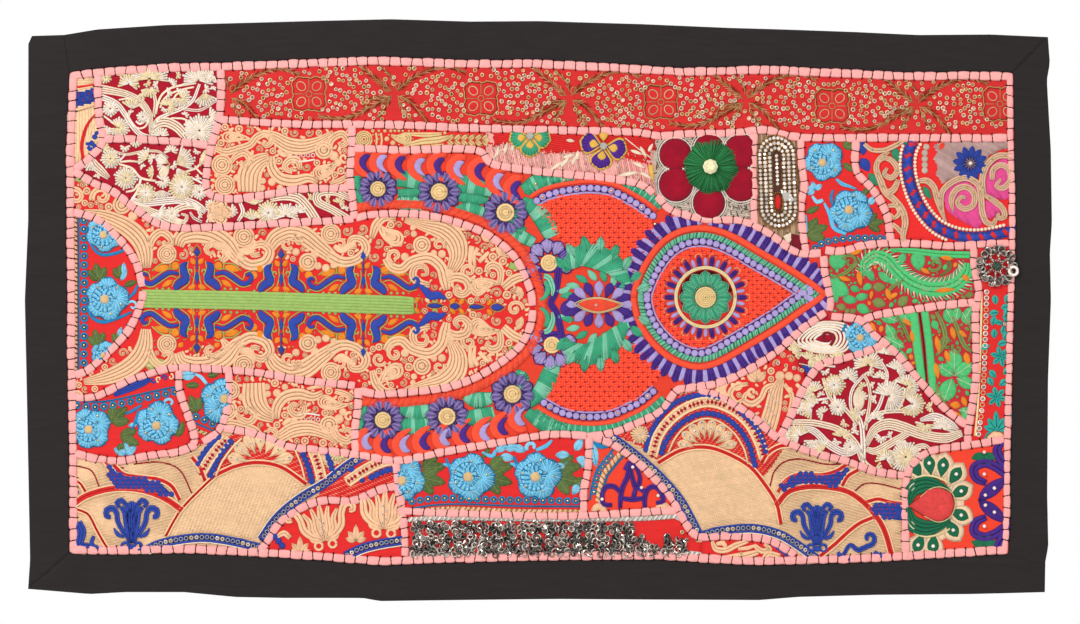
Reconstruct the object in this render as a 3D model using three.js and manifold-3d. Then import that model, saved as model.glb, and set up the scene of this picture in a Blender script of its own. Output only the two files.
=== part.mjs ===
// A patchwork wall hanging: an embroidered field inside a folded black cotton border, its seams
// covered by couched braid, with velvet petals, a thread rosette, beads and a sequin band sewn on.
// Millimetres. +Z is up, the face looks along -Y, and the origin is the middle of the top edge.
import * as THREE from 'three';
import Module from 'manifold-3d';

const wasm = await Module();
wasm.setup();

// Cloth and gaps
const FIELD_THICK = 2.0;
const BORDER_THICK = 2.4;
const HEM_THICK = 1.6;
const GAP = 0.3;
const SEAT = 0.5; // from the face of the field to what is sewn on it

// Couched braid
const BRAID_WIDE = 8.0;
const BRAID_HIGH = 1.8;
const CROWN = 0.72; // the width of its flat top, as a share
const BRAID_STEP = 23;
const EDGE_BRAID_IN = 4.3; // from the border's inner edge to the middle of the braid beside it
const TALL_CUT = 12;

// Grid of the cloth
const FIELD_COLUMNS = 28;
const FIELD_ROWS = 14;
const BORDER_ROWS = [0, 0.12, 0.55, 1];

// Raised pieces: places and half sizes
const ROSETTE = { at: [172, -146], reach: 27, high: 7, flutes: 20, flute: 0.02 };
const STONE = { at: [171, -146], reach: 8, high: 4.2, dent: 9 };
const PETAL = { wide: 14.6, high: 3.2 };
const PETAL_PLACES = {
  petal_top: [170, -128],
  petal_upper_right: [202, -131],
  petal_lower_right: [202, -163],
  petal_bottom: [170, -182],
  petal_lower_left: [137, -163],
  petal_upper_left: [137, -132],
};
const BEAD_OVAL = { at: [238.5, -161], wide: 20.5, tall: 48, high: 4.2, lean: -0.04 };
const BEAD_SLOT = { at: [238.5, -181], wide: 3, tall: 8.5 };
const SEQUIN_BAND = { from: -127.5, to: 158, thick: 1.2, columns: 14, slant: 17 };
const BEAD_FLOWER = { at: [457, -245], reach: 18, high: 4.5, flutes: 10 };
const BEAD_RING = { at: [474, -250], reach: 4.5, wire: 1.1, above: 3.6 };

// Long soft waves of the cloth: depth, spacing across and up, and start in radians
const WAVES = [
  { depth: 1.7, across: 430, up: 1100, start: 0.5 },
  { depth: 1.2, across: -300, up: 560, start: 2.2 },
  { depth: 0.5, across: 210, up: -330, start: 4.1 },
];
// Storage folds that still show as low ridges: x at the top and bottom, height and half width
const FOLDS = [
  { top: -148, bottom: -160, rise: 1.3, reach: 30 },
  { top: 226, bottom: 221, rise: 0.8, reach: 30 },
];
const DROP = 580;

// Outer edge of the border, clockwise from the top left seam
const OUTER_TOP = [
  [-475, -14], [-442, -8.5], [-373, -4], [-304, -2], [-226, 0], [-148, 1.6], [-68, -0.6],
  [0, 0], [102, -3], [191, -7], [258, -9], [316, -11], [379, -14], [452, -13.5], [509, -16],
];
const OUTER_RIGHT = [
  [509, -16], [511, -42], [508, -59], [512, -129], [513, -202], [511, -232], [512, -279],
  [509, -359], [508, -474], [509, -525], [506, -541],
];
const OUTER_BOTTOM = [
  [505.5, -571], [431, -573], [336, -574], [259, -576], [221, -579], [21, -578], [-73, -579],
  [-159, -580], [-176, -577], [-255, -577], [-303, -576], [-355, -571], [-413, -571],
  [-449, -573], [-511, -568],
];
const OUTER_LEFT = [
  [-511, -568], [-509, -539], [-514, -279], [-510.5, -199], [-510.5, -100], [-510.6, -23],
];
// Inner edge of the border, where the patchwork begins
const INNER_TOP = [
  [-469, -52], [-442, -48], [-409, -45.5], [-364, -43], [-312, -41.7], [-165, -36.4],
  [-68, -39.6], [-7, -39], [65, -42.5], [150, -47.6], [226, -45], [270, -47.6], [340, -50.5],
  [379, -52], [428, -51], [474, -52],
];
const INNER_RIGHT = [
  [474, -52], [475, -124], [476.5, -165], [476.5, -232], [475, -279], [473, -359],
  [471.6, -435], [471, -493], [469, -532],
];
const INNER_BOTTOM = [
  [469, -532], [393, -537], [317, -541], [217, -544], [119, -538], [21, -538.5],
  [-106, -541.6], [-156, -544], [-206, -540], [-239, -537.5], [-280, -535], [-355, -531],
  [-413, -533], [-469, -532],
];
const INNER_LEFT = [
  [-469, -532], [-469, -465], [-470, -399], [-471, -332], [-471.3, -255], [-472, -195],
  [-472, -137], [-470, -85], [-469, -52],
];

// Braid over the seams between the patches, each run by the points that its curve passes.
// A later run is cut to butt against the earlier ones.
const SEAMS = {
  braid_under_satin: [
    [-323, -98], [-248, -103], [-150, -104], [-53, -107.5], [90, -111], [119, -115],
    [150, -113], [196, -112], [226, -109], [258, -116], [355, -117], [470, -117],
  ],
  braid_corner_side: [[-441, -52], [-440, -94], [-436, -120], [-447, -135], [-466, -150]],
  braid_cream_side: [
    [-319, -46], [-318, -68], [-320, -98], [-328, -126], [-333, -155], [-331, -171],
    [-319, -177], [-299, -177.5], [-263, -172], [-238, -168], [-188, -167],
  ],
  braid_cream_step: [[-437, -118], [-412, -118], [-381, -119.5], [-355, -121], [-329, -125]],
  braid_scroll_side: [[-187, -102], [-187, -124], [-189, -154], [-186, -181], [-184, -200]],
  braid_cream_foot: [
    [-467, -149], [-445, -162], [-427, -170], [-397, -193], [-380, -203], [-360, -207],
    [-320, -206], [-269, -203], [-211, -200], [-183, -198],
  ],
  braid_rose_arc_top: [
    [-467, -191], [-458, -193], [-441, -199], [-422, -216], [-404, -239], [-396, -268],
  ],
  braid_rose_arc_bottom: [
    [-396, -268], [-398, -283], [-410, -309], [-429, -330], [-451, -349], [-466, -355],
  ],
  braid_garden_foot: [
    [-466, -375], [-458, -377], [-442, -375], [-413, -361], [-396, -355], [-364, -347],
    [-311, -349], [-272, -353], [-238, -359], [-182, -365],
  ],
  braid_fan_top: [
    [-465, -430], [-457, -434], [-424, -440], [-393, -435], [-363, -431], [-340, -423],
  ],
  braid_rose_post: [[-360, -347], [-359, -371], [-350, -396], [-344, -417], [-348, -426]],
  braid_rose_hook: [[-310, -349], [-310, -376], [-313, -393], [-321, -411], [-338, -422]],
  braid_arch_foot: [
    [-317, -407], [-298, -410], [-275, -415.6], [-252, -425], [-221, -429], [-173, -435],
    [-148, -440], [-123, -437], [-90, -430], [-32, -420], [-7, -416], [16, -413], [50, -415],
  ],
  braid_scroll_post: [[-181, -365], [-181, -384], [-184, -410], [-183, -434]],
  braid_lotus_side: [[-143, -440], [-141, -465], [-136, -495], [-134, -523], [-134, -537]],
  braid_lotus_top: [
    [-281, -531], [-273, -522], [-262, -505], [-250, -494], [-219, -480], [-186, -480],
    [-163, -470], [-141, -464],
  ],
  braid_garden_top: [
    [-185, -198], [-162, -193], [-115, -194], [-77, -203], [-48, -216], [-23, -238],
    [-9, -268], [-6, -287],
  ],
  braid_garden_bottom: [
    [-6, -287], [-9, -306], [-20, -326], [-48, -348], [-83, -364], [-125, -371],
    [-161, -373], [-181, -369],
  ],
  braid_arch_top: [
    [-187, -127], [-136, -129], [-77, -128], [-58, -131], [-46, -143], [-4, -150],
    [65, -157], [100, -163], [116, -174],
  ],
  braid_drop_top: [
    [116, -174], [134, -190], [165, -198], [203, -200], [229, -212], [253, -229],
    [268, -233], [284, -232],
  ],
  braid_drop_tip: [[284, -233], [286, -253], [291, -279], [290, -292]],
  braid_drop_bottom: [
    [288, -290], [263, -308], [238, -330], [214, -346], [182, -361], [151, -367],
    [137, -370], [122, -390], [100, -401], [73, -412], [46, -416],
  ],
  braid_blue_post: [[50, -414], [50, -433], [48, -454], [45, -468], [45, -493]],
  braid_wing_left: [
    [52, -415], [77, -425], [105, -447], [130, -474], [143, -496], [158, -515],
    [189, -515], [229, -519], [258, -535],
  ],
  braid_sequin_top: [[-138, -490], [-90, -492], [21, -495], [105, -491], [141, -489]],
  braid_blossom_edge: [
    [367, -534], [366, -474], [371, -447], [389, -431], [414, -426], [443, -422],
    [467, -418],
  ],
  braid_wing_top: [
    [158, -368], [186, -378.5], [216, -398], [239, -417], [269, -430], [307, -440],
    [335, -450], [368, -455],
  ],
  braid_tree_right: [
    [290, -295], [320, -299], [335, -314], [357, -332], [380, -359], [405, -387],
    [429, -405],
  ],
  braid_tree_left: [
    [345, -323], [327, -330], [303, -338], [280, -345], [262, -372], [252, -395], [239, -418],
  ],
  braid_fern_top: [
    [284, -229], [302, -230], [334, -223], [374, -222.5], [413, -225], [443, -223],
    [472, -222],
  ],
  braid_fern_side: [
    [434, -224], [436, -249], [439.5, -270], [436, -295], [437, -344], [435, -373],
    [429, -410], [430, -425],
  ],
  braid_fern_middle: [[323, -299], [343, -293], [385, -287], [405, -284], [438, -281]],
  braid_bead_right: [
    [262, -116], [262, -139], [265, -163], [262, -187], [265, -218], [267, -233],
  ],
  braid_bead_left: [[215, -110], [214.5, -155], [216, -168], [214.5, -181], [216, -205]],
  braid_rose_side: [[317, -117], [317, -149], [332, -167], [347, -192], [352, -222]],
};

// How far the middle of the cloth stands from the wall's plane at a place on it
function lie(x, z) {
  let depth = 0;
  for (const wave of WAVES) {
    const turns = x / wave.across + z / wave.up;
    depth += wave.depth * Math.sin(2 * Math.PI * turns + wave.start);
  }
  for (const fold of FOLDS) {
    const ridge = fold.top + ((fold.bottom - fold.top) * -z) / DROP;
    depth -= fold.rise * Math.exp(-(((x - ridge) / fold.reach) ** 2));
  }
  return depth;
}

// The place at a share of the length of a line of points
function along(points, share) {
  const lengths = points.slice(1).map((p, k) => Math.hypot(p[0] - points[k][0], p[1] - points[k][1]));
  let left = share * lengths.reduce((sum, each) => sum + each, 0);
  let k = 0;
  while (k < lengths.length - 1 && left > lengths[k]) {
    left -= lengths[k];
    k += 1;
  }
  return mix(points[k], points[k + 1], left / lengths[k]);
}

function mix(a, b, share) {
  return [a[0] + (b[0] - a[0]) * share, a[1] + (b[1] - a[1]) * share];
}

// Points at even shares along a line
function spaced(points, count) {
  return Array.from({ length: count + 1 }, (_, k) => along(points, k / count));
}

// Moves a point towards another by a distance
function nudge(point, towards, distance) {
  const span = Math.hypot(towards[0] - point[0], towards[1] - point[1]);
  return mix(point, towards, distance / span);
}

function geometryOf(positions, index) {
  const geometry = new THREE.BufferGeometry();
  geometry.setAttribute('position', new THREE.Float32BufferAttribute(positions, 3));
  geometry.setIndex(index);
  geometry.computeVertexNormals();
  return geometry;
}

// A closed thin sheet over a grid of [x, z] places, counted across and then up as seen from
// the front. front and back give its two faces' distances from the lie at a row.
function sheetOver(grid, front, back) {
  const columns = grid.length;
  const rows = grid[0].length;
  const positions = [];
  for (const face of [front, back]) {
    grid.forEach((column) => column.forEach(([x, z], j) => positions.push(x, lie(x, z) + face(j), z)));
  }
  const at = (i, j, side) => side * columns * rows + i * rows + j;
  const index = [];
  const quad = (a, b, c, d) => index.push(a, b, c, a, c, d);
  for (let i = 0; i < columns - 1; i += 1) {
    for (let j = 0; j < rows - 1; j += 1) {
      quad(at(i, j, 0), at(i + 1, j, 0), at(i + 1, j + 1, 0), at(i, j + 1, 0));
      quad(at(i, j, 1), at(i, j + 1, 1), at(i + 1, j + 1, 1), at(i + 1, j, 1));
    }
    quad(at(i, 0, 1), at(i + 1, 0, 1), at(i + 1, 0, 0), at(i, 0, 0));
    quad(at(i, rows - 1, 0), at(i + 1, rows - 1, 0), at(i + 1, rows - 1, 1), at(i, rows - 1, 1));
  }
  for (let j = 0; j < rows - 1; j += 1) {
    quad(at(0, j, 0), at(0, j + 1, 0), at(0, j + 1, 1), at(0, j, 1));
    quad(at(columns - 1, j, 1), at(columns - 1, j + 1, 1), at(columns - 1, j + 1, 0), at(columns - 1, j, 0));
  }
  return geometryOf(positions, index);
}

// The patchwork's foundation, just inside the border's inner edge
function field() {
  const tops = spaced(INNER_TOP, FIELD_COLUMNS);
  const bottoms = spaced(INNER_BOTTOM, FIELD_COLUMNS).reverse();
  const lefts = spaced(INNER_LEFT, FIELD_ROWS);
  const rights = spaced(INNER_RIGHT, FIELD_ROWS).reverse();
  const middle = mix(tops[FIELD_COLUMNS / 2], bottoms[FIELD_COLUMNS / 2], 0.5);
  const grid = tops.map((top, i) => lefts.map((left, j) => {
    const u = i / FIELD_COLUMNS;
    const v = j / FIELD_ROWS;
    const upright = mix(bottoms[i], top, v);
    const level = mix(left, rights[j], u);
    const corners = mix(mix(bottoms[0], bottoms[FIELD_COLUMNS], u), mix(tops[0], tops[FIELD_COLUMNS], u), v);
    const place = [upright[0] + level[0] - corners[0], upright[1] + level[1] - corners[1]];
    const rim = i === 0 || j === 0 || i === FIELD_COLUMNS || j === FIELD_ROWS;
    return rim ? nudge(place, middle, GAP) : place;
  }));
  return sheetOver(grid, () => -FIELD_THICK / 2, () => FIELD_THICK / 2);
}

// One side of the border between its inner and outer edges, both clockwise, with any corner
// stations past their ends. Its own ends stand half a gap off the seams.
function borderSide(inner, outer, count, before = [], after = []) {
  const outers = spaced(outer, count);
  const pairs = spaced(inner, count).map((point, k) => [point, outers[k]]);
  const stations = [...before, ...pairs, ...after];
  const last = stations.length - 1;
  stations[0] = stations[0].map((point, k) => nudge(point, stations[1][k], GAP / 1.4));
  stations[last] = stations[last].map((point, k) => nudge(point, stations[last - 1][k], GAP / 1.4));
  const grid = stations.map(([inside, outside]) => BORDER_ROWS.map((share) => mix(inside, outside, share)));
  const half = (j) => (j === 0 || j === BORDER_ROWS.length - 1 ? HEM_THICK : BORDER_THICK) / 2;
  return sheetOver(grid, (j) => -half(j), half);
}

// The top strip ends at an upright seam on the left, where the left strip is folded over the
// corner, and the bottom strip ends square on the right, under a level seam.
function borderSides() {
  const topLeftFold = [[OUTER_TOP[0], [-507, -15]]];
  const squareEnd = [[[506, -541.5], OUTER_BOTTOM[0]]];
  const bottomOuter = [[469, -572], ...OUTER_BOTTOM.slice(1)];
  return {
    border_top: borderSide(INNER_TOP, OUTER_TOP, FIELD_COLUMNS),
    border_right: borderSide(INNER_RIGHT, OUTER_RIGHT, FIELD_ROWS),
    border_bottom: borderSide(INNER_BOTTOM, bottomOuter, FIELD_COLUMNS, squareEnd),
    border_left: borderSide(INNER_LEFT, OUTER_LEFT, FIELD_ROWS, [], topLeftFold),
  };
}

// The section of a braid, from its right base corner over its top to the left one
function braidSection(wider, taller) {
  const half = BRAID_WIDE / 2 + wider;
  const top = BRAID_HIGH + taller;
  return [[half, -wider], [half * CROWN, top], [-half * CROWN, top], [-half, -wider]];
}

// A run of braid laid on the field along a smooth curve through some points
function braidRun(points, wider = 0, taller = 0) {
  const curve = new THREE.SplineCurve(points.map(([x, z]) => new THREE.Vector2(x, z)));
  const steps = Math.max(2, Math.round(curve.getLength() / BRAID_STEP));
  const section = braidSection(wider, taller);
  const sides = section.length;
  const positions = [];
  const index = [];
  for (let r = 0; r <= steps; r += 1) {
    const ahead = curve.getTangentAt(r / steps);
    const longer = wider * ((r === steps) - (r === 0));
    const place = curve.getPointAt(r / steps).addScaledVector(ahead, longer);
    for (const [across, out] of section) {
      const x = place.x - ahead.y * across;
      const z = place.y + ahead.x * across;
      positions.push(x, lie(x, z) - FIELD_THICK / 2 - SEAT - out, z);
    }
    for (let k = 0; k < sides && r < steps; k += 1) {
      const a = r * sides + k;
      const b = r * sides + ((k + 1) % sides);
      index.push(a, b, b + sides, a, b + sides, a + sides);
    }
  }
  const end = steps * sides;
  for (let k = 1; k < sides - 1; k += 1) {
    index.push(0, k + 1, k, end, end + k, end + k + 1);
  }
  return geometryOf(positions, index);
}

// The braid beside the border goes round the field a little inside its edge
function edgeRuns() {
  const inset = (points, [inX, inZ], outX = 0) => {
    const line = spaced(points, 12).map(([x, z]) => [x + inX, z + inZ]);
    line[0][0] += outX;
    line[line.length - 1][0] -= outX;
    return line;
  };
  return {
    braid_edge_top: inset(INNER_TOP, [0, -EDGE_BRAID_IN], 1),
    braid_edge_bottom: inset(INNER_BOTTOM, [0, EDGE_BRAID_IN], -1),
    braid_edge_left: inset(INNER_LEFT, [EDGE_BRAID_IN, 0]),
    braid_edge_right: inset(INNER_RIGHT, [-EDGE_BRAID_IN, 0]),
  };
}

function toSolid(geometry) {
  const vertProperties = Float32Array.from(geometry.attributes.position.array);
  const triVerts = Uint32Array.from(geometry.index.array);
  return new wasm.Manifold(new wasm.Mesh({ numProp: 3, vertProperties, triVerts }));
}

function fromSolid(solid) {
  const { vertProperties, triVerts } = solid.getMesh();
  return geometryOf(Array.from(vertProperties), Array.from(triVerts));
}

// Cuts a geometry back from each solid in a list
function cutBack(geometry, solids) {
  return fromSolid(solids.reduce((rest, solid) => rest.subtract(solid), toSolid(geometry)));
}

// A closed raised pad sewn on the cloth. The profile goes from its rim to its middle in shares
// of its reach and of its height, and flutes make its rim scalloped.
function pad({ at, wide, tall, high, base = 0, lean = 0, sides = 16, flutes = 0, flute = 0, profile }) {
  const positions = [];
  const index = [];
  const floor = (x, z) => lie(x, z) - FIELD_THICK / 2 - SEAT - base;
  const rim = profile.slice(0, -1);
  for (const [share, rise] of rim) {
    for (let k = 0; k < sides; k += 1) {
      const angle = (2 * Math.PI * k) / sides;
      const reach = share * (1 + flute * Math.cos(flutes * angle));
      const across = reach * wide * Math.cos(angle);
      const up = reach * tall * Math.sin(angle);
      const x = at[0] + across * Math.cos(lean) - up * Math.sin(lean);
      const z = at[1] + across * Math.sin(lean) + up * Math.cos(lean);
      positions.push(x, floor(x, z) - rise * high, z);
    }
  }
  const crown = rim.length * sides;
  positions.push(at[0], floor(...at) - profile[rim.length][1] * high, at[1]);
  positions.push(at[0], floor(...at), at[1]);
  for (let k = 0; k < sides; k += 1) {
    const next = (k + 1) % sides;
    for (let r = 0; r < rim.length - 1; r += 1) {
      const [a, b] = [r * sides + k, r * sides + next];
      index.push(a, b, b + sides, a, b + sides, a + sides);
    }
    const top = (rim.length - 1) * sides;
    index.push(top + k, top + next, crown, next, k, crown + 1);
  }
  return geometryOf(positions, index);
}

const CUSHION = [[1, 0], [1, 0.3], [0.86, 0.75], [0.5, 0.96], [0, 1]];
const POST = [[1, 0], [1, 1], [0, 1]];

function velvetPetals(cuts) {
  const room = ROSETTE.reach * (1 + ROSETTE.flute) + GAP;
  const hub = toSolid(post(ROSETTE.at, room, room));
  return Object.fromEntries(Object.entries(PETAL_PLACES).map(([name, at]) => {
    const petal = pad({ at, wide: PETAL.wide, tall: PETAL.wide, high: PETAL.high, profile: CUSHION });
    return [name, cutBack(petal, [hub, ...cuts])];
  }));
}

// A tall upright post over a place, for cutting room through a pad
function post(at, wide, tall) {
  return pad({ at, wide, tall, high: 2 * TALL_CUT, base: -TALL_CUT, sides: 40, profile: POST });
}

// Wound thread with a dent in its middle for the stone
function rosette() {
  const dent = STONE.dent / ROSETTE.reach;
  const profile = [[1, 0], [1, 0.3], [0.85, 0.85], [dent + 0.12, 1], [dent, 0.8], [0, 0.8]];
  const { at, reach, high, flutes, flute } = ROSETTE;
  return pad({ at, wide: reach, tall: reach, high, flutes, flute, sides: 2 * flutes, profile });
}

function stone() {
  const { at, reach, high } = STONE;
  const profile = [[1, 0], [1, 0.35], [0.6, 1], [0, 1]];
  return pad({ at, wide: reach, tall: reach, high, base: 0.8 * ROSETTE.high + GAP, sides: 10, profile });
}

function beadOval(cuts) {
  const slot = toSolid(post(BEAD_SLOT.at, BEAD_SLOT.wide, BEAD_SLOT.tall));
  return cutBack(pad({ ...BEAD_OVAL, sides: 28, profile: CUSHION }), [slot, ...cuts]);
}

function beadFlower(cuts) {
  const { at, reach, high, flutes } = BEAD_FLOWER;
  const profile = [[1, 0], [1, 0.4], [0.75, 0.8], [0.4, 0.6], [0.3, 1], [0, 1]];
  const flower = pad({ at, wide: reach, tall: reach, high, flutes, flute: 0.1, sides: 4 * flutes, profile });
  const room = toSolid(post(BEAD_RING.at, BEAD_RING.reach + 1, BEAD_RING.reach + 1));
  return cutBack(flower, [room, ...cuts]);
}

function beadRing() {
  const { at, reach, wire, above } = BEAD_RING;
  const ring = new THREE.TorusGeometry(reach - wire, wire, 6, 16);
  ring.rotateX(Math.PI / 2);
  ring.translate(at[0], lie(...at) - FIELD_THICK / 2 - above, at[1]);
  return ring;
}

// The sequin band lies flat between two rows of silver braid and ends on a slant
function sequinBand(cuts) {
  const { from, to, thick, columns, slant } = SEQUIN_BAND;
  const grid = Array.from({ length: columns + 1 }, (_, i) => {
    const share = i / columns;
    const x = from + (to - from) * share;
    return [[x, -535], [x - slant * 0.5 * share, -515], [x - slant * share, -497]];
  });
  const face = -FIELD_THICK / 2 - SEAT;
  return cutBack(sheetOver(grid, () => face - thick, () => face), cuts);
}

function finish(colour, roughness, metalness = 0) {
  return new THREE.MeshStandardMaterial({ color: colour, roughness, metalness });
}

const FINISHES = {
  blackCotton: finish('#322f30', 0.9),
  patchwork: finish('#d8402f', 0.85),
  braid: finish('#faa5a5', 0.8),
  velvet: finish('#a8082f', 0.95),
  thread: finish('#1f8a4c', 0.7),
  glass: finish('#e4dfa0', 0.15),
  beads: finish('#b9a67e', 0.35, 0.7),
  sequins: finish('#a8a6a2', 0.3, 0.8),
};

function addPiece(group, name, geometry, material) {
  const mesh = new THREE.Mesh(geometry, material);
  mesh.name = name;
  group.add(mesh);
}

// Lays every run in order, each cut back from those under it
function addBraids(group) {
  const laid = [];
  const tall = [];
  for (const [name, points] of Object.entries({ ...edgeRuns(), ...SEAMS })) {
    addPiece(group, name, cutBack(braidRun(points), laid), FINISHES.braid);
    laid.push(toSolid(braidRun(points, GAP, GAP)));
    tall.push(toSolid(braidRun(points, GAP, TALL_CUT)));
  }
  return { laid, tall };
}

function build() {
  const group = new THREE.Group();
  addPiece(group, 'field', field(), FINISHES.patchwork);
  for (const [name, geometry] of Object.entries(borderSides())) {
    addPiece(group, name, geometry, FINISHES.blackCotton);
  }
  const { laid, tall } = addBraids(group);
  for (const [name, geometry] of Object.entries(velvetPetals(tall))) {
    addPiece(group, name, geometry, FINISHES.velvet);
  }
  addPiece(group, 'thread_rosette', rosette(), FINISHES.thread);
  addPiece(group, 'rosette_stone', stone(), FINISHES.glass);
  addPiece(group, 'bead_oval', beadOval(tall), FINISHES.beads);
  addPiece(group, 'sequin_band', sequinBand(laid), FINISHES.sequins);
  addPiece(group, 'bead_flower', beadFlower(laid), FINISHES.sequins);
  addPiece(group, 'bead_ring', beadRing(), FINISHES.sequins);
  return group;
}

export default build();
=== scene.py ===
"""A patchwork wall hanging: embroidered patches inside a folded black cotton border."""

import math
import random
from collections import deque

import bpy
import numpy as np
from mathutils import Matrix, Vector, noise


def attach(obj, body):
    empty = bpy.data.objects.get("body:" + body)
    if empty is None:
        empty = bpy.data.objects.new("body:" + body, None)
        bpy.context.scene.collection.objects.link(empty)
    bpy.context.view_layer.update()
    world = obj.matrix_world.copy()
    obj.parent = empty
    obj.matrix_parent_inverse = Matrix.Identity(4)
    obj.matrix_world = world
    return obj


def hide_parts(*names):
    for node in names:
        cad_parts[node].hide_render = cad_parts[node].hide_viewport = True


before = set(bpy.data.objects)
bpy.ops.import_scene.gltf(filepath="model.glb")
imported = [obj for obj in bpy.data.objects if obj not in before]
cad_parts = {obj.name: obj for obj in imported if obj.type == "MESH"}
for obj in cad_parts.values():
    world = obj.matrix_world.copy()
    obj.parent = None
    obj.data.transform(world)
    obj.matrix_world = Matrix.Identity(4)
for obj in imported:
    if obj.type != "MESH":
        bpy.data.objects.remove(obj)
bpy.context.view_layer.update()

TAU = 2 * math.pi
MM = 0.001
draw = random.Random(11)

# Layout places are millimetres to the right of and below this point of the frame,
# which lies just outside the hanging's top left corner.
CORNER_X, CORNER_Z = -539.0, 21.0

# Heights in millimetres from the middle of the cloth towards the front
FIELD_FACE = 1.0
GROUND_BACK, GROUND_FACE = 1.05, 1.45
SEWN = 1.4
BRAID_BASE = 1.5

# The cloth's long waves and storage folds, as in the solids
WAVES = [
    dict(depth=1.7, across=430, up=1100, start=0.5),
    dict(depth=1.2, across=-300, up=560, start=2.2),
    dict(depth=0.5, across=210, up=-330, start=4.1),
]
FOLDS = [dict(top=-148, bottom=-160, rise=1.3, reach=30), dict(top=226, bottom=221, rise=0.8, reach=30)]
DROP = 580

OUTER_TOP = [
    (-475, -14), (-442, -8.5), (-373, -4), (-304, -2), (-226, 0), (-148, 1.6), (-68, -0.6),
    (0, 0), (102, -3), (191, -7), (258, -9), (316, -11), (379, -14), (452, -13.5), (509, -16),
]
OUTER_RIGHT = [
    (509, -16), (511, -42), (508, -59), (512, -129), (513, -202), (511, -232), (512, -279),
    (509, -359), (508, -474), (509, -525), (506, -541),
]
OUTER_BOTTOM = [
    (505.5, -571), (431, -573), (336, -574), (259, -576), (221, -579), (21, -578), (-73, -579),
    (-159, -580), (-176, -577), (-255, -577), (-303, -576), (-355, -571), (-413, -571),
    (-449, -573), (-511, -568),
]
OUTER_LEFT = [
    (-511, -568), (-509, -539), (-514, -279), (-510.5, -199), (-510.5, -100), (-510.6, -23),
]
INNER_TOP = [
    (-469, -52), (-442, -48), (-409, -45.5), (-364, -43), (-312, -41.7), (-165, -36.4),
    (-68, -39.6), (-7, -39), (65, -42.5), (150, -47.6), (226, -45), (270, -47.6), (340, -50.5),
    (379, -52), (428, -51), (474, -52),
]
INNER_RIGHT = [
    (474, -52), (475, -124), (476.5, -165), (476.5, -232), (475, -279), (473, -359),
    (471.6, -435), (471, -493), (469, -532),
]
INNER_BOTTOM = [
    (469, -532), (393, -537), (317, -541), (217, -544), (119, -538), (21, -538.5),
    (-106, -541.6), (-156, -544), (-206, -540), (-239, -537.5), (-280, -535), (-355, -531),
    (-413, -533), (-469, -532),
]
INNER_LEFT = [
    (-469, -532), (-469, -465), (-470, -399), (-471, -332), (-471.3, -255), (-472, -195),
    (-472, -137), (-470, -85), (-469, -52),
]

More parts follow.
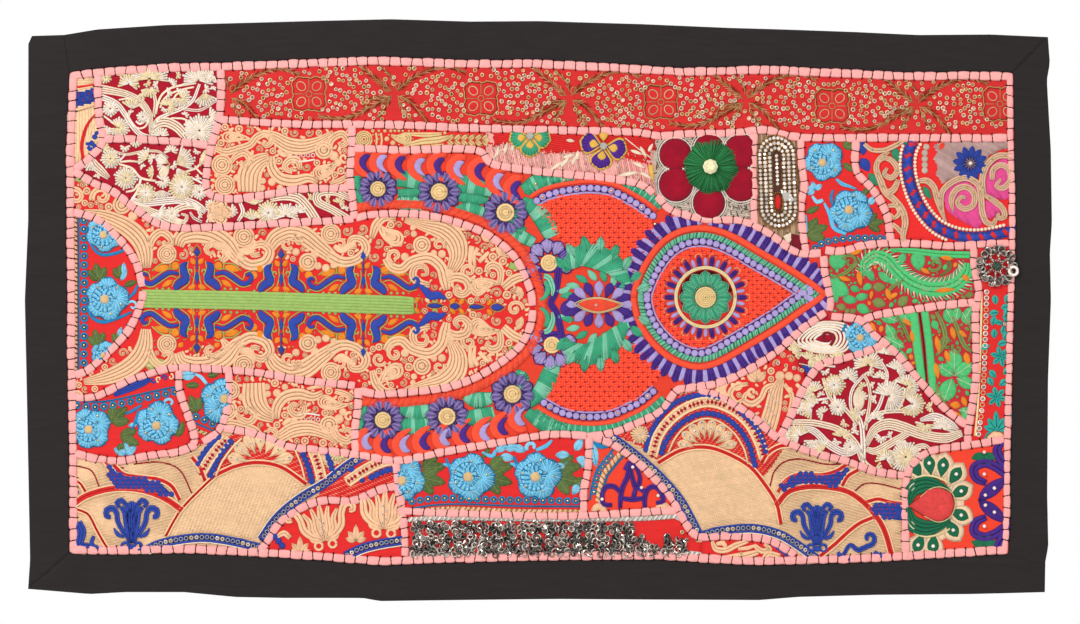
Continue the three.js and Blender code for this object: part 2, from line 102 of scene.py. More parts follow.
# The braid's runs, by the points that their curves pass, as in the solids
SEAMS = {
    "braid_under_satin": [
        (-323, -98), (-248, -103), (-150, -104), (-53, -107.5), (90, -111), (119, -115),
        (150, -113), (196, -112), (226, -109), (258, -116), (355, -117), (470, -117),
    ],
    "braid_corner_side": [(-441, -52), (-440, -94), (-436, -120), (-447, -135), (-466, -150)],
    "braid_cream_side": [
        (-319, -46), (-318, -68), (-320, -98), (-328, -126), (-333, -155), (-331, -171),
        (-319, -177), (-299, -177.5), (-263, -172), (-238, -168), (-188, -167),
    ],
    "braid_cream_step": [(-437, -118), (-412, -118), (-381, -119.5), (-355, -121), (-329, -125)],
    "braid_scroll_side": [(-187, -102), (-187, -124), (-189, -154), (-186, -181), (-184, -200)],
    "braid_cream_foot": [
        (-467, -149), (-445, -162), (-427, -170), (-397, -193), (-380, -203), (-360, -207),
        (-320, -206), (-269, -203), (-211, -200), (-183, -198),
    ],
    "braid_rose_arc_top": [
        (-467, -191), (-458, -193), (-441, -199), (-422, -216), (-404, -239), (-396, -268),
    ],
    "braid_rose_arc_bottom": [
        (-396, -268), (-398, -283), (-410, -309), (-429, -330), (-451, -349), (-466, -355),
    ],
    "braid_garden_foot": [
        (-466, -375), (-458, -377), (-442, -375), (-413, -361), (-396, -355), (-364, -347),
        (-311, -349), (-272, -353), (-238, -359), (-182, -365),
    ],
    "braid_fan_top": [
        (-465, -430), (-457, -434), (-424, -440), (-393, -435), (-363, -431), (-340, -423),
    ],
    "braid_rose_post": [(-360, -347), (-359, -371), (-350, -396), (-344, -417), (-348, -426)],
    "braid_rose_hook": [(-310, -349), (-310, -376), (-313, -393), (-321, -411), (-338, -422)],
    "braid_arch_foot": [
        (-317, -407), (-298, -410), (-275, -415.6), (-252, -425), (-221, -429), (-173, -435),
        (-148, -440), (-123, -437), (-90, -430), (-32, -420), (-7, -416), (16, -413), (50, -415),
    ],
    "braid_scroll_post": [(-181, -365), (-181, -384), (-184, -410), (-183, -434)],
    "braid_lotus_side": [(-143, -440), (-141, -465), (-136, -495), (-134, -523), (-134, -537)],
    "braid_lotus_top": [
        (-281, -531), (-273, -522), (-262, -505), (-250, -494), (-219, -480), (-186, -480),
        (-163, -470), (-141, -464),
    ],
    "braid_garden_top": [
        (-185, -198), (-162, -193), (-115, -194), (-77, -203), (-48, -216), (-23, -238),
        (-9, -268), (-6, -287),
    ],
    "braid_garden_bottom": [
        (-6, -287), (-9, -306), (-20, -326), (-48, -348), (-83, -364), (-125, -371),
        (-161, -373), (-181, -369),
    ],
    "braid_arch_top": [
        (-187, -127), (-136, -129), (-77, -128), (-58, -131), (-46, -143), (-4, -150),
        (65, -157), (100, -163), (116, -174),
    ],
    "braid_drop_top": [
        (116, -174), (134, -190), (165, -198), (203, -200), (229, -212), (253, -229),
        (268, -233), (284, -232),
    ],
    "braid_drop_tip": [(284, -233), (286, -253), (291, -279), (290, -292)],
    "braid_drop_bottom": [
        (288, -290), (263, -308), (238, -330), (214, -346), (182, -361), (151, -367),
        (137, -370), (122, -390), (100, -401), (73, -412), (46, -416),
    ],
    "braid_blue_post": [(50, -414), (50, -433), (48, -454), (45, -468), (45, -493)],
    "braid_wing_left": [
        (52, -415), (77, -425), (105, -447), (130, -474), (143, -496), (158, -515),
        (189, -515), (229, -519), (258, -535),
    ],
    "braid_sequin_top": [(-138, -490), (-90, -492), (21, -495), (105, -491), (141, -489)],
    "braid_blossom_edge": [
        (367, -534), (366, -474), (371, -447), (389, -431), (414, -426), (443, -422),
        (467, -418),
    ],
    "braid_wing_top": [
        (158, -368), (186, -378.5), (216, -398), (239, -417), (269, -430), (307, -440),
        (335, -450), (368, -455),
    ],
    "braid_tree_right": [
        (290, -295), (320, -299), (335, -314), (357, -332), (380, -359), (405, -387),
        (429, -405),
    ],
    "braid_tree_left": [
        (345, -323), (327, -330), (303, -338), (280, -345), (262, -372), (252, -395), (239, -418),
    ],
    "braid_fern_top": [
        (284, -229), (302, -230), (334, -223), (374, -222.5), (413, -225), (443, -223),
        (472, -222),
    ],
    "braid_fern_side": [
        (434, -224), (436, -249), (439.5, -270), (436, -295), (437, -344), (435, -373),
        (429, -410), (430, -425),
    ],
    "braid_fern_middle": [(323, -299), (343, -293), (385, -287), (405, -284), (438, -281)],
    "braid_bead_right": [
        (262, -116), (262, -139), (265, -163), (262, -187), (265, -218), (267, -233),
    ],
    "braid_bead_left": [(215, -110), (214.5, -155), (216, -168), (214.5, -181), (216, -205)],
    "braid_rose_side": [(317, -117), (317, -149), (332, -167), (347, -192), (352, -222)],
}
EDGE_BRAID_IN = 4.3


# Places on the cloth


def from_frame(points):
    """Frame millimetres (x, z) as layout places."""
    return [(x - CORNER_X, CORNER_Z - z) for x, z in points]


def lie(u, v):
    """How far the middle of the cloth stands from the wall's plane, in millimetres."""
    x, z = np.asarray(u, float) + CORNER_X, CORNER_Z - np.asarray(v, float)
    depth = 0.0
    for w in WAVES:
        depth = depth + w["depth"] * np.sin(TAU * (x / w["across"] + z / w["up"]) + w["start"])
    for f in FOLDS:
        ridge = f["top"] - (f["bottom"] - f["top"]) * z / DROP
        depth = depth - f["rise"] * np.exp(-(((x - ridge) / f["reach"]) ** 2))
    return depth


def on_cloth(u, v, out):
    """Layout places and heights as points of the frame, in metres."""
    x = np.asarray(u, float) + CORNER_X
    z = CORNER_Z - np.asarray(v, float)
    return np.stack([x, lie(u, v) - out, z], -1) * MM


def smooth(points, step=3.0, closed=False):
    """A smooth curve through some points, with a point about every step millimetres."""
    p = np.asarray(points, float)
    if len(p) == 2 and not closed:
        n = max(2, round(float(np.linalg.norm(p[1] - p[0])) / step))
        return p[0] + (p[1] - p[0]) * np.linspace(0, 1, n + 1)[:, None]
    if closed:
        p = np.vstack([p[-1], p, p[0], p[1]])
    else:
        p = np.vstack([2 * p[0] - p[1], p, 2 * p[-1] - p[-2]])
    found = []
    for a, b, c, d in zip(p, p[1:], p[2:], p[3:]):
        n = max(1, round(float(np.linalg.norm(c - b)) / step))
        t = (np.arange(n) / n)[:, None]
        found.append(0.5 * (2 * b + (c - a) * t + (2 * a - 5 * b + 4 * c - d) * t**2
                            + (3 * b - a - 3 * c + d) * t**3))
    if not closed:
        found.append(p[-2][None])
    return np.vstack(found)


def lengths_along(line):
    return np.concatenate([[0], np.cumsum(np.linalg.norm(np.diff(line, axis=0), axis=1))])


def places_at(line, lengths):
    """The places at some lengths along a line."""
    s = lengths_along(line)
    return np.stack([np.interp(lengths, s, line[:, 0]), np.interp(lengths, s, line[:, 1])], -1)


def evenly(line, count):
    """A line's points moved to even shares of its length."""
    return places_at(line, np.linspace(0, lengths_along(line)[-1], count))


def spaced(line, pitch, start=None):
    """Places at an even pitch along a line, the first half a pitch in where no start is given."""
    first = pitch / 2 if start is None else start
    return places_at(line, np.arange(first, lengths_along(line)[-1], pitch))


def sides_of(line):
    """Unit vectors to the left of a line, seen from the front."""
    ahead = np.gradient(line, axis=0)
    ahead /= np.maximum(np.linalg.norm(ahead, axis=1), 1e-9)[:, None]
    return np.stack([ahead[:, 1], -ahead[:, 0]], 1)


class Place:
    """Where a motif goes: its layout place, turn in degrees, size and whether it is mirrored."""

    def __init__(self, u, v, turn=0.0, size=1.0, flip=False):
        self.u, self.v, self.size, self.flip = u, v, size, flip
        self.c, self.s = math.cos(math.radians(turn)), math.sin(math.radians(turn))

    def __call__(self, points):
        p = np.asarray(points, float) * self.size
        if self.flip:
            p = p * (1, -1)
        x, y = p[..., 0], p[..., 1]
        return np.stack([self.u + x * self.c - y * self.s, self.v + x * self.s + y * self.c], -1)


# Colours


def dye(code):
    """A colour in scene values from its six-digit screen code."""
    found = [int(code[i : i + 2], 16) / 255 for i in (0, 2, 4)]
    return np.array([c / 12.92 if c <= 0.04045 else ((c + 0.055) / 1.055) ** 2.4 for c in found])


BLACK_COTTON = dye("2B2626")
PINK = dye("FBABA6")
STITCH = dye("3A1018")
CREAM = dye("FAE4C8")
WHITE = dye("FCEEE0")
STRAW = dye("F0D9A0")
PEACH = dye("F8C69C")
SAND = dye("FBD1A4")
RED = dye("E02C2B")
CORAL = dye("F0452F")
ORANGE = dye("FA5338")
DEEP_RED = dye("A8152A")
MAROON = dye("6E1422")
BRICK = dye("C62E38")
TANGERINE = dye("F58F2C")
GOLD = dye("EBC68C")
OLD_GOLD = dye("A87A42")
ROYAL = dye("3148A4")
NAVY = dye("1E2B66")
SKY = dye("62BFE8")
PALE_SKY = dye("8FD4F0")
SEA = dye("2383B8")
TURQUOISE = dye("35B5A6")
OLIVE = dye("5C7340")
MOSS = dye("8A9A55")
EMERALD = dye("42A87E")
MINT = dye("80CBA9")
LEAF_GREEN = dye("55C878")
LIME = dye("A0BF68")
PURPLE = dye("4A2C86")
LILAC = dye("AE9DD2")
MAGENTA = dye("F2569E")
SILVER = dye("C9C4BC")
SILVER_BEIGE = dye("CDBBA8")
ROSE_PINK = dye("EFA9A0")


# The map of patches


class Cells:
    """A map of the field in small square cells, each numbered by the patch that it is in."""

    SIZE = 2.0
    ROUNDS = 4
    LEFT, TOP, RIGHT, BOTTOM = 60.0, 50.0, 1026.0, 574.0

    def __init__(self):
        wide = int((self.RIGHT - self.LEFT) / self.SIZE)
        tall = int((self.BOTTOM - self.TOP) / self.SIZE)
        self.number = np.zeros((tall, wide), np.int16)
        self.wall = np.zeros((tall, wide), bool)

    def at(self, u, v):
        col = np.clip(((np.asarray(u) - self.LEFT) / self.SIZE).astype(int), 0, self.number.shape[1] - 1)
        row = np.clip(((np.asarray(v) - self.TOP) / self.SIZE).astype(int), 0, self.number.shape[0] - 1)
        return row, col

    def mark(self, line):
        """Walls off a line, two cells wide."""
        dense = evenly(line, int(lengths_along(line)[-1]) + 2)
        for du, dv in ((0, 0), (self.SIZE * 0.7, 0), (0, self.SIZE * 0.7), (-self.SIZE * 0.7, 0)):
            self.wall[self.at(dense[:, 0] + du, dense[:, 1] + dv)] = True

    def flood(self, seed, number):
        row, col = self.at(*seed)
        todo = deque([(int(row), int(col))])
        tall, wide = self.number.shape
        while todo:
            r, c = todo.popleft()
            if not (0 <= r < tall and 0 <= c < wide) or self.wall[r, c] or self.number[r, c]:
                continue
            self.number[r, c] = number
            todo.extend(((r + 1, c), (r - 1, c), (r, c + 1), (r, c - 1)))

    def close(self, inside):
        """Gives the walls' cells to the patches beside them."""
        for _ in range(self.ROUNDS):
            for axis, way in ((0, 1), (0, -1), (1, 1), (1, -1)):
                beside = np.roll(self.number, way, axis)
                free = (self.number == 0) & inside
                self.number[free] = beside[free]


def within(outline, u, v):
    """Whether places lie inside a closed outline."""
    u, v = np.asarray(u, float), np.asarray(v, float)
    found = np.zeros(np.broadcast(u, v).shape, bool)
    o = np.asarray(outline, float)
    for (ax, ay), (bx, by) in zip(o, np.roll(o, -1, 0)):
        if ay == by:
            continue
        found ^= ((ay > v) != (by > v)) & (u < (bx - ax) * (v - ay) / (by - ay) + ax)
    return found


INNER = from_frame(INNER_TOP[:-1] + INNER_RIGHT[:-1] + INNER_BOTTOM[:-1] + INNER_LEFT[:-1])


def edge_runs():
    """The braid beside the border, a little inside the field's edge."""
    runs = {}
    for name, points, (du, dv), ends in (
        ("braid_edge_top", INNER_TOP, (0, EDGE_BRAID_IN), 1),
        ("braid_edge_bottom", INNER_BOTTOM, (0, -EDGE_BRAID_IN), -1),
        ("braid_edge_left", INNER_LEFT, (EDGE_BRAID_IN, 0), 0),
        ("braid_edge_right", INNER_RIGHT, (-EDGE_BRAID_IN, 0), 0),
    ):
        line = evenly(np.array(from_frame(points)), 44) + (du * 0.84, dv * 0.84)
        line[0, 0] += ends
        line[-1, 0] -= ends
        runs[name] = line
    return runs


RUNS = {**edge_runs(), **{name: from_frame(points) for name, points in SEAMS.items()}}

# Where two cloths meet with no braid between them
BARE_SEAMS = [
    [(487, 125), (489, 140), (487, 158)], [(772, 338), (790, 352), (800, 366), (812, 388)],
    [(658, 134), (655, 150), (652, 165), (655, 185), (663, 206)],
    [(697, 534), (701, 548), (702, 568)],
]

PATCH_SEEDS = dict(
    corner_strip=(84, 130), ivory_upper=(160, 100), ivory_lower=(150, 180), satin=(600, 100),
    peach_upper=(290, 160), gold_strip=(420, 141), pansy=(560, 155), velvet=(690, 205),
    arch=(450, 180), beaded=(765, 140), rose_right=(835, 190), scroll_blue=(950, 190),
    fern_upper=(900, 275), fern_lower=(930, 350), silver_strip=(995, 350), tree=(860, 420),
    eye=(820, 336), fountain=(760, 400), fan_right=(700, 480), fan_left=(200, 500),
    lotus=(340, 530), rose_strip=(500, 475), purple_scroll=(630, 480), sequin_strip=(500, 540),
    peach_bit=(740, 552), blossom=(950, 500), rose_small=(205, 400), rose_left=(120, 430),
    rose_arc=(100, 290), peach_lower=(290, 410), garden=(300, 300),
)


def map_patches():
    cells = Cells()
    for points in RUNS.values():
        cells.mark(smooth(points, 4))
    for points in BARE_SEAMS:
        cells.mark(smooth(points, 4))
    cells.mark(np.array(INNER + INNER[:1]))
    rows, cols = np.indices(cells.number.shape)
    u = cells.LEFT + (cols + 0.5) * cells.SIZE
    v = cells.TOP + (rows + 0.5) * cells.SIZE
    for number, seed in enumerate(PATCH_SEEDS.values(), 1):
        cells.flood(seed, number)
    cells.close(within(INNER, u, v))
    return cells


CELLS = map_patches()
BRAID_LINE = np.vstack([smooth(points, 3) for points in RUNS.values()])


def braid_gap(u, v):
    """How far a place is from the middle of the nearest braid."""
    return math.sqrt(((BRAID_LINE - (u, v)) ** 2).sum(1).min())


NUMBER = {name: i for i, name in enumerate(PATCH_SEEDS, 1)}


# Threads

ROUND = np.array([(1, 0), (0.62, 1), (-0.62, 1), (-1, 0)])
# Painted shade: the share of its colour that a stroke or pad keeps at its foot, where it meets the cloth
GROOVE_SHADE = 0.6
SLIM = np.array([(1, 0), (0, 1), (-1, 0)])
PADDED = np.array([(1, 0), (0.94, 0.6), (0.6, 0.97), (-0.6, 0.97), (-0.94, 0.6), (-1, 0)])


def thinned(rows):
    """Rows of a stroke without those that lie about halfway between their neighbours."""
    for _ in range(2):
        if len(rows) < 3:
            break
        before, middle, after = rows[:-2:2], rows[1:-1:2], rows[2::2]
        keep = np.ones(len(rows), bool)
        keep[1:-1:2] = np.abs(middle - (before + after) / 2).max(1) > 0.16
        rows = rows[keep]
    return rows


def stretches(keep):
    """Where each run of two or more kept places begins and ends."""
    ends = np.flatnonzero(np.diff(np.concatenate([[0], keep.astype(int), [0]])))
    return [(a, b) for a, b in zip(ends[::2], ends[1::2]) if b - a > 1]


class Work:
    """Threads and pads of one piece, gathered before they become one mesh."""

    TRY = 1.5  # millimetres between the places of a filled row that are tried

    def __init__(self, patch=None, base=SEWN):
        self.number = NUMBER[patch] if patch else None
        self.base = base
        self.points, self.faces, self.dyes, self.maps, self.taken = [], [], [], [], []
        self.count = 0

    def inside(self, line):
        if self.number is None:
            return np.ones(len(line), bool)
        return CELLS.number[CELLS.at(line[:, 0], line[:, 1])] == self.number

    def stroke(self, line, half, high=0.8, colour=CREAM, lift=0.0, section=ROUND, vary=0.06, clip=True):
        """A thread or padded stroke along a line: half its width and its height at each point."""
        line = np.asarray(line, float)
        n = len(line)
        half = np.broadcast_to(np.asarray(half, float), n)
        high = np.broadcast_to(np.asarray(high, float), n)
        lift = np.broadcast_to(np.asarray(lift, float), n)
        colour = np.asarray(colour) * (1 + draw.uniform(-vary, vary))
        keep = self.inside(line) if clip else np.ones(n, bool)
        if keep.all():
            self._lay(line, half, high, lift, colour, section)
            return
        for a, b in stretches(keep):
            self._lay(line[a:b], half[a:b], high[a:b], lift[a:b], colour, section)

    def pad(self, outline, centre=None, high=1.0, colour=CREAM, lift=0.0, vary=0.06):
        """A padded shape that swells from its outline to its middle."""
        o = np.asarray(outline, float)
        after = np.roll(o, -1, 0)
        if (o[:, 0] * after[:, 1] - after[:, 0] * o[:, 1]).sum() > 0:
            o = o[::-1]
        middle = o.mean(0) if centre is None else np.asarray(centre, float)
        if self.number is not None:
            if not self.inside(middle[None])[0]:
                return
            reach = np.ones(len(o))
            for share in (1.0, 0.85, 0.7, 0.55, 0.4, 0.25):
                reach[~self.inside(middle + (o - middle) * reach[:, None])] = share - 0.15
            o = middle + (o - middle) * reach[:, None]
        colour = np.asarray(colour) * (1 + draw.uniform(-vary, vary))
        n = len(o)
        # The last number of each ring is painted shade and light: darker at the outline where the pad meets
        # the cloth, lighter towards its middle
        rings = [(1.0, 0.0, GROOVE_SHADE), (0.93, 0.55, 0.88), (0.7, 0.88, 1.0), (0.35, 1.0, 1.05)]
        reach = np.abs(o - middle).max()
        if reach < 2.6:
            rings = [(1.0, 0.0, GROOVE_SHADE), (0.78, 0.8, 1.0)]
        elif reach < 9:
            rings = [(1.0, 0.0, GROOVE_SHADE), (0.92, 0.55, 0.88), (0.6, 0.94, 1.02)]
        places = np.vstack([middle + (o - middle) * share for share, _, _ in rings] + [middle[None]])
        out = np.concatenate([np.full(n, high * rise) for _, rise, _ in rings] + [[high * 1.02]])
        self.points.append(on_cloth(places[:, 0], places[:, 1], self.base + lift + out))
        around = np.arange(n)
        after = (around + 1) % n
        for k in range(len(rings) - 1):
            self._faces(np.stack([around, after, after + n, around + n], 1) + k * n)
        last = (len(rings) - 1) * n
        hub = np.full(n, last + n)
        self._faces(np.stack([around + last, after + last, hub, hub], 1))
        self._faces(np.array([[0, i + 1, i, i] for i in range(1, n - 1)]))
        turns = np.concatenate([lengths_along(o)] * len(rings) + [[0]])
        depth = np.linalg.norm(places - middle, axis=1)
        self.maps.append(np.stack([turns, depth], 1))
        # The rings' painted shade and light, and a lightened middle
        tone = np.append(np.repeat([shade for _, _, shade in rings], n), 1.05)
        self.dyes.append(colour * tone[:, None])
        self.taken.append(broad(places, 1.2))
        self.count += len(places)

    def _lay(self, line, half, high, lift, colour, section):
        self.taken.append(np.column_stack([line, half]))
        rows = thinned(np.column_stack([line, half, high, lift]))
        line, half, high, lift = rows[:, :2], rows[:, 2], rows[:, 3], rows[:, 4]
        if section is ROUND and half.max() < 0.85:
            section = SLIM
        n, sides = len(line), len(section)
        side = sides_of(line)
        across = half[:, None] * section[None, :, 0]
        u = line[:, :1] + side[:, :1] * across
        v = line[:, 1:] + side[:, 1:] * across
        out = self.base + lift[:, None] + high[:, None] * section[None, :, 1]
        self.points.append(on_cloth(u, v, out).reshape(-1, 3))
        ring = np.arange(sides)
        a = (np.arange(n - 1)[:, None] * sides + ring).ravel()
        b = (np.arange(n - 1)[:, None] * sides + (ring + 1) % sides).ravel()
        self._faces(np.stack([a, b, b + sides, a + sides], 1))
        end = (n - 1) * sides
        if sides == 3:
            self._faces(np.array([[0, 2, 1, 1], [end, end + 1, end + 2, end + 2]]))
        for k in range(1, sides - 2, 2):
            self._faces(np.array([[0, k + 2, k + 1, k], [end, end + k, end + k + 1, end + k + 2]]))
        along = lengths_along(line)
        self.maps.append(np.stack(np.broadcast_arrays(along[:, None],
                                                      (section[:, 0] + 1) / 2 * half[:, None] * 2),
                                  -1).reshape(-1, 2))
        # Painted shade and light: each stroke's colour is darkened at its foot and lightened on its crown
        groove_shade = 0.72 if sides == 3 else GROOVE_SHADE
        tone = np.where(section[:, 1] < 0.1, groove_shade, np.where(section[:, 1] < 0.8, 0.9, 1.04))
        self.dyes.append((colour * tone[:, None])[None].repeat(n, 0).reshape(-1, 3))
        self.count += n * sides

    def _faces(self, faces):
        self.faces.append(faces + self.count)

    def fill(self, outline, turn=0.0, pitch=2.4, high=0.5, colour=CREAM, lift=0.0, vary=0.05, step=6.0):
        """Fills a closed outline with rows of stitching."""
        o = np.asarray(outline, float)
        c, s = math.cos(math.radians(turn)), math.sin(math.radians(turn))
        across = o @ np.array([-s, c])
        along = o @ np.array([c, s])
        for w in np.arange(across.min() + pitch / 2, across.max(), pitch):
            t = np.arange(along.min(), along.max() + self.TRY, self.TRY)
            line = np.stack([t * c - w * s, t * s + w * c], 1)
            keep = within(o, line[:, 0], line[:, 1])
            for a, b in stretches(keep):
                row = evenly(line[a:b], max(2, round((b - a) * self.TRY / step) + 1))
                self.stroke(row, pitch * 0.56, high, colour, lift, vary=vary)

    def fill_gaps(self, motif, least=1.3, most=4.6, tries=2600, box=None, spare=0.2):
        """Puts a motif of a fitting size wherever the cloth is still bare."""
        rows, cols = np.nonzero(CELLS.number == self.number)
        pick = np.array([draw.randrange(len(rows)) for _ in range(tries)])
        spots = np.stack([CELLS.LEFT + (cols[pick] + 0.5) * CELLS.SIZE,
                          CELLS.TOP + (rows[pick] + 0.5) * CELLS.SIZE], 1)
        if box is not None:
            left, top, right, bottom = box
            held = (spots[:, 0] > left) & (spots[:, 0] < right) & (spots[:, 1] > top) & (spots[:,
                                                                                               1] < bottom)
            spots = spots[held]
        taken = np.vstack(self.taken)
        free = np.array([min((np.hypot(*(taken[:, :2] - spot).T) - taken[:, 2]).min(),
                             braid_gap(*spot) - 4.0) for spot in spots])
        placed = []
        for i in np.argsort(-free):
            r = min(free[i] - spare, most)
            if r < least:
                break
            u, v = spots[i]
            if all(math.hypot(u - a, v - b) > r + c + spare for a, b, c in placed):
                placed.append((u, v, r))
                motif(u, v, r)

    def make(self, name, material):
        if not self.points:
            return None
        points, faces = np.vstack(self.points), np.vstack(self.faces)
        piece = mesh_of(name, points, faces)
        paint(piece, np.vstack(self.dyes))
        layer = piece.data.uv_layers.new(name="thread")
        corners = np.empty(len(piece.data.loops), np.int32)
        piece.data.loops.foreach_get("vertex_index", corners)
        layer.uv.foreach_set("vector", (np.vstack(self.maps)[corners] * MM).astype(np.float32).ravel())
        piece.data.materials.append(material)
        return piece


def mesh_of(name, points, faces, smooth_faces=True):
    """A mesh piece from points and faces of four corners, or three where two are alike."""
    flat = faces[:, 2] == faces[:, 3]
    sizes = np.where(flat, 3, 4)
    corners = faces.ravel()[np.stack([np.ones_like(flat)] * 3 + [~flat], 1).ravel()]
    mesh = bpy.data.meshes.new(name)
    mesh.vertices.add(len(points))
    mesh.vertices.foreach_set("co", points.astype(np.float32).ravel())
    mesh.loops.add(len(corners))
    mesh.loops.foreach_set("vertex_index", corners.astype(np.int32))
    mesh.polygons.add(len(faces))
    mesh.polygons.foreach_set("loop_start", (np.cumsum(sizes) - sizes).astype(np.int32))
    mesh.update(calc_edges=True)
    mesh.polygons.foreach_set("use_smooth", np.full(len(faces), smooth_faces))
    piece = bpy.data.objects.new(name, mesh)
    bpy.context.collection.objects.link(piece)
    return piece


def paint(piece, dyes):
    """Gives each point of a piece its own colour."""
    attribute = piece.data.color_attributes.new("dye", "FLOAT_COLOR", "POINT")
    colours = np.hstack([dyes, np.ones((len(dyes), 1))])
    attribute.data.foreach_set("color", colours.astype(np.float32).ravel())


def finish_piece(piece, slot, *nodes):
    """Rides a piece on the hanging and hides the solids that it stands for; the finish that it is given is
    not used.
    """
    if piece is None:
        return
    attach(piece, "root")
    if nodes:
        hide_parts(*nodes)


# Materials


class Nodes:
    """Short ways to add nodes to a tree."""

    def __init__(self, tree):
        self.tree = tree

    def add(self, kind, **values):
        node = self.tree.nodes.new(kind)
        for key, value in values.items():
            setattr(node, key, value)
        return node

    def link(self, a, b):
        self.tree.links.new(a, b)

    def noise(self, scale, detail=2.0):
        """Noise on the piece's own coordinates."""
        node = self.add("ShaderNodeTexNoise")
        node.inputs["Scale"].default_value = scale
        node.inputs["Detail"].default_value = detail
        self.link(self.add("ShaderNodeTexCoord").outputs["Object"], node.inputs["Vector"])
        return node.outputs["Fac"]

    def math(self, operation, a, b=None, c=None):
        node = self.add("ShaderNodeMath", operation=operation)
        for socket, value in zip(node.inputs, (a, b, c)):
            if value is None:
                continue
            if isinstance(value, (int, float)):
                socket.default_value = value
            else:
                self.link(value, socket)
        return node.outputs[0]


def group(name, inputs, outputs):
    """An empty shader group with float or vector sockets, and its node helper."""
    tree = bpy.data.node_groups.new(name, "ShaderNodeTree")
    for label, kind in inputs:
        tree.interface.new_socket(label, in_out="INPUT", socket_type=kind)
    for label, kind in outputs:
        tree.interface.new_socket(label, in_out="OUTPUT", socket_type=kind)
    nodes = Nodes(tree)
    return tree, nodes, nodes.add("NodeGroupInput"), nodes.add("NodeGroupOutput")


def thread_grain():
    """Fine slanted threads across a stroke, from its own map."""
    tree, n, source, result = group(
        "thread_grain",
        [("Map", "NodeSocketVector"), ("Pitch", "NodeSocketFloat"), ("Slant", "NodeSocketFloat")],
        [("Shade", "NodeSocketFloat"), ("Height", "NodeSocketFloat")],
    )
    split = n.add("ShaderNodeSeparateXYZ")
    n.link(source.outputs["Map"], split.inputs[0])
    slanted = n.math("MULTIPLY_ADD", split.outputs["Y"], source.outputs["Slant"], split.outputs["X"])
    waves = n.math("SINE", n.math("MULTIPLY", n.math("DIVIDE", slanted, source.outputs["Pitch"]), TAU))
    height = n.math("MULTIPLY_ADD", waves, 0.5, 0.5)
    mottle = n.math("MULTIPLY_ADD", n.noise(260.0, 3.0), 0.4, 0.67)
    # The threads' height also lightens the colour on their crowns and darkens it between them, painted
    # shade; the noise adds random mottling
    shade = n.math("MULTIPLY_ADD", height, 0.26, mottle)
    n.link(shade, result.inputs["Shade"])
    n.link(height, result.inputs["Height"])
    return tree


def plain_weave():
    """Warp and weft crossing, with slubs, on the piece's own coordinates."""
    tree, n, source, result = group(
        "plain_weave",
        [("Pitch", "NodeSocketFloat"), ("Slub", "NodeSocketFloat")],
        [("Shade", "NodeSocketFloat"), ("Height", "NodeSocketFloat")],
    )
    coords = n.add("ShaderNodeTexCoord")
    split = n.add("ShaderNodeSeparateXYZ")
    n.link(coords.outputs["Object"], split.inputs[0])
    ways = []
    for axis, phase in (("X", 0.0), ("Z", math.pi / 2)):
        turn = n.math("MULTIPLY", n.math("DIVIDE", split.outputs[axis], source.outputs["Pitch"]), TAU)
        ways.append(n.math("SINE", n.math("ADD", turn, phase)))
    height = n.math("MULTIPLY_ADD", n.math("MULTIPLY", ways[0], ways[1]), 0.5, 0.5)
    slub = n.add("ShaderNodeTexNoise")
    slub.inputs["Scale"].default_value = 90.0
    slub.inputs["Detail"].default_value = 5.0
    stretch = n.add("ShaderNodeMapping")
    stretch.inputs["Scale"].default_value = (0.35, 1.0, 3.0)
    n.link(coords.outputs["Object"], stretch.inputs["Vector"])
    n.link(stretch.outputs[0], slub.inputs["Vector"])
    uneven = n.math("MULTIPLY", n.math("SUBTRACT", slub.outputs["Fac"], 0.5), source.outputs["Slub"])
    # The weave's height lightens the colour where threads cross over and darkens it between them, painted
    # shade; the slubs add real unevenness
    shade = n.math("ADD", n.math("MULTIPLY_ADD", height, 0.12, 0.94), uneven)
    n.link(shade, result.inputs["Shade"])
    n.link(n.math("ADD", height, uneven), result.inputs["Height"])
    return tree


THREAD_GRAIN = thread_grain()
PLAIN_WEAVE = plain_weave()


def surface(name, roughness=0.8, metallic=0.0, sheen=0.0, **sockets):
    """A new material with its Principled shader and node helper."""
    material = bpy.data.materials.new(name)
    material.use_nodes = True
    n = Nodes(material.node_tree)
    shader = material.node_tree.nodes["Principled BSDF"]
    shader.inputs["Roughness"].default_value = roughness
    shader.inputs["Metallic"].default_value = metallic
    shader.inputs["Sheen Weight"].default_value = sheen
    shader.inputs["Specular IOR Level"].default_value = 0.5 if roughness < 0.5 else 0.18
    for key, value in sockets.items():
        shader.inputs[key.replace("_", " ")].default_value = value
    return material, n, shader


def shaded(n, colour, shade):
    """A colour, constant or from a socket, made lighter or darker by a shade."""
    mix = n.add("ShaderNodeVectorMath", operation="SCALE")
    if hasattr(colour, "is_linked"):
        n.link(colour, mix.inputs[0])
    else:
        mix.inputs[0].default_value = tuple(colour[:3])
    n.link(shade, mix.inputs["Scale"])
    return mix.outputs[0]


def raised(n, shader, height, distance, strength=0.6):
    bump = n.add("ShaderNodeBump")
    bump.inputs["Strength"].default_value = strength
    bump.inputs["Distance"].default_value = distance
    n.link(height, bump.inputs["Height"])
    n.link(bump.outputs[0], shader.inputs["Normal"])


def thread_material(name, pitch=0.0007, slant=0.6, roughness=0.75, sheen=0.0, depth=0.00025):
    """Stitching dyed by its own colours, with thread grain."""
    material, n, shader = surface(name, roughness, sheen=sheen)
    grain = n.add("ShaderNodeGroup", node_tree=THREAD_GRAIN)
    grain.inputs["Pitch"].default_value = pitch
    grain.inputs["Slant"].default_value = slant
    uv = n.add("ShaderNodeUVMap", uv_map="thread")
    n.link(uv.outputs[0], grain.inputs["Map"])
    dyes = n.add("ShaderNodeAttribute", attribute_name="dye")
    n.link(shaded(n, dyes.outputs["Color"], grain.outputs["Shade"]), shader.inputs["Base Color"])
    raised(n, shader, grain.outputs["Height"], depth)
    return material


WEAVE_DEPTH = 0.00015


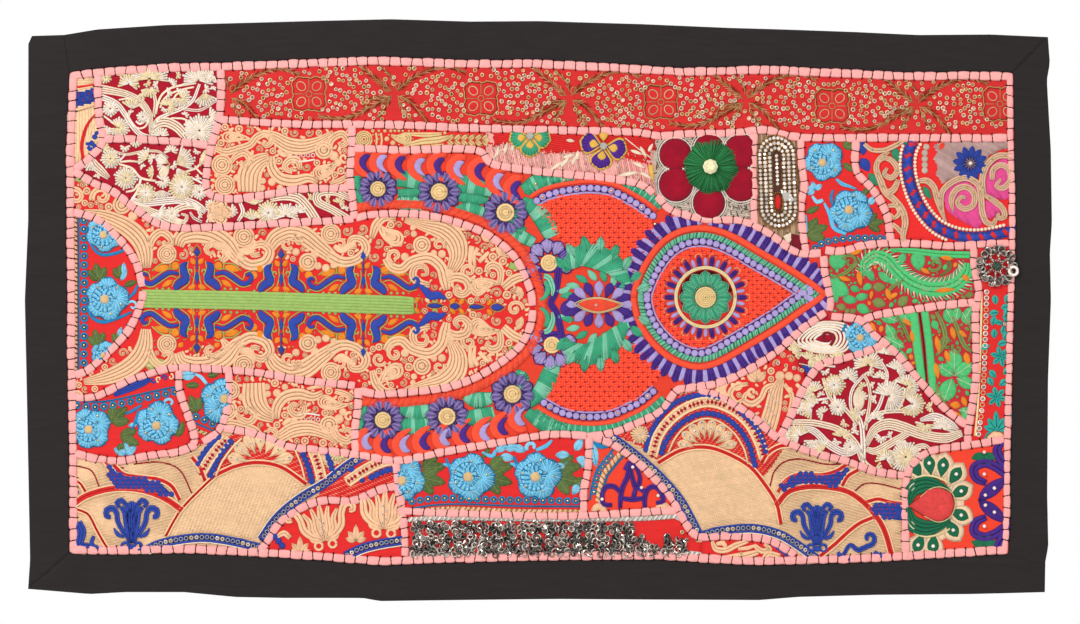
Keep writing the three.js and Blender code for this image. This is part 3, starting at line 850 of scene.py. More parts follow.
def cloth_material(name, colour, pitch=0.0009, slub=0.25, roughness=0.85, sheen=0.0):
    """Plain-woven cloth of one colour."""
    material, n, shader = surface(name, roughness, sheen=sheen)
    weave = n.add("ShaderNodeGroup", node_tree=PLAIN_WEAVE)
    weave.inputs["Pitch"].default_value = pitch
    weave.inputs["Slub"].default_value = slub
    n.link(shaded(n, colour, weave.outputs["Shade"]), shader.inputs["Base Color"])
    raised(n, shader, weave.outputs["Height"], WEAVE_DEPTH, 0.5)
    return material


STITCHING = thread_material("embroidery_thread")
BRAID = thread_material("braid_cotton", pitch=0.0011, slant=0.15, roughness=0.8, sheen=0.1, depth=0.00016)
SEWING_THREAD = thread_material("sewing_thread", pitch=0.0005, slant=0.8, roughness=0.6)


def bead_material(name, roughness, metallic, **sockets):
    """Glass or metal dyed by its own colours, a little cloudy."""
    material, n, shader = surface(name, roughness, metallic, **sockets)
    dyes = n.add("ShaderNodeAttribute", attribute_name="dye")
    shade = n.math("MULTIPLY_ADD", n.noise(600.0), 0.35, 0.82)
    n.link(shaded(n, dyes.outputs["Color"], shade), shader.inputs["Base Color"])
    return material


METAL_BEAD = bead_material("polished_metal", 0.25, 0.9)
SEQUIN = bead_material("sequin_film", 0.3, 0.25, Coat_Weight=0.3)
GLASS_BEAD = bead_material("glass_bead", 0.2, 0.0, Coat_Weight=0.5)
CRYSTAL = bead_material("crystal", 0.08, 0.35, Coat_Weight=0.8)


# Motifs


def circle(u, v, r, count=12, squash=1.0, turn=0.0):
    """Places round a circle or oval."""
    a = np.arange(count) * TAU / count
    x, y = r * np.cos(a), r * squash * np.sin(a)
    c, s = math.cos(math.radians(turn)), math.sin(math.radians(turn))
    return np.stack([u + x * c - y * s, v + x * s + y * c], 1)


def loop(outline):
    return np.vstack([outline, outline[:1]])


def toward(u, v, angle, r):
    """The place at some distance and direction, in degrees clockwise from the right."""
    return u + r * math.cos(math.radians(angle)), v + r * math.sin(math.radians(angle))


CURL_CLOSES = 0.78  # the share of its radius by which a curl winds in


def curl(u, v, r, start, sweep, wide=4.0, tip=2.0):
    """Places and widths of a spiral that winds in around a centre."""
    n = max(6, int(abs(sweep) / 28))
    t = np.linspace(0, 1, n)
    a = np.radians(start + sweep * t)
    reach = r * (1 - CURL_CLOSES * t**0.8)
    return np.stack([u + reach * np.cos(a), v + reach * np.sin(a), wide + (tip - wide) * t], 1)


BAND_STEP = 2.6  # millimetres between the points of a row of stitching


def band(work, points, count=1, colour=PEACH, high=1.0, lift=0.0, gap=0.0):
    """Rows of stitching along places with widths, with the cloth between them where there is a gap."""
    line = smooth(points, BAND_STEP)
    places, wide = line[:, :2], np.maximum(line[:, 2], 0.3)
    side = sides_of(places)
    for k in range(count):
        share = (k + 0.5) / count - 0.5
        work.stroke(places + side * (wide * share)[:, None], wide / count * 0.56 * (1 - gap), high, colour,
                    lift, section=PADDED if count == 1 else ROUND, vary=0.05)


def satin(work, points, colours, run=1, pitch=1.5, slant=0.0, high=0.7, lift=0.0):
    """Stitches lying across a band, in runs of each colour in turn."""
    line = smooth(points, 1.0)
    places, wide = line[:, :2], line[:, 2]
    s = lengths_along(places)
    side = sides_of(places)
    for i, at in enumerate(np.arange(pitch / 2, s[-1], pitch)):
        k = min(int(np.searchsorted(s, at)), len(s) - 1)
        ahead = np.array([-side[k, 1], side[k, 0]])
        reach = side[k] * wide[k] / 2 + ahead * slant * wide[k] / 2
        ends = np.array([places[k] - reach, places[k] + ahead * 0.1, places[k] + reach])
        if wide[k] > 0.8:
            work.stroke(ends, pitch * 0.7, high, colours[i // run % len(colours)], lift, vary=0.08)


def fan(work, u, v, r0, r1, start, sweep, colours, count, wide=(0.5, 1.2), high=0.7, lift=0.0, wave=0.0,
        waves=0):
    """Straight stitches that spread from a centre."""
    for i in range(count):
        share = (i + 0.5) / count
        a = start + sweep * share
        far = r1 * (1 + wave * math.cos(TAU * waves * share)) * draw.uniform(0.95, 1.03)
        ends = np.array([toward(u, v, a, r0), toward(u, v, a, (r0 + far) / 2), toward(u, v, a, far)])
        half = np.array([wide[0], (wide[0] + wide[1]) / 2, wide[1]])
        work.stroke(ends, half, high, colours[i % len(colours)], lift)


def ball(work, u, v, r, colour=PEACH, high=1.1, lift=0.0):
    """A small padded disc, or a large one wound from its middle."""
    if r < 5.5:
        work.pad(circle(u, v, r, 8 if r < 2.5 else 14), (u, v), high, colour, lift)
        return
    rows = round(r / 2.6)
    for k in range(rows):
        ring = r * (k + 0.7) / rows
        work.stroke(loop(circle(u, v, ring, 18)), r / rows * 0.52, high, colour, lift)
    work.pad(circle(u, v, r / rows * 0.6, 8), (u, v), high, colour, lift)


def leaf_outline(length, wide, full=0.45):
    t = np.linspace(0, 1, 8)
    half = wide / 2 * np.sin(math.pi * t ** (math.log(0.5) / math.log(full))) ** 0.8
    upper = np.stack([t * length, -half], 1)
    lower = np.stack([t * length, half], 1)
    return np.vstack([upper, lower[-2:0:-1]])


def leaf(work, place, length, wide, colour=OLIVE, vein=MOSS, ribs=3, high=0.9, full=0.45, lift=0.0):
    """A leaf that springs from its place along its turn, with raised ribs."""
    work.pad(place(leaf_outline(length, wide, full)), place((length * full, 0)), high, colour, lift)
    if vein is None:
        return
    work.stroke(smooth(place([(0, 0), (length * 0.5, 0), (length * 0.9, 0)])), 0.45, 0.5, vein,
                lift + high * 0.75)
    for k in range(ribs):
        at = length * (0.22 + 0.5 * k / max(1, ribs - 1))
        reach = wide * 0.33
        for way in (-1, 1):
            ends = place([(at, 0), (at + reach * 0.8, way * reach)])
            work.stroke(ends, 0.32, 0.4, vein, lift + high * 0.6)


def paisley(work, u, v, length, wide, turn, rows=3, colour=PEACH, flip=False, hook=0.35):
    """A drop with a bent tip, worked in rows from its edge inwards."""
    t = np.linspace(0, TAU, 22, endpoint=False)
    x = np.cos(t)
    half = np.sin(t) * (0.62 + 0.38 * -x) * (1 - 0.25 * x)
    bend = hook * np.maximum(0, x) ** 2
    shape = np.stack([x * length / 2, (half * 0.5 + bend) * wide], 1)
    place = Place(u, v, turn, 1.0, flip)
    middle = np.array([-length * 0.14, 0.0])
    for k in range(rows):
        share = 1 - (k + 0.45) / (rows + 0.35)
        work.stroke(loop(place(middle + (shape - middle) * share)), wide / (rows + 0.5) / 3.4, 1.0, colour)
    ball(work, *place(middle), wide * 0.5 / (rows + 0.5), colour)


def daisy(work, u, v, r, petals, colour, streaks, rim=None, core=GOLD, core_r=None, start=0.0, sweep=360.0,
          long=0.62, high=1.0):
    """Padded petals round a stitched centre."""
    core_r = core_r or r * 0.38
    step = sweep / petals
    if sweep == 360:
        # A dark copy of the petal colour under the petals: painted shade where it shows between them
        work.pad(circle(u, v, r * 0.84, 20), (u, v), 0.4, colour * 0.45)
    for i in range(petals):
        a = start + step * (i + 0.5)
        foot = toward(u, v, a, r * (1 - long))
        wide = 2 * r * 0.8 * math.tan(math.radians(min(step, 50) / 2)) * 1.12
        place = Place(*foot, a)
        if not work.inside(place([(r * long * 0.55, 0)]))[0]:
            continue
        shape = leaf_outline(r * long, wide, 0.6)
        if rim is not None:
            work.stroke(loop(place(shape)), 0.5, 0.95, rim, 0.25)
        middle = np.array([r * long * 0.5, 0])
        work.pad(place(middle + (shape - middle) * 0.93), place((r * long * 0.55, 0)), high, colour)
        for k, streak in enumerate(streaks):
            shift = (k - (len(streaks) - 1) / 2) * wide * 0.24
            work.stroke(place([(r * long * 0.25, shift * 0.5), (r * long * 0.85, shift)]), 0.45, 0.4,
                        streak, high * 0.85)
    if core is not None:
        for k in range(3):
            ring = core_r * (0.9 - 0.33 * k)
            work.stroke(loop(circle(u, v, ring, 14)), core_r * 0.19, 0.8, core, 0.9 + 0.2 * k, vary=0.15)
        ball(work, u, v, core_r * 0.3, core, 1.2, 0.9)


ROSE_LIGHTS = (PALE_SKY, SKY)
# Each petal's direction, how far out its middle is and its size, as shares of the rose
ROSE_PETALS = [(200, 0.5, 0.5), (140, 0.48, 0.52), (70, 0.5, 0.5), (10, 0.46, 0.54), (-75, 0.4, 0.62)]


def rose(work, u, v, r, start=0.0):
    """A rose of overlapping petals, each a fan of light and darker stitches with a dark edge."""
    # A dark blue pad under the petals: painted shade where it shows between them
    work.pad(circle(u, v, r * 0.72, 18), (u, v), 0.4, SEA * 0.7)
    for k, (turn, far, size) in enumerate(ROSE_PETALS):
        a = start + turn
        cu, cv = toward(u, v, a, r * far)
        lift = 0.12 * k
        fan(work, cu, cv, 0, r * size * 1.02, a - 125, 250, (SEA * 0.75,), 17, (1.0, 2.1), 0.5, lift)
        fan(work, cu, cv, 0, r * size * 0.93, a - 125, 250, ROSE_LIGHTS, 23, (0.4, 1.15), 0.8, lift + 0.15,
            wave=0.05, waves=5)
    bud_u, bud_v = toward(u, v, start + 110, r * 0.12)
    fan(work, bud_u, bud_v, 0, r * 0.5, 0, 360, ROSE_LIGHTS, 26, (0.4, 1.2), 0.7, 0.65)
    for k in range(4):
        reach = r * (0.52 - 0.11 * k)
        a = start + 95 + 38 * k
        arc = smooth([toward(bud_u, bud_v, a + w, reach) for w in range(-110, 111, 27)], 1.6)
        satin(work, broad(arc, r * 0.13), (ROSE_LIGHTS[k % 2], PALE_SKY, SEA), 1, 1.5, 0.2, 0.8,
              0.9 + 0.1 * k)
        work.stroke(offset(arc, r * 0.075), 0.42, 0.5, SEA * 0.5, 1.1 + 0.1 * k)
    work.pad(circle(bud_u, bud_v, r * 0.19, 12), (bud_u, bud_v), 1.3, GOLD, 1.5)
    work.stroke(loop(circle(bud_u, bud_v, r * 0.19, 10)), 0.5, 0.7, PEACH, 1.6)


def rope(work, points, wide, colours, pitch=2.0):
    """A twisted cord laid along a line."""
    line = smooth(points, 2.0)
    satin(work, broad(line, wide), colours, 1, pitch, 0.7, 1.0)


def offset(line, by):
    line = np.asarray(line, float)
    return line + sides_of(line) * by


def broad(line, wide):
    """A line's places, each with the width of what is worked there."""
    return np.column_stack([line, np.broadcast_to(wide, len(line))])


def leaves(work, spots, *finish, **more):
    """Leaves of one finish, each by its foot, turn, length and width."""
    for u, v, turn, long, wide in spots:
        leaf(work, Place(u, v, turn), long, wide, *finish, **more)


def bands(work, courses, *finish, **more):
    """Bands of one finish, each by its number of rows and its places with widths."""
    for count, points in courses:
        band(work, points, count, *finish, **more)


def balls(work, spots, *finish):
    """Balls of one finish, each by its middle and radius."""
    for u, v, r in spots:
        ball(work, u, v, r, *finish)


def basket(work, inside, box, pitch, high):
    """Short orange stitches laid two by two, crosswise in turn, over a shape."""
    left, top, right, bottom = box
    for i, v in enumerate(np.arange(top, bottom, pitch)):
        for j, u in enumerate(np.arange(left, right, pitch)):
            if not inside(u, v):
                continue
            for k in (-0.26, 0.26):
                d = k * pitch
                ends = ([(u - pitch * 0.46, v + d), (u + pitch * 0.46, v + d)] if (i + j) % 2
                        else [(u + d, v - pitch * 0.46), (u + d, v + pitch * 0.46)])
                work.stroke(np.array(ends), pitch * 0.25, high * draw.uniform(0.85, 1.1), ORANGE * 1.3,
                            -0.3, vary=0.07)
            if (i + j) % 2:
                mark = [(u + pitch * 0.24, v + pitch * 0.5), (u + pitch * 0.76, v + pitch * 0.5)]
                work.stroke(np.array(mark), 0.9, 0.7, BRICK * 0.8, 0.4, vary=0.2)


def sprig(work, u, v, r, start, sweep, count=9, colours=(WHITE, CREAM), lift=0.0):
    """A flower head in looped stitches that fan out."""
    count = max(count, round(r * math.radians(sweep) / 2.8))
    half = min(1.8, r * math.radians(sweep) / count * 0.48)
    fan(work, u, v, r * 0.12, r, start, sweep, colours, count, (0.42, half), 0.9, lift, wave=0.1,
        waves=count // 3)
    for i in range(count):
        a = start + sweep * (i + 0.5) / count
        ball(work, *toward(u, v, a, r * (1.0 + 0.1 * math.cos(i * 2.1))), half, colours[i % len(colours)],
             0.9, lift)


def stamp(kind):
    """One small hard ornament, its face towards the front, as points and faces of one mesh."""
    bpy.ops.object.select_all(action="DESELECT")
    if kind == "cup":
        bpy.ops.mesh.primitive_cylinder_add(vertices=10, radius=1.0, depth=0.28, end_fill_type="NGON")
        bpy.ops.object.mode_set(mode="EDIT")
        select_top(bpy.context.object)
        for thick, sink in ((0.2, 0.12), (0.3, -0.4)):
            bpy.ops.mesh.inset(thickness=thick)
            bpy.ops.transform.translate(value=(0, 0, sink))
        bpy.ops.object.mode_set(mode="OBJECT")
    elif kind == "bead":
        bpy.ops.mesh.primitive_uv_sphere_add(segments=7, ring_count=5, radius=1.0)
    else:
        bpy.ops.mesh.primitive_cylinder_add(vertices=8, radius=1.0, depth=0.9, end_fill_type="NGON")
        bpy.ops.object.mode_set(mode="EDIT")
        select_top(bpy.context.object)
        bpy.ops.mesh.inset(thickness=0.4)
        bpy.ops.transform.translate(value=(0, 0, 0.35))
        bpy.ops.object.mode_set(mode="OBJECT")
    made = bpy.context.object
    bpy.ops.object.mode_set(mode="EDIT")
    bpy.ops.mesh.select_all(action="SELECT")
    bpy.ops.mesh.quads_convert_to_tris()
    bpy.ops.object.mode_set(mode="OBJECT")
    mesh = made.data
    points = np.empty(len(mesh.vertices) * 3)
    mesh.vertices.foreach_get("co", points)
    faces = np.empty(len(mesh.polygons) * 3, np.int64)
    mesh.polygons.foreach_get("vertices", faces)
    points, faces = points.reshape(-1, 3), faces.reshape(-1, 3)
    bpy.data.objects.remove(made)
    return points, faces


def select_top(made):
    bpy.ops.mesh.select_mode(type="FACE")
    bpy.ops.mesh.select_all(action="DESELECT")
    bpy.ops.object.mode_set(mode="OBJECT")
    for polygon in made.data.polygons:
        polygon.select = polygon.normal.z > 0.9
    bpy.ops.object.mode_set(mode="EDIT")


class Ornaments:
    """Many copies of one small ornament, joined as one piece."""

    def __init__(self, kind, anywhere=False):
        self.points, self.faces = stamp(kind)
        hole = (np.hypot(self.points[:, 0], self.points[:, 1]) < 0.6) & (kind == "cup")
        self.tone = np.where(hole[:, None], (0.4, 0.16, 0.12), 1.0)
        self.anywhere = anywhere
        self.places = []

    def add(self, u, v, r, lift=2.2, tilt=0.25, dye_of=WHITE):
        if not self.anywhere and braid_gap(u, v) < 3.6 + r:
            return
        self.places.append((u, v, r, lift, draw.uniform(-tilt, tilt), draw.uniform(-tilt, tilt), dye_of))

    def make(self, name, material, slot, *nodes):
        if not self.places:
            return
        points, faces, dyes = [], [], []
        n = len(self.points)
        for i, (u, v, r, lift, lean, nod, colour) in enumerate(self.places):
            x, y, z = (self.points * r).T
            z, x = z * math.cos(lean) - x * math.sin(lean), x * math.cos(lean) + z * math.sin(lean)
            z, y = z * math.cos(nod) - y * math.sin(nod), y * math.cos(nod) + z * math.sin(nod)
            here = on_cloth(u, v, lift)
            points.append(here + np.stack([x, -z, y], 1) * MM)
            faces.append(self.faces + i * n)
            dyes.append(np.asarray(colour) * draw.uniform(0.85, 1.1) * self.tone)
        points, faces = np.vstack(points), np.vstack(faces)
        piece = mesh_of(name, points, np.column_stack([faces, faces[:, 2]]), smooth_faces=False)
        paint(piece, np.vstack(dyes))
        piece.data.materials.append(material)
        finish_piece(piece, slot, *nodes)


# The braid


# Millimetres: half of the braid's width on the seams, at the edges and at the right edge, and
# the shortest and longest pad between two cross stitches
BRAID_HALF, BRAID_HALF_EDGE, BRAID_HALF_RIGHT = 4.1, 4.3, 3.4
PAD_LENGTHS = (9.3, 12.2)


def couched_braid():
    """Each run of braid as soft pads between its cross stitches, and the stitches."""
    stitches = Work(base=BRAID_BASE)
    for name, points in RUNS.items():
        line = smooth(points, 1.5)
        s = lengths_along(line)
        edge = name.startswith("braid_edge")
        trim = 0.5 if edge else 2.0
        wide = BRAID_HALF_RIGHT if name == "braid_edge_right" else BRAID_HALF_EDGE if edge else BRAID_HALF
        rings, marks = [], [trim]
        while marks[-1] < s[-1] - trim - 7:
            marks.append(marks[-1] + draw.uniform(*PAD_LENGTHS))
        marks[-1] = s[-1] - trim
        shares = np.array([0.02, 0.12, 0.3, 0.5, 0.7, 0.88, 0.98])
        bulge = np.sin(math.pi * shares) ** 0.55
        for a, b in zip(marks, marks[1:]):
            fat, sway, tall = draw.uniform(0.92, 1.1), draw.uniform(-0.35, 0.35), draw.uniform(0.9, 1.12)
            for t, k in zip(shares, bulge):
                rings.append((a + (b - a) * t, wide * fat * (0.8 + 0.2 * k), (0.9 + 1.05 * k) * tall,
                              sway * k))
        rings = np.array(rings)
        centre = places_at(line, rings[:, 0])
        centre += sides_of(centre) * rings[:, 3:]
        pads = Work(base=BRAID_BASE)
        pads.stroke(centre, rings[:, 1], rings[:, 2], PINK, section=PADDED, vary=0.03)
        finish_piece(pads.make(name + "_pads", BRAID), "braid", name)
        for mark in marks[1:-1]:
            at = places_at(line, mark)
            ahead = places_at(line, mark + 1) - at
            ahead /= max(float(np.linalg.norm(ahead)), 1e-9)
            side = np.array([ahead[1], -ahead[0]])
            tilt = draw.uniform(-1.3, 1.3)
            shares_across = np.array([-1.22, -0.9, 0, 0.9, 1.22])
            across = at + side * (shares_across * wide)[:, None] + ahead * (shares_across * tilt)[:, None]
            stitches.stroke(across, draw.uniform(0.5, 0.7), 0.6, STITCH, [0, 0.8, 1.2, 0.8, 0], vary=0.25)
    finish_piece(stitches.make("cross_stitches", SEWING_THREAD), "stitch_thread")


# The border


def border_grid(inner, outer, count, before=(), after=()):
    """Places of one side of the border, its stations along it and rows across it."""
    inside = evenly(np.array(from_frame(inner)), count)
    outside = evenly(np.array(from_frame(outer)), count)
    for ends, way in ((before, -1), (after, 1)):
        if not ends:
            continue
        (a, b), steps = ends, 10
        t = np.linspace(0, 1, steps + 1)[1:, None]
        at = -1 if way > 0 else 0
        more_in = inside[at] + (np.array(from_frame([a])[0]) - inside[at]) * t
        more_out = outside[at] + (np.array(from_frame([b])[0]) - outside[at]) * t
        if way > 0:
            inside, outside = np.vstack([inside, more_in]), np.vstack([outside, more_out])
        else:
            inside, outside = np.vstack([more_in[::-1], inside]), np.vstack([more_out[::-1], outside])
    rows = BORDER_ROWS[None, :, None]
    return inside[:, None] + (outside - inside)[:, None] * rows


BORDER_ROWS = np.array([0, 0.02, 0.05, 0.1, 0.2, 0.32, 0.44, 0.56, 0.68, 0.8, 0.88, 0.94, 0.975, 1.0])
# Half the thickness across it: turned-in edge, seam allowance, plain fold, rounded outer fold
BORDER_HALF = np.array([0.5, 0.95, 1.2, 1.25, 1.2, 1.15, 1.1, 1.1, 1.15, 1.2, 1.25, 1.2, 0.95, 0.45])


def grid_faces(wide, tall, columns_from=0):
    i, j = np.meshgrid(np.arange(wide - 1), np.arange(tall - 1), indexing="ij")
    a = (i * tall + j).ravel() + columns_from
    return np.stack([a, a + tall, a + tall + 1, a + 1], 1)


def closed_sheet(places, front, back):
    """Points and faces of a thin closed sheet over a grid of places."""
    wide, tall = places.shape[:2]
    u, v = places[..., 0], places[..., 1]
    points = np.vstack([on_cloth(u, v, front).reshape(-1, 3), on_cloth(u, v, back).reshape(-1, 3)])
    n = wide * tall
    faces = [grid_faces(wide, tall), grid_faces(wide, tall, n)[:, ::-1]]
    index = np.arange(n).reshape(wide, tall)
    rim = np.concatenate([index[:, 0], index[-1, 1:], index[-2::-1, -1], index[0, -2:0:-1]])
    after = np.roll(rim, -1)
    faces.append(np.stack([rim, rim + n, after + n, after], 1))
    return points, np.vstack(faces)


def puckers(places, size, depth, seed):
    """Small uneven hollows of a cloth that has been handled."""
    found = np.empty(places.shape[:2])
    for i, column in enumerate(places):
        for j, (u, v) in enumerate(column):
            found[i, j] = noise.noise(Vector((u / size, v / size, seed)))
    return found * depth


LEVEL_STATIONS, UPRIGHT_STATIONS = 170, 90


def border():
    cotton = cloth_material("black_cotton", BLACK_COTTON, pitch=0.0008, slub=0.5, roughness=0.92,
                            sheen=0.06)
    fold_corner = (OUTER_TOP[0], (-507, -15))
    square_end = ((506, -541.5), OUTER_BOTTOM[0])
    lap = tuple((x, y - 2.2) for x, y in (INNER_RIGHT[-1], OUTER_RIGHT[-1]))
    sides = {
        "border_top": border_grid(INNER_TOP, OUTER_TOP, LEVEL_STATIONS),
        "border_right": border_grid(INNER_RIGHT, OUTER_RIGHT, UPRIGHT_STATIONS, after=lap),
        "border_bottom": border_grid(
            INNER_BOTTOM, [(469, -572)] + OUTER_BOTTOM[1:], LEVEL_STATIONS, before=square_end),
        "border_left": border_grid(INNER_LEFT, OUTER_LEFT, UPRIGHT_STATIONS, after=fold_corner),
    }
    for k, (name, places) in enumerate(sides.items()):
        soft = puckers(places, 42, 0.9, 3.0 + k) + puckers(places * (1, 2.2), 14, 0.35, 9.0 + k)
        held = np.sin(math.pi * np.clip(BORDER_ROWS * 1.1, 0, 1))[None, :]
        front = BORDER_HALF[None, :] + 0.05 + soft * held
        points, faces = closed_sheet(places, front, -BORDER_HALF[None, :] + soft * held)
        piece = mesh_of(name + "_cloth", points, faces)
        piece.data.materials.append(cotton)
        finish_piece(piece, "black_cotton", name)


# The foundation and the patches' grounds


FOUNDATION_GRID = (84, 44)
FOUNDATION_SPREAD = 1.0025  # its edge is caught about a millimetre under the border's


def foundation():
    """The sheet behind the patches, seen from the back."""
    calico = cloth_material("backing_cotton", dye("3A3535"), pitch=0.001, slub=0.4, roughness=0.95)
    left, right = (np.array(from_frame(p)) for p in (INNER_LEFT, INNER_RIGHT))
    top, bottom = (np.array(from_frame(p)) for p in (INNER_TOP, INNER_BOTTOM))
    wide, tall = FOUNDATION_GRID
    tops, bottoms = evenly(top, wide), evenly(bottom, wide)[::-1]
    lefts, rights = evenly(left, tall)[::-1], evenly(right, tall)
    u, v = np.linspace(0, 1, wide)[:, None, None], np.linspace(0, 1, tall)[None, :, None]
    upright = tops[:, None] * (1 - v) + bottoms[:, None] * v
    level = lefts[None] * (1 - u) + rights[None] * u
    corners = (tops[0] * (1 - v) + bottoms[0] * v) * (1 - u) + (tops[-1] * (1 - v) + bottoms[-1] * v) * u
    places = upright + level - corners
    # Rows run downwards here, so they are turned to run up as seen from the front.
    places = places[:, ::-1]
    middle = places[wide // 2, tall // 2]
    places = middle + (places - middle) * FOUNDATION_SPREAD
    soft = puckers(places, 55, 0.5, 5.0)
    points, faces = closed_sheet(places, np.full((wide, tall), FIELD_FACE - 0.3),
                                 -FIELD_FACE + np.minimum(soft, 0.4))
    piece = mesh_of("foundation_cloth", points, faces)
    piece.data.materials.append(calico)
    finish_piece(piece, "patchwork", "field")


BLOCK = 3  # cells to a side of a ground's face


def keep_inside(places):
    """Brings places beyond the field's edge back onto it."""
    edge = evenly(np.array(INNER + INNER[:1]), 2600)
    for i in np.flatnonzero(~within(INNER, places[:, 0], places[:, 1])):
        places[i] = edge[np.argmin(((edge - places[i]) ** 2).sum(1))]
    return places


def ground(name, material):
    """One patch's cloth: the blocks of cells that are inside it."""
    inside = CELLS.number == NUMBER[name]
    tall, wide = (n // BLOCK for n in inside.shape)
    middle = inside[BLOCK // 2 :: BLOCK, BLOCK // 2 :: BLOCK][:tall, :wide]
    rows, cols = np.nonzero(middle)
    size = CELLS.SIZE * BLOCK
    index = {}
    places, faces = [], []

    def corner(r, c):
        if (r, c) not in index:
            index[r, c] = len(places)
            places.append((CELLS.LEFT + c * size, CELLS.TOP + r * size))
        return index[r, c]

    here = set(zip(rows.tolist(), cols.tolist()))
    rim = []
    for r, c in sorted(here):
        a, b, d, e = corner(r + 1, c), corner(r + 1, c + 1), corner(r, c + 1), corner(r, c)
        faces.append((a, b, d, e))
        for (dr, dc), edge in (((1, 0), (a, b)), ((0, 1), (b, d)), ((-1, 0), (d, e)), ((0, -1), (e, a))):
            if (r + dr, c + dc) not in here:
                rim.append(edge)
    places, faces, rim = keep_inside(np.array(places)), np.array(faces), np.array(rim)
    n = len(places)
    soft = np.array([noise.noise(Vector((u / 23, v / 23, 1.7))) for u, v in places]) * 0.18
    points = np.vstack([
        on_cloth(places[:, 0], places[:, 1], GROUND_FACE + soft),
        on_cloth(places[:, 0], places[:, 1], GROUND_BACK - 0.2),
    ])
    sides = np.stack([rim[:, 0], rim[:, 0] + n, rim[:, 1] + n, rim[:, 1]], 1)
    piece = mesh_of("ground_" + name, points, np.vstack([faces, faces[:, ::-1] + n, sides]))
    piece.data.materials.append(material)
    finish_piece(piece, "patchwork")
    low, high = places.min(0), places.max(0)
    flat = [round(float(x) * MM, 3) for x in high - low]
    area = len(faces) * (size * MM) ** 2
    if area < 0.31 * flat[0] * flat[1]:
        flat = [round(math.sqrt(area * 1.6), 3)] * 2


GROUNDS = dict(
    corner_strip=SAND, ivory_upper=DEEP_RED, ivory_lower=DEEP_RED, satin=RED * 0.86, peach_upper=RED,
    gold_strip=RED, pansy=ROSE_PINK, velvet=SILVER_BEIGE, arch=CORAL * 0.88, beaded=DEEP_RED,
    rose_right=RED, scroll_blue=RED * 1.1, fern_upper=BRICK, fern_lower=BRICK, silver_strip=RED,
    tree=DEEP_RED, eye=DEEP_RED, fountain=RED, fan_right=SAND, fan_left=SAND, lotus=RED,
    rose_strip=RED, purple_scroll=CORAL, sequin_strip=RED, peach_bit=RED, blossom=CORAL,
    rose_small=RED, rose_left=RED, rose_arc=RED, peach_lower=RED, garden=RED,
)


def grounds():
    made = {}
    for name, colour in GROUNDS.items():
        key = tuple(np.round(colour, 4)) + (name == "satin",)
        if key not in made:
            shine = dict(roughness=0.5, sheen=0.0, slub=0.35) if name == "satin" else {}
            made[key] = cloth_material("ground_cloth_%d" % len(made), colour, **shine)
        ground(name, made[key])


# Embroidery, patch by patch

GOLD_BEADS = Ornaments("bead")
CUPS = Ornaments("cup")
PEARLS = Ornaments("bead")


def embroider(patch, fill):
    """Works one patch's stitching and makes it a piece."""
    work = Work(patch)
    fill(work)
    finish_piece(work.make("stitched_" + patch, STITCHING), "embroidery")


GARDEN_MIDDLE = 299.8


def axis(u):
    """The garden's middle line, which drops a little to the right."""
    return GARDEN_MIDDLE + (np.asarray(u) - 197) * 0.0254


def mirrored(points):
    p = np.array(points, float)
    p[..., 1] = 2 * axis(p[..., 0]) - p[..., 1]
    return p


GARDEN_BANDS = [
    (4, [(84, 212, 4), (105, 217, 10), (125, 226, 13), (139, 238, 14), (145, 252, 12), (146, 268, 7)]),
    (2, [(150, 248, 4), (153, 238, 6), (161, 232, 6), (169, 236, 6), (172, 243, 5), (166, 245, 4),
         (163, 241, 3)]),
    (4, [(178, 246, 8), (182, 237, 12), (195, 233, 14), (211, 235, 15), (226, 244, 14), (236, 256, 10),
         (243, 262, 8)]),
    (2, [(236, 256, 8), (250, 265, 8), (265, 262, 8), (270, 251, 7), (262, 244, 6), (252, 248, 4),
         (253, 255, 4), (260, 254, 4)]),
    (2, [(222, 262, 3), (227, 254, 7), (221, 247, 6), (212, 244, 5), (206, 249, 4), (210, 254, 3),
         (214, 251, 2)]),
    (1, [(240, 250, 3), (247, 251, 6), (253, 245, 5), (254, 240, 2)]),
    (4, [(269, 248, 9), (276, 238, 12), (290, 232, 13), (305, 236, 14), (319, 247, 12), (332, 257, 9)]),
    (2, [(328, 255, 9), (342, 262, 8), (356, 260, 7), (366, 250, 7), (362, 240, 6), (352, 239, 5),
         (350, 246, 4), (357, 247, 3)]),
    (1, [(334, 246, 3), (342, 250, 5), (351, 245, 4), (356, 243, 2)]),
    (5, [(405, 220, 4), (424, 225, 9), (443, 230, 15), (455, 241, 16), (458, 256, 13), (452, 270, 8)]),
    (2, [(386, 258, 6), (392, 267, 7), (402, 269, 7), (412, 261, 7), (429, 258, 8), (441, 267, 8),
         (445, 281, 8), (447, 290, 5)]),
    (2, [(430, 285, 4), (420, 283, 6), (413, 276, 6), (416, 267, 5), (425, 267, 4), (427, 274, 3),
         (421, 275, 2)]),
    (2, [(447, 281, 5), (456, 277, 7), (466, 280, 7), (469, 289, 6), (462, 295, 5), (455, 291, 4),
         (459, 285, 3)]),
    (1, [(471, 270, 2), (470, 258, 3), (472, 246, 4)]),
    (1, [(475, 268, 2), (474, 256, 3), (478, 248, 3)]),
    (2, [(503, 288, 6), (513, 280, 7), (523, 277, 6), (531, 282, 3)]),
    (2, [(499, 285, 5), (501, 276, 5), (499, 268, 6), (492, 265, 6), (487, 269, 4), (490, 273, 3)]),
    (1, [(479, 262, 3), (485, 256, 3), (489, 252, 2)]),
    (2, [(372, 238, 4), (376, 226, 7), (384, 218, 6), (396, 219, 4)]),
]
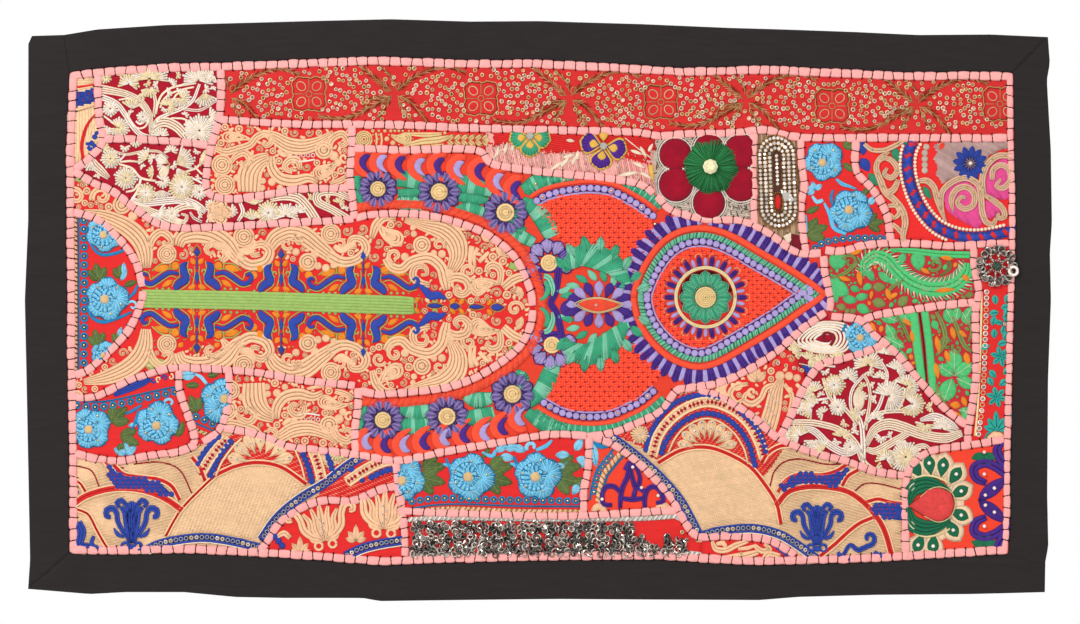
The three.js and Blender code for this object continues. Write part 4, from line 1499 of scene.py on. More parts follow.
GARDEN_BALLS = [
    (167, 254, 9.6), (244, 237, 10.5), (308, 262, 8.8), (296, 252, 4), (315, 254, 4.5), (318, 266, 4),
    (326, 268, 4.2),
    (334, 265, 3.8), (331, 234, 10), (422, 245, 8.7), (414, 234, 3.4), (434, 253, 3.4), (442, 254, 4.2),
    (405, 257, 4.4), (450, 273, 5), (122, 205, 9), (133, 216, 5), (413, 228, 3), (400, 244, 3),
]
GARDEN_CURLS = [
    (102, 197, 10, 160, 400, 5), (76, 197, 9, 200, 380, 5), (287, 244, 6, 30, 380, 3.5),
    (298, 241, 5.5, 200, 360, 3.5),
    (341, 244, 5, 220, 330, 3.5), (439, 245, 6.5, 30, -380, 4), (469, 271, 7, 150, 400, 4),
    (395, 256, 8, 100, 380, 4),
]


def garden_blue(work, u, arms, low):
    """One blue, orange and lime motif that stands on the spine."""
    flip = mirrored if low else np.array
    for way in (-1, 1):
        def at(points):
            p = np.array(points, float)
            p[..., 0] = u + p[..., 0] * way
            p[..., 1] += axis(u) - GARDEN_MIDDLE
            return flip(p)

        band(work, at([(9.5, 262, 0.8), (14, 266, 6), (12.5, 273, 7), (11, 279, 7.5), (17, 283, 7),
                       (21, 288, 5), (22, 290, 1)]),
             1, ROYAL, 1.3, 0.35)
        band(work, at([(8.6, 261, 0.9), (9.5, 268, 0.9), (7.5, 275, 0.9), (8, 283, 0.9), (15, 289, 0.9),
                       (21, 292, 0.9)]), 1, LIME, 0.8)
        band(work, at([(16.5, 264, 0.9), (17.6, 271, 0.9), (17.5, 277, 0.9), (22.5, 281, 0.9),
                       (24.8, 287, 0.9)]), 1, LIME, 0.8)
        band(work, at(curl(6.2, 271.5, 3.6, 90, -330, 1.5, 1.1)), 1, LIME, 0.9)
        band(work, at([(2.6, 266, 0.8), (2, 275, 1), (4, 284, 1), (3, 291, 0.8)]), 1, LIME, 0.8)
        leaf(work, lambda q: at(Place(1.2, 264.5, -50)(q)), 8.5, 5.5, TANGERINE, None)
        leaf(work, lambda q: at(Place(1.0, 285, 25)(q)), 9.5, 5, TANGERINE, None)
        leaf(work, lambda q: at(Place(3.0, 291, -5)(q)), 5, 3, TANGERINE, None)
        ball(work, *at([(21.5, 266)])[0], 4.4, TANGERINE)
        band(work, at([(17.6, 261, 1), (23, 259.5, 1.1), (27, 264, 1.1), (26, 269, 1)]), 1, LIME, 0.8)
        for k in (28, 34, 40) if arms else (27,):
            ball(work, *at([(k, 289)])[0], 1.7, LIME, 0.8)
        if arms:
            band(work, at([(18, 274, 2.2), (27, 272.5, 3.8), (36, 277.5, 4.2), (45, 283.5, 4.2),
                           (52, 282, 4.2), (55, 277, 3.8),
                           (52.5, 273.5, 3), (49.5, 276, 1.8)]), 1, ROYAL, 1.3, 0.35)
            band(work, at([(20, 277.5, 0.9), (27, 276, 0.9), (35, 281, 0.9), (45, 287, 0.9),
                           (54, 285, 0.9)]), 1, LIME, 0.8)
            band(work, at([(22, 269.5, 0.9), (29, 269, 0.9), (38, 274, 0.9), (46, 279.5, 0.9),
                           (48, 273, 0.9), (54, 271, 0.9)]),
                 1, LIME, 0.8)
            leaf(work, lambda q: at(Place(27, 266.5, 14)(q)), 17, 7.5, TANGERINE, None)
            leaf(work, lambda q: at(Place(24, 280, 32)(q)), 13.5, 5.5, TANGERINE, None)
            band(work, at([(26, 263.5, 1), (36, 264, 1.1), (45, 271, 1)]), 1, LIME, 0.8)
        else:
            ball(work, *at([(27.5, 273)])[0], 4.2, TANGERINE)

    def mid(points):
        p = np.array(points, float)
        p[:, :2] += (u, axis(u) - GARDEN_MIDDLE)
        return flip(p)

    work.pad(mid([(0, 246.5), (-3.3, 252.5), (0, 256.5), (3.3, 252.5)]), None, 1.3, ROYAL, 0.35)
    work.stroke(loop(mid([(0, 244.8), (-3.2, 248.5), (-4.2, 252.8), (0, 258), (4.2, 252.8), (3.2, 248.5)])),
                0.5, 0.8, LIME)
    band(work, mid([(0, 257, 1), (0, 262, 1.3), (0, 269, 1)]), 1, ROYAL, 1.1, 0.5)
    band(work, mid([(0, 272, 1.2), (0, 277, 4.2), (0, 281, 2), (0, 284, 0.8)]), 1, ROYAL, 1.2, 0.4)


def garden(work):
    for count, points in GARDEN_BANDS:
        wider = np.array(points, float) * (1, 1, 1.42)
        band(work, wider, count + (count > 1), gap=0.05)
        band(work, mirrored(wider), count + (count > 1), gap=0.05)
    for u, v, r in GARDEN_BALLS:
        ball(work, u, v, r)
        ball(work, *mirrored([(u, v)])[0], r)
    for u, v, r, start, sweep, wide in GARDEN_CURLS:
        line = curl(u, v, r * 1.05, start, sweep, wide * 1.25, wide * 0.8)
        band(work, line, 2)
        band(work, mirrored(line), 2)
    for low in (False, True):
        way = -1 if low else 1
        drop = mirrored([(388, 235)])[0] if low else (388, 235)
        paisley(work, *drop, 34, 20, 205 * way, 3, flip=low)
        drop = mirrored([(484, 284)])[0] if low else (484, 284)
        paisley(work, *drop, 32, 22, -28 * way, 4, flip=low)
        for u, v, r, a in ((465, 231, 9, -100), (484, 241, 13, -55), (497, 254, 13, -40),
                           (516, 294, 8, -20)):
            if low:
                u, v = mirrored([(u, v)])[0]
            fan(work, u, v, r * 0.1, r, (a - 62) * way, 124 * way, (PEACH,), 8, (0.7, 1.6), 0.9)
            fan(work, u, v, 0, r * 0.5, (a - 70) * way, 140 * way, (PEACH,), 5, (0.6, 1.5), 0.8, 0.4)
        for u, centre_arms in ((197, True), (281.3, False), (363.4, True)):
            garden_blue(work, u, centre_arms, low)
        lime = [[(510, 262), (519, 264), (521, 272), (513, 270), (508, 268)],
                [(308, 216), (316, 216), (313, 226), (310, 226)], [(162, 213), (170, 216), (166, 221)],
                [(76, 169), (84, 173), (92, 181), (80, 183), (74, 180)]]
        for shape in lime:
            work.pad(mirrored(shape) if low else shape, None, 0.7, LIME, -0.1)
        leaf_at = [(419, 285, 3), (425, 290, 6), (431, 296, 7.5), (438, 295, 7), (446, 299, 2)]
        band(work, mirrored(leaf_at) if low else leaf_at, 1, ROYAL, 1.3, 0.3)
    work.pad([(141, 362), (150, 357), (163, 359), (170, 365), (150, 372)], None, 0.7, LIME, -0.1)
    for k in range(6):
        v = 292.2 + 3.05 * k
        line = [(142, v - 1.2, 2.9), (240, v + 0.6, 3.0), (330, v + 3.2, 3.0), (404, v + 5.6, 2.8),
                (414, v + 6.5 - (k - 2.5) * 0.7, 2.2)]
        band(work, line, 1, LIME, 1.2)
    work.stroke(smooth([(404, 297.5), (413, 299), (417, 306), (413, 313), (404, 314)]), 0.8, 1.2, LIME, 0.3)
    for u, way in ((418, 1), (446, -1), (463, 1), (491, 1)):
        for side in (-1, 1):
            leaf(work, Place(u - 4 * way, axis(u) + 2 * side, 48 * side), 8.5, 4.5, TANGERINE, None)
            work.stroke(smooth([(u - 5, axis(u) + 7 * side), (u + 2, axis(u) + 7.5 * side),
                                (u + 5, axis(u) + 2 * side)]), 0.5, 0.8, LIME)
    for u, long, wide in ((430, 16, 4.5), (453, 10, 6), (472, 15, 4.5), (494, 13, 7)):
        leaf(work, Place(u - 3, axis(u), 0), long, wide, ROYAL, None, high=1.3, lift=0.3)
        work.stroke(loop(Place(u - 4, axis(u), 0)(leaf_outline(long + 2.5, wide + 2))), 0.45, 0.8, LIME)
    for side in (-5.5, 5.5):
        ball(work, 435, axis(435) + side, 3, LIME, 0.8)
        ball(work, 435, axis(435) + side, 1.2, RED, 1.1)

    def bud(u, v, r):
        turn = draw.uniform(0, 360)
        place = Place(u, v, turn)
        if r > 1.7:
            leaf(work, Place(*place((-r, 0)), turn), r * 2.1, r * 1.6, TANGERINE, None)
        else:
            work.stroke(place([(-r, 0), (0, r * 0.4), (r, 0)]), 0.5, 0.8, LIME)

    work.fill_gaps(bud, 0.9, 3.4, 1500, (142, 262, 424, 350), 0.1)
    for box in ((60, 130, 520, 262), (60, 345, 520, 450), (424, 130, 540, 450)):
        work.fill_gaps(lambda u, v, r: peach_filler(work, u, v, r * 1.1), 0.9, 9.5, 8000, box, 0.03)


def peach_filler(work, u, v, r):
    """A curl, a ringed ball or a plain ball, by the size of the gap."""
    if r > 4.2:
        band(work, curl(u, v, r * 0.86, draw.uniform(0, 360), 430 if draw.random() < 0.5 else -430,
                        r * 0.42, r * 0.3), 2)
        ball(work, u, v, r * 0.24)
    elif r > 2.4:
        work.stroke(loop(circle(u, v, r * 0.82, 12)), r * 0.28, 0.9, PEACH)
        ball(work, u, v, r * 0.5)
    else:
        place = Place(u, v, draw.uniform(0, 360))
        band(work, broad(place([(-r * 1.2, 0), (0, r * 0.4), (r * 1.2, 0)]), (r * 1.1, r * 1.5, r * 0.9)))


def peach_piece(work, place):
    """Scrolls, paisleys and a row of rings on one peach patch."""
    def put(points):
        p = np.asarray(points, float)
        return np.column_stack([place(p[:, :2]), p[:, 2:]])

    for count, points in (
        (4, [(262, 132, 4), (274, 137, 9), (288, 145, 12), (304, 147, 12), (320, 142, 9), (334, 133, 5)]),
        (5, [(270, 157, 8), (258, 163, 14), (250, 174, 19), (249, 192, 17)]),
        (2, [(271, 156, 6), (272, 168, 8), (280, 178, 9), (294, 181, 9), (308, 178, 7), (318, 182, 5)]),
        (2, [(300, 170, 3), (298, 161, 6), (290, 160, 6), (285, 166, 5), (289, 171, 4), (293, 168, 3)]),
        (2, [(214, 148, 4), (226, 152, 6), (238, 149, 6), (250, 145, 6), (257, 137, 6), (266, 134, 6),
             (272, 141, 5), (266, 146, 4), (262, 142, 2.5)]),
        (2, [(230, 164, 3), (236, 156, 5), (245, 153, 6), (250, 160, 6), (244, 166, 5), (240, 161, 3)]),
        (2, [(328, 149, 6), (332, 139, 6), (342, 134, 6), (348, 141, 5), (342, 146, 4), (339, 142, 2.5)]),
        (1, [(278, 150, 3), (284, 155, 4), (290, 152, 3)]),
        (2, [(330, 184, 4), (340, 181, 5), (348, 176, 4)]),
        (1, [(302, 186, 2), (320, 190, 4), (338, 189, 3)]),
    ):
        band(work, put(points) * (1, 1, 1.32), count + (count > 1), gap=0.05)
    for u, v, r in ((222, 165, 10.5), (225, 185, 10), (324, 150, 9), (334, 156, 5), (263, 181, 3.4),
                    (272, 182, 4.2), (262, 188, 3.6),
                    (280, 188, 3.5), (237, 178, 4), (217, 175, 3), (338, 163, 4)):
        ball(work, *place((u, v)), r)
    for u, v, r, start, sweep in ((288, 153, 4, 0, 320), (344, 158, 5, 60, 360), (216, 136, 5, 200, -340)):
        band(work, put(curl(u, v, r, start, sweep, 3, 2)))
    middle, tip = place([(237, 137), (250, 137)])
    paisley(work, *middle, 32, 14, math.degrees(math.atan2(*(tip - middle)[::-1])), 3, hook=0.2)
    middle, tip = place([(328, 170), (341, 165)])
    paisley(work, *middle, 33, 18, math.degrees(math.atan2(*(tip - middle)[::-1])), 4, hook=-0.4)
    band(work, put([(290, 159.5, 1.6), (302, 161.5, 1.6), (315, 159.5, 1.6)]), 1, WHITE)
    for k in range(5):
        u, v = place((293.5 + 4.9 * k, 155.3))
        work.stroke(loop(circle(u, v, 1.8, 9)), 0.65, 0.9, WHITE)
    work.fill_gaps(lambda u, v, r: peach_filler(work, u, v, r * 1.1), 0.9, 8.5, 5600, None, 0.03)


def corner_strip(work):
    work.fill([(60, 78), (108, 76), (108, 84), (60, 87)], 0, 1.6, 0.5, SAND)
    work.stroke(smooth([(66, 88.5), (80, 87), (100, 83.5)]), 1.1, 0.8, RED)
    work.stroke(smooth([(66, 91), (80, 89.6), (100, 86)]), 0.5, 0.7, SAND)
    work.fill([(60, 93.5), (80, 91.5), (101, 88), (101, 101), (80, 106.5), (60, 111.5)], 0, 1.8, 0.4,
              ROYAL * 0.9)
    for u, v in ((73, 98), (79, 94.7), (84, 100.5), (89.5, 94), (95, 99), (68, 104), (76, 103.5),
                 (73, 91.5), (93, 91)):
        for k in range(5):
            ball(work, *toward(u, v, 72 * k + 20, 2.1), 1.45, ROYAL, 0.9)
        ball(work, u, v, 0.8, RED, 1.1)
    work.stroke(smooth([(66, 112.5), (80, 109), (98, 103.5)]), 1.3, 0.8, SAND)
    work.stroke(smooth([(66, 115), (80, 111.5), (98, 106)]), 0.7, 0.8, OLD_GOLD)
    for k in range(14):
        u = 66 + 3.0 * k
        work.stroke(smooth([(u, 116 - k), (u + 0.5, 140), (u - 1, 172)], 7), 1.8, 0.6, SAND)
    band(work, [(98, 112, 1), (90, 121, 2.4), (85.5, 130, 3.2), (82, 146, 3.6), (84, 162, 3)], 2, RED, 0.9,
         0.5)
    work.stroke(smooth([(100, 118), (93, 126), (88.5, 140), (88, 160)]), 1.0, 0.7, SAND, 0.4)
    balls(work, (
        (90, 148, 3.2), (94, 146, 2.8), (92, 143, 2.6), (88, 144, 2.2), (95, 137, 2.8), (97, 133, 2.2),
    ), ROYAL, 0.9, 0.5)
    work.stroke([(90.5, 146), (93, 147.5)], 0.6, 0.5, SAND, 1.3)


IVORY_UPPER = [
    (4, [(101, 89, 8), (126, 94, 6.5), (141, 102, 6), (149.5, 114, 5), (151, 127, 4), (151, 137, 3)]),
    (3, [(101, 97, 6), (116, 103, 5), (125, 114, 5), (131, 124, 5), (140, 134, 5), (149, 137, 4)]),
    (1, [(119, 100, 1.4), (130, 99, 1.6), (140, 105.5, 1.6), (147.5, 115.5, 1.6), (146.5, 125, 1.6),
         (140, 128.5, 1.5), (132, 124, 1.4), (126, 113, 1.2)]),
    (4, [(150, 132, 4), (157, 124, 8), (166, 122, 9), (177, 127, 9), (186, 137, 8), (190, 144, 6)]),
    (2, [(152, 130, 3), (157, 120, 3.5), (166, 115, 3.5), (182, 108.5, 3.5), (193, 100, 3.2),
         (199.5, 84, 2.6)]),
    (1, [(156, 114, 1.6), (158, 103, 1.8), (163, 93.5, 1.8), (174, 87, 1.8), (196, 83, 1.8)]),
    (1, [(160, 108, 1.4), (164, 99, 1.6), (172, 93, 1.6), (184, 89, 1.5), (194, 87, 1.4)]),
    (2, [(182, 108.5, 3), (200, 110, 3), (217, 100, 2.6)]),
    (2, [(153.5, 117, 3), (155.5, 101, 3.4), (151, 87, 3)]),
    (1, [(172, 103, 1.4), (176, 95, 1.6), (183, 91.5, 1.5), (190, 92, 1.2)]),
    (1, [(136, 121, 1.4), (140, 124, 1.8), (146, 121, 1.4)]),
    (1, [(171, 118, 1.4), (184, 119, 1.6), (195, 126, 1.6)]),
    (1, [(104, 116, 1.4), (112, 122, 1.6), (118, 127, 1.6)]),
]
IVORY_UPPER_HEADS = [
    (149.6, 79, 17, -190, 200, 15), (149.6, 88, 8, 10, 160, 7), (198.5, 80.5, 14, -200, 220, 13),
    (204, 93, 12, 20, 120, 9),
    (129, 84, 9, -200, 240, 9), (110.5, 108.8, 6.5, 0, 360, 11), (119.2, 128, 9, -150, 330, 8),
    (132, 109, 9.5, -150, 130, 8),
    (143, 117, 5, 0, 360, 8), (181, 98, 8.5, -120, 300, 11), (168, 106, 7.5, -170, 260, 9),
    (199.5, 130.5, 14, 0, 360, 16),
    (160.5, 136, 7.5, -180, 180, 7), (106, 78, 4.5, 0, 360, 6), (186, 128, 6.5, -100, 200, 7),
    (209, 117, 8, -90, 200, 8),
    (141, 93, 5.5, -40, 180, 6), (171, 84, 5, -120, 160, 6), (214, 75, 6, 60, 200, 7),
    (122, 76, 4, -180, 180, 5), (104, 132, 6, -120, 200, 6), (167, 93, 4, -100, 180, 5),
]
IVORY_LOWER = [
    (2, [(104, 142, 2), (112, 150, 2.4), (126, 154.5, 2.6), (143, 151.5, 2.6), (158, 151.5, 2.6),
         (168, 158, 2.4)]),
    (1, [(126, 154, 1.4), (120, 160, 1.6), (112, 163, 1.6)]),
    (4, [(92, 158, 4), (95, 165, 8), (101, 171, 8), (109, 178, 4)]),
    (1, [(119, 164, 1.6), (132, 168.5, 2), (141, 178, 2), (156, 181, 1.8)]),
    (1, [(141, 178, 2), (138, 190, 2), (131, 201, 2)]),
    (1, [(120, 162, 1.5), (130, 161, 1.8), (140, 162, 1.5)]),
    (1, [(126, 192, 1.5), (134, 190, 1.8), (138, 184, 1.5)]),
    (1, [(181, 176, 1.6), (192, 178, 1.8), (203, 184, 1.6), (209, 190, 1.4)]),
    (1, [(185, 172, 1.6), (196, 168, 1.8), (203, 160, 1.5), (206, 152, 1.4)]),
    (1, [(196, 168, 1.5), (202, 174, 1.6), (206, 172, 1.4)]),
    (3, [(131, 199, 4), (143, 203, 6.5), (160, 201.5, 7), (180, 200, 7), (195, 204, 6.5), (206, 212, 5)]),
    (4, [(133, 202, 3), (146, 210, 7), (158, 217, 12), (171, 223, 12), (186, 225, 8)]),
    (3, [(202, 210, 5), (193, 206, 6), (182, 207, 6), (173, 213, 6), (175, 221, 5), (184, 222, 4),
         (187, 216, 3), (181, 214, 2)]),
    (1, [(190, 212, 2), (194, 218, 3), (202, 222, 3)]),
    (3, [(270, 199, 6), (284, 196, 8), (298, 198, 9), (308, 208, 9), (317, 222, 9)]),
    (3, [(352, 199, 6), (335, 192, 7), (319, 193, 8), (318, 202, 8), (333, 210, 7), (352, 222, 8)]),
    (1, [(240, 203, 3), (243, 212, 4), (238, 221, 3)]),
]
IVORY_LOWER_HEADS = [
    (111, 158.7, 8.5, 0, 360, 12), (103, 151, 7, -200, 200, 8), (92, 161, 9, 60, 170, 8),
    (126, 178, 10, 0, 360, 14),
    (146, 193, 8.5, 0, 360, 12), (161.5, 190, 8.5, 20, 140, 9), (163, 181, 6, -150, 330, 8),
    (182, 187, 12, 0, 360, 18),
    (182, 187, 6, 0, 360, 9), (176, 164, 17, -75, 95, 11), (177, 168, 12, 20, 80, 8),
    (199.5, 192, 6.5, 0, 360, 8),
    (148, 158, 9, 140, 140, 7), (154, 172, 6, 100, 160, 6), (158, 212, 8, -60, 220, 9),
    (172, 214, 6, 0, 360, 8),
    (268.5, 213, 10.5, 0, 360, 15), (286, 216, 11, -200, 220, 11), (254, 205, 9, -160, 140, 7),
    (252, 220, 9, -160, 140, 8),
    (298, 213, 7, -180, 180, 7), (136, 140, 6, 0, 180, 7), (200, 157, 7, -60, 160, 6),
]


def ivory(bands, heads):
    """Cream and white chain stitch: stems in rows, and flower heads that fan out."""
    def fill(work):
        for k, (count, points) in enumerate(bands):
            thick = max(w for _, _, w in points) * 1.15
            rows = [(u, v, w * 1.15) for u, v, w in points]
            band(work, rows, max(count, round(thick / 2.3)), (CREAM, WHITE, CREAM)[k % 3], 0.8,
                 gap=0.2 if thick > 3 else 0)
        tones = ((WHITE, CREAM), (STRAW, CREAM), (WHITE, WHITE, CREAM))
        for k, (u, v, r, start, sweep, count) in enumerate(heads):
            sprig(work, u, v, r * 1.04, start, sweep, count, tones[k % 3], 0.3)
            if r > 8:
                sprig(work, u, v, r * 0.58, start, sweep, count, tones[(k + 1) % 3], 0.8)
        work.fill_gaps(lambda u, v,
                       r: sprig(work, u, v, r, draw.uniform(0, 360), 240, 5, tones[int(r * 7) % 3]), 2.5,
                       5.6)
    return fill


def ivory_lower(work):
    ivory(IVORY_LOWER, IVORY_LOWER_HEADS)(work)
    for angle in (200, 218, 135, 118):
        leaf(work, Place(170, 164, angle), 16, 6.5, WHITE if angle > 150 else CREAM, STRAW, 0, 0.9, 0.65,
             0.4)
    for k in range(5):
        ball(work, *toward(219, 212, 72 * k, 7), 6, PEACH, 1.0, 0.2)
    ball(work, 219, 212, 4.5, PEACH, 1.3, 0.5)


def gold_strip(work):
    for k in range(4):
        work.stroke(loop(circle(364, 139.5, 8 - 2 * k, 16)), 1.0, 0.8, GOLD)
    for u in (376, 381):
        band(work, [(u, 133, 2), (u + 1, 140, 2), (u, 147, 2)], 1, GOLD)
    paisley(work, 401, 139, 22, 15, 175, 3, GOLD)
    for points in ([(404, 146, 3), (420, 142, 6), (438, 140, 7), (450, 137, 4)],
                   [(408, 134, 3), (426, 135, 5), (442, 134, 3)],
                   [(414, 147, 2), (428, 147, 4), (444, 145, 3)]):
        band(work, points, 2, GOLD, 0.9)
    for u in range(447, 490, 7):
        for side in (-1, 1):
            leaf(work, Place(u, 140.5, 38 * side), 10, 5, GOLD, OLD_GOLD, 2)
    leaf(work, Place(481, 141, 0), 11, 7, GOLD, OLD_GOLD, 2)
    work.fill_gaps(lambda u, v, r: ball(work, u, v, r, GOLD), 0.8, 2.6, 700)


def pansy(work, u, v, r, colour, angles):
    """A three- or four-petalled flower: yellow edge, coloured petal and yellow heart."""
    for a in angles:
        place = Place(u, v, a)
        shape = leaf_outline(r, r * 0.98, 0.62)
        middle = (r * 0.6, 0)
        work.pad(place(shape), place(middle), 0.9, STRAW * (1, 0.72, 0.25), 0.9)
        work.pad(place(middle + (shape - middle) * 0.84), place(middle), 1.0, colour, 1.2)
        work.pad(place((r * 0.42, 0) + (shape - middle) * (0.42, 0.36)), place((r * 0.42, 0)), 0.8,
                 STRAW * (1, 0.72, 0.25), 1.9)
        fan(work, *place((r * 0.1, 0)), r * 0.55, r * 0.8, a - 34, 68, (colour * 0.75,), 6, (0.3, 0.4), 0.4,
            2.1)
    for k in range(3):
        for at in circle(u, v, 1.4 * k, 1 + 5 * k):
            ball(work, *at, 1.0, SILVER, 0.9, 1.9)


def pansies(work):
    work.fill([(488, 148), (520, 140), (545, 154), (600, 150), (655, 166), (660, 200), (600, 190),
               (540, 182), (486, 182)],
              78, 1.9, 0.6, ROSE_PINK, 0, 0.28, 3.2)
    for _ in range(900):
        u, v = draw.uniform(488, 660), draw.uniform(142, 200)
        a = draw.uniform(50, 110)
        if v > 150 - (u < 520) * 8:
            work.stroke(np.array([(u, v), toward(u, v, a, 1.3), toward(u, v, a, 2.6)]), 0.42, 0.3,
                        (CREAM, RED * 0.7, CREAM, SILVER_BEIGE)[draw.randrange(4)], 0.45)
    work.fill([(486, 126), (660, 126), (668, 200), (648, 182), (600, 152), (545, 154), (520, 141),
               (488, 148)], 8, 2.1, 0.5, RED)
    for u, v, turn, long in ((497, 157, -82, 12), (504, 155, -75, 14), (512, 152, -80, 10),
                             (548, 172, -35, 20), (560, 168, -50, 16),
                             (572, 166, -70, 12), (562, 158, -15, 14), (577, 160, -85, 10),
                             (566, 140, 8, 9), (630, 150, 20, 14),
                             (640, 146, 62, 14), (632, 162, 25, 15), (648, 152, -60, 10),
                             (618, 176, -10, 22), (640, 172, 30, 14)):
        leaf(work, Place(u, v, turn), long, 3.6, CREAM, None, lift=0.5)
    for points in ([(494, 160), (498, 152), (508, 148)], [(545, 176), (560, 165), (580, 158)],
                   [(606, 182), (630, 172), (652, 178)], [(625, 138), (640, 150), (654, 160)]):
        work.stroke(smooth(points), 0.7, 0.7, CREAM, 0.5)
    pansy(work, 530, 136, 22, EMERALD, (12, 90, 168))
    pansy(work, 603.5, 146, 25, PURPLE * (1.3, 0.9, 1.1), (12, 100, 192, 270))
    band(work, [(654, 160, 2), (651, 168, 5), (653, 180, 2)], 1, STRAW * (1, 0.7, 0.25))
    band(work, [(656, 160, 2), (655, 169, 4), (656, 180, 2)], 1, EMERALD, 1.2)


def leaf_group(work, u, v, turn, size=15, spread=42, count=3):
    """Green leaves that spread from one foot."""
    for k in range(count):
        angle = turn + (k - (count - 1) / 2) * spread
        leaf(work, Place(u, v, angle), size * (1.0 if k == count // 2 else 0.85), size * 0.48,
             OLIVE * draw.uniform(0.8, 1.15), MOSS, 3)


def chained_rings(work, points, pitch, r, line_at=None):
    """A row of stitched rings, each with a bead on a dark pad, and at most one line beside them."""
    middles = spaced(smooth(points, 1.0), pitch)
    for u, v in middles:
        work.stroke(loop(circle(u, v, r * 0.74, 10)), r * 0.3, 0.9, SEA)
    for u, v in middles:
        GOLD_BEADS.add(u, v, 1.35, 2.6, 0.2, GOLD)
        work.pad(circle(u, v, 1.9, 8), (u, v), 0.5, MAROON)
    if line_at is not None:
        band(work, [(u, v, 2.0) for u, v in smooth(line_at, 12)], 2, SEA, 0.9)


def rose_beads(u, v, r, angles):
    for a in angles:
        GOLD_BEADS.add(*toward(u, v, a, r), 1.3, 3.4, 0.2, GOLD)


def rose_arc(work):
    rope(work, [(72.5, 214), (73, 290), (72.5, 372)], 3.6, (GOLD, MAROON, GOLD), 1.5)
    rope(work, [(76, 214), (76.3, 290), (76, 372)], 2.4, (GOLD, GOLD, MAROON), 1.5)
    chained_rings(work, [(84, 216), (84.6, 290), (84, 372)], 8.9, 4.0,
                  [(78.6, 214), (79, 290), (78.6, 372)])
    rose(work, 105, 233, 19, 20)
    rose(work, 107.5, 299, 22, 70)
    rose(work, 104, 354, 13, 10)
    rose_beads(104, 234, 13, (100, 30, -150))
    rose_beads(107, 299, 15, (-130, -50, 20, 75))
    leaf_group(work, 99, 281, -100, 19, 36)
    leaf_group(work, 119, 279, -100, 15, 30, 2)
    leaf_group(work, 124, 286, -20, 14, 30, 1)
    leaf_group(work, 99, 346, -105, 18, 36)
    leaf_group(work, 117, 344, -95, 14, 30, 2)
    for u, v, turn in ((121, 281, -65), (123, 276, -85), (126, 330, -50), (118, 340, -75)):
        leaf(work, Place(u, v, turn), 14, 6, PALE_SKY, SKY, 2)
    for points in ([(89, 240, 2), (95, 250, 3), (104, 255, 3), (120, 252, 3), (128, 246, 2)],
                   [(87, 305, 2), (92, 317, 3), (103, 322, 3.5), (118, 318, 3), (132, 312, 2)]):
        band(work, points, 1, SEA, 1.0)
    band(work, curl(133, 306, 6, 200, 330, 2.6, 2), 1, PALE_SKY)
    band(work, [(127, 300, 1), (134, 293, 3), (138, 285, 2)], 1, SEA)


def rose_left(work):
    chained_rings(work, [(73, 405), (98, 407), (124, 403), (150, 397), (180, 391)], 9.0, 3.9,
                  [(72, 400), (98, 402), (124, 398), (150, 392), (180, 386)])
    band(work, [(114, 395, 4), (128, 388, 9), (142, 382, 9), (150, 378, 6)], 4, ROYAL, 0.9)
    for k in range(5):
        band(work, curl(153 + 6 * k, 380 - k, 3.4, 90 * k, 330, 1.7, 1.2), 1, (ROYAL, SAND)[k % 2])
    rose(work, 91, 428, 21, 40)
    rose(work, 157.5, 423, 22, 0)
    rose_beads(91, 428, 14, (-140, -60, 160, 60))
    rose_beads(157.5, 423, 15, (-110, -35, 30, 140))
    leaf_group(work, 111, 422, -42, 23, 38)
    leaf_group(work, 120, 436, 2, 22, 44, 2)
    for turn in (-150, -90, -40):
        leaf(work, Place(126, 455, turn), 14, 8, PALE_SKY, SKY, 3)
    leaf_group(work, 178, 437, -85, 17, 30, 2)
    leaf_group(work, 121, 443, 80, 13, 50, 2)
    band(work, [(132, 430, 2), (136, 421, 3.4), (139, 411, 2.4)], 1, SEA)
    band(work, [(126, 414, 2), (134, 410, 3), (142, 405, 2)], 1, SEA)
    band(work, curl(170, 403, 6, 180, 250, 2.8, 2.2), 1, PALE_SKY)
    leaf(work, Place(138, 424, 170), 10, 5, PALE_SKY, SKY, 2)


def rose_small(work):
    leaf(work, Place(196, 374, 175), 17, 12, PALE_SKY, SEA, 3)
    band(work, [(195, 374, 2), (201, 377, 3.4), (207, 384, 3)], 1, PALE_SKY)
    rose(work, 223, 401, 23, 200)
    rose_beads(223, 401, 16, (140, 200, 240))
    leaf_group(work, 200, 385, 178, 15, 30, 1)
    leaf_group(work, 207, 376, -10, 13, 30, 1)
    leaf_group(work, 197, 412, -112, 19, 34)
    chained_rings(work, [(192, 415), (205, 420), (219, 427)], 9, 3.9, [(193, 422), (205, 427), (218, 433)])
    rope(work, [(192, 428), (204, 433), (218, 438)], 3.4, (GOLD, MAROON, GOLD), 1.5)


def comma(work, u, v, colour, way):
    """A padded comma in an orange crescent, its head up or down."""
    points = np.array([(5, -7, 2), (0.5, -6, 6), (-2.5, -1, 6.5), (-0.5, 4.5, 4.5), (5, 9, 1)]) * (1, way,
                                                                                                   1)
    crescent = [(7, -11.5, 5), (-1, -12, 7), (-8.5, -5, 8), (-8.5, 3, 8), (-2, 10.5, 6), (6, 15, 2)]
    crescent = np.array(crescent) * (1, way, 1)
    band(work, crescent + (u, v, 0), 1, ORANGE, 1.1, 0.1)
    band(work, points + (u, v, 0), 1, colour, 1.2, 0.3)


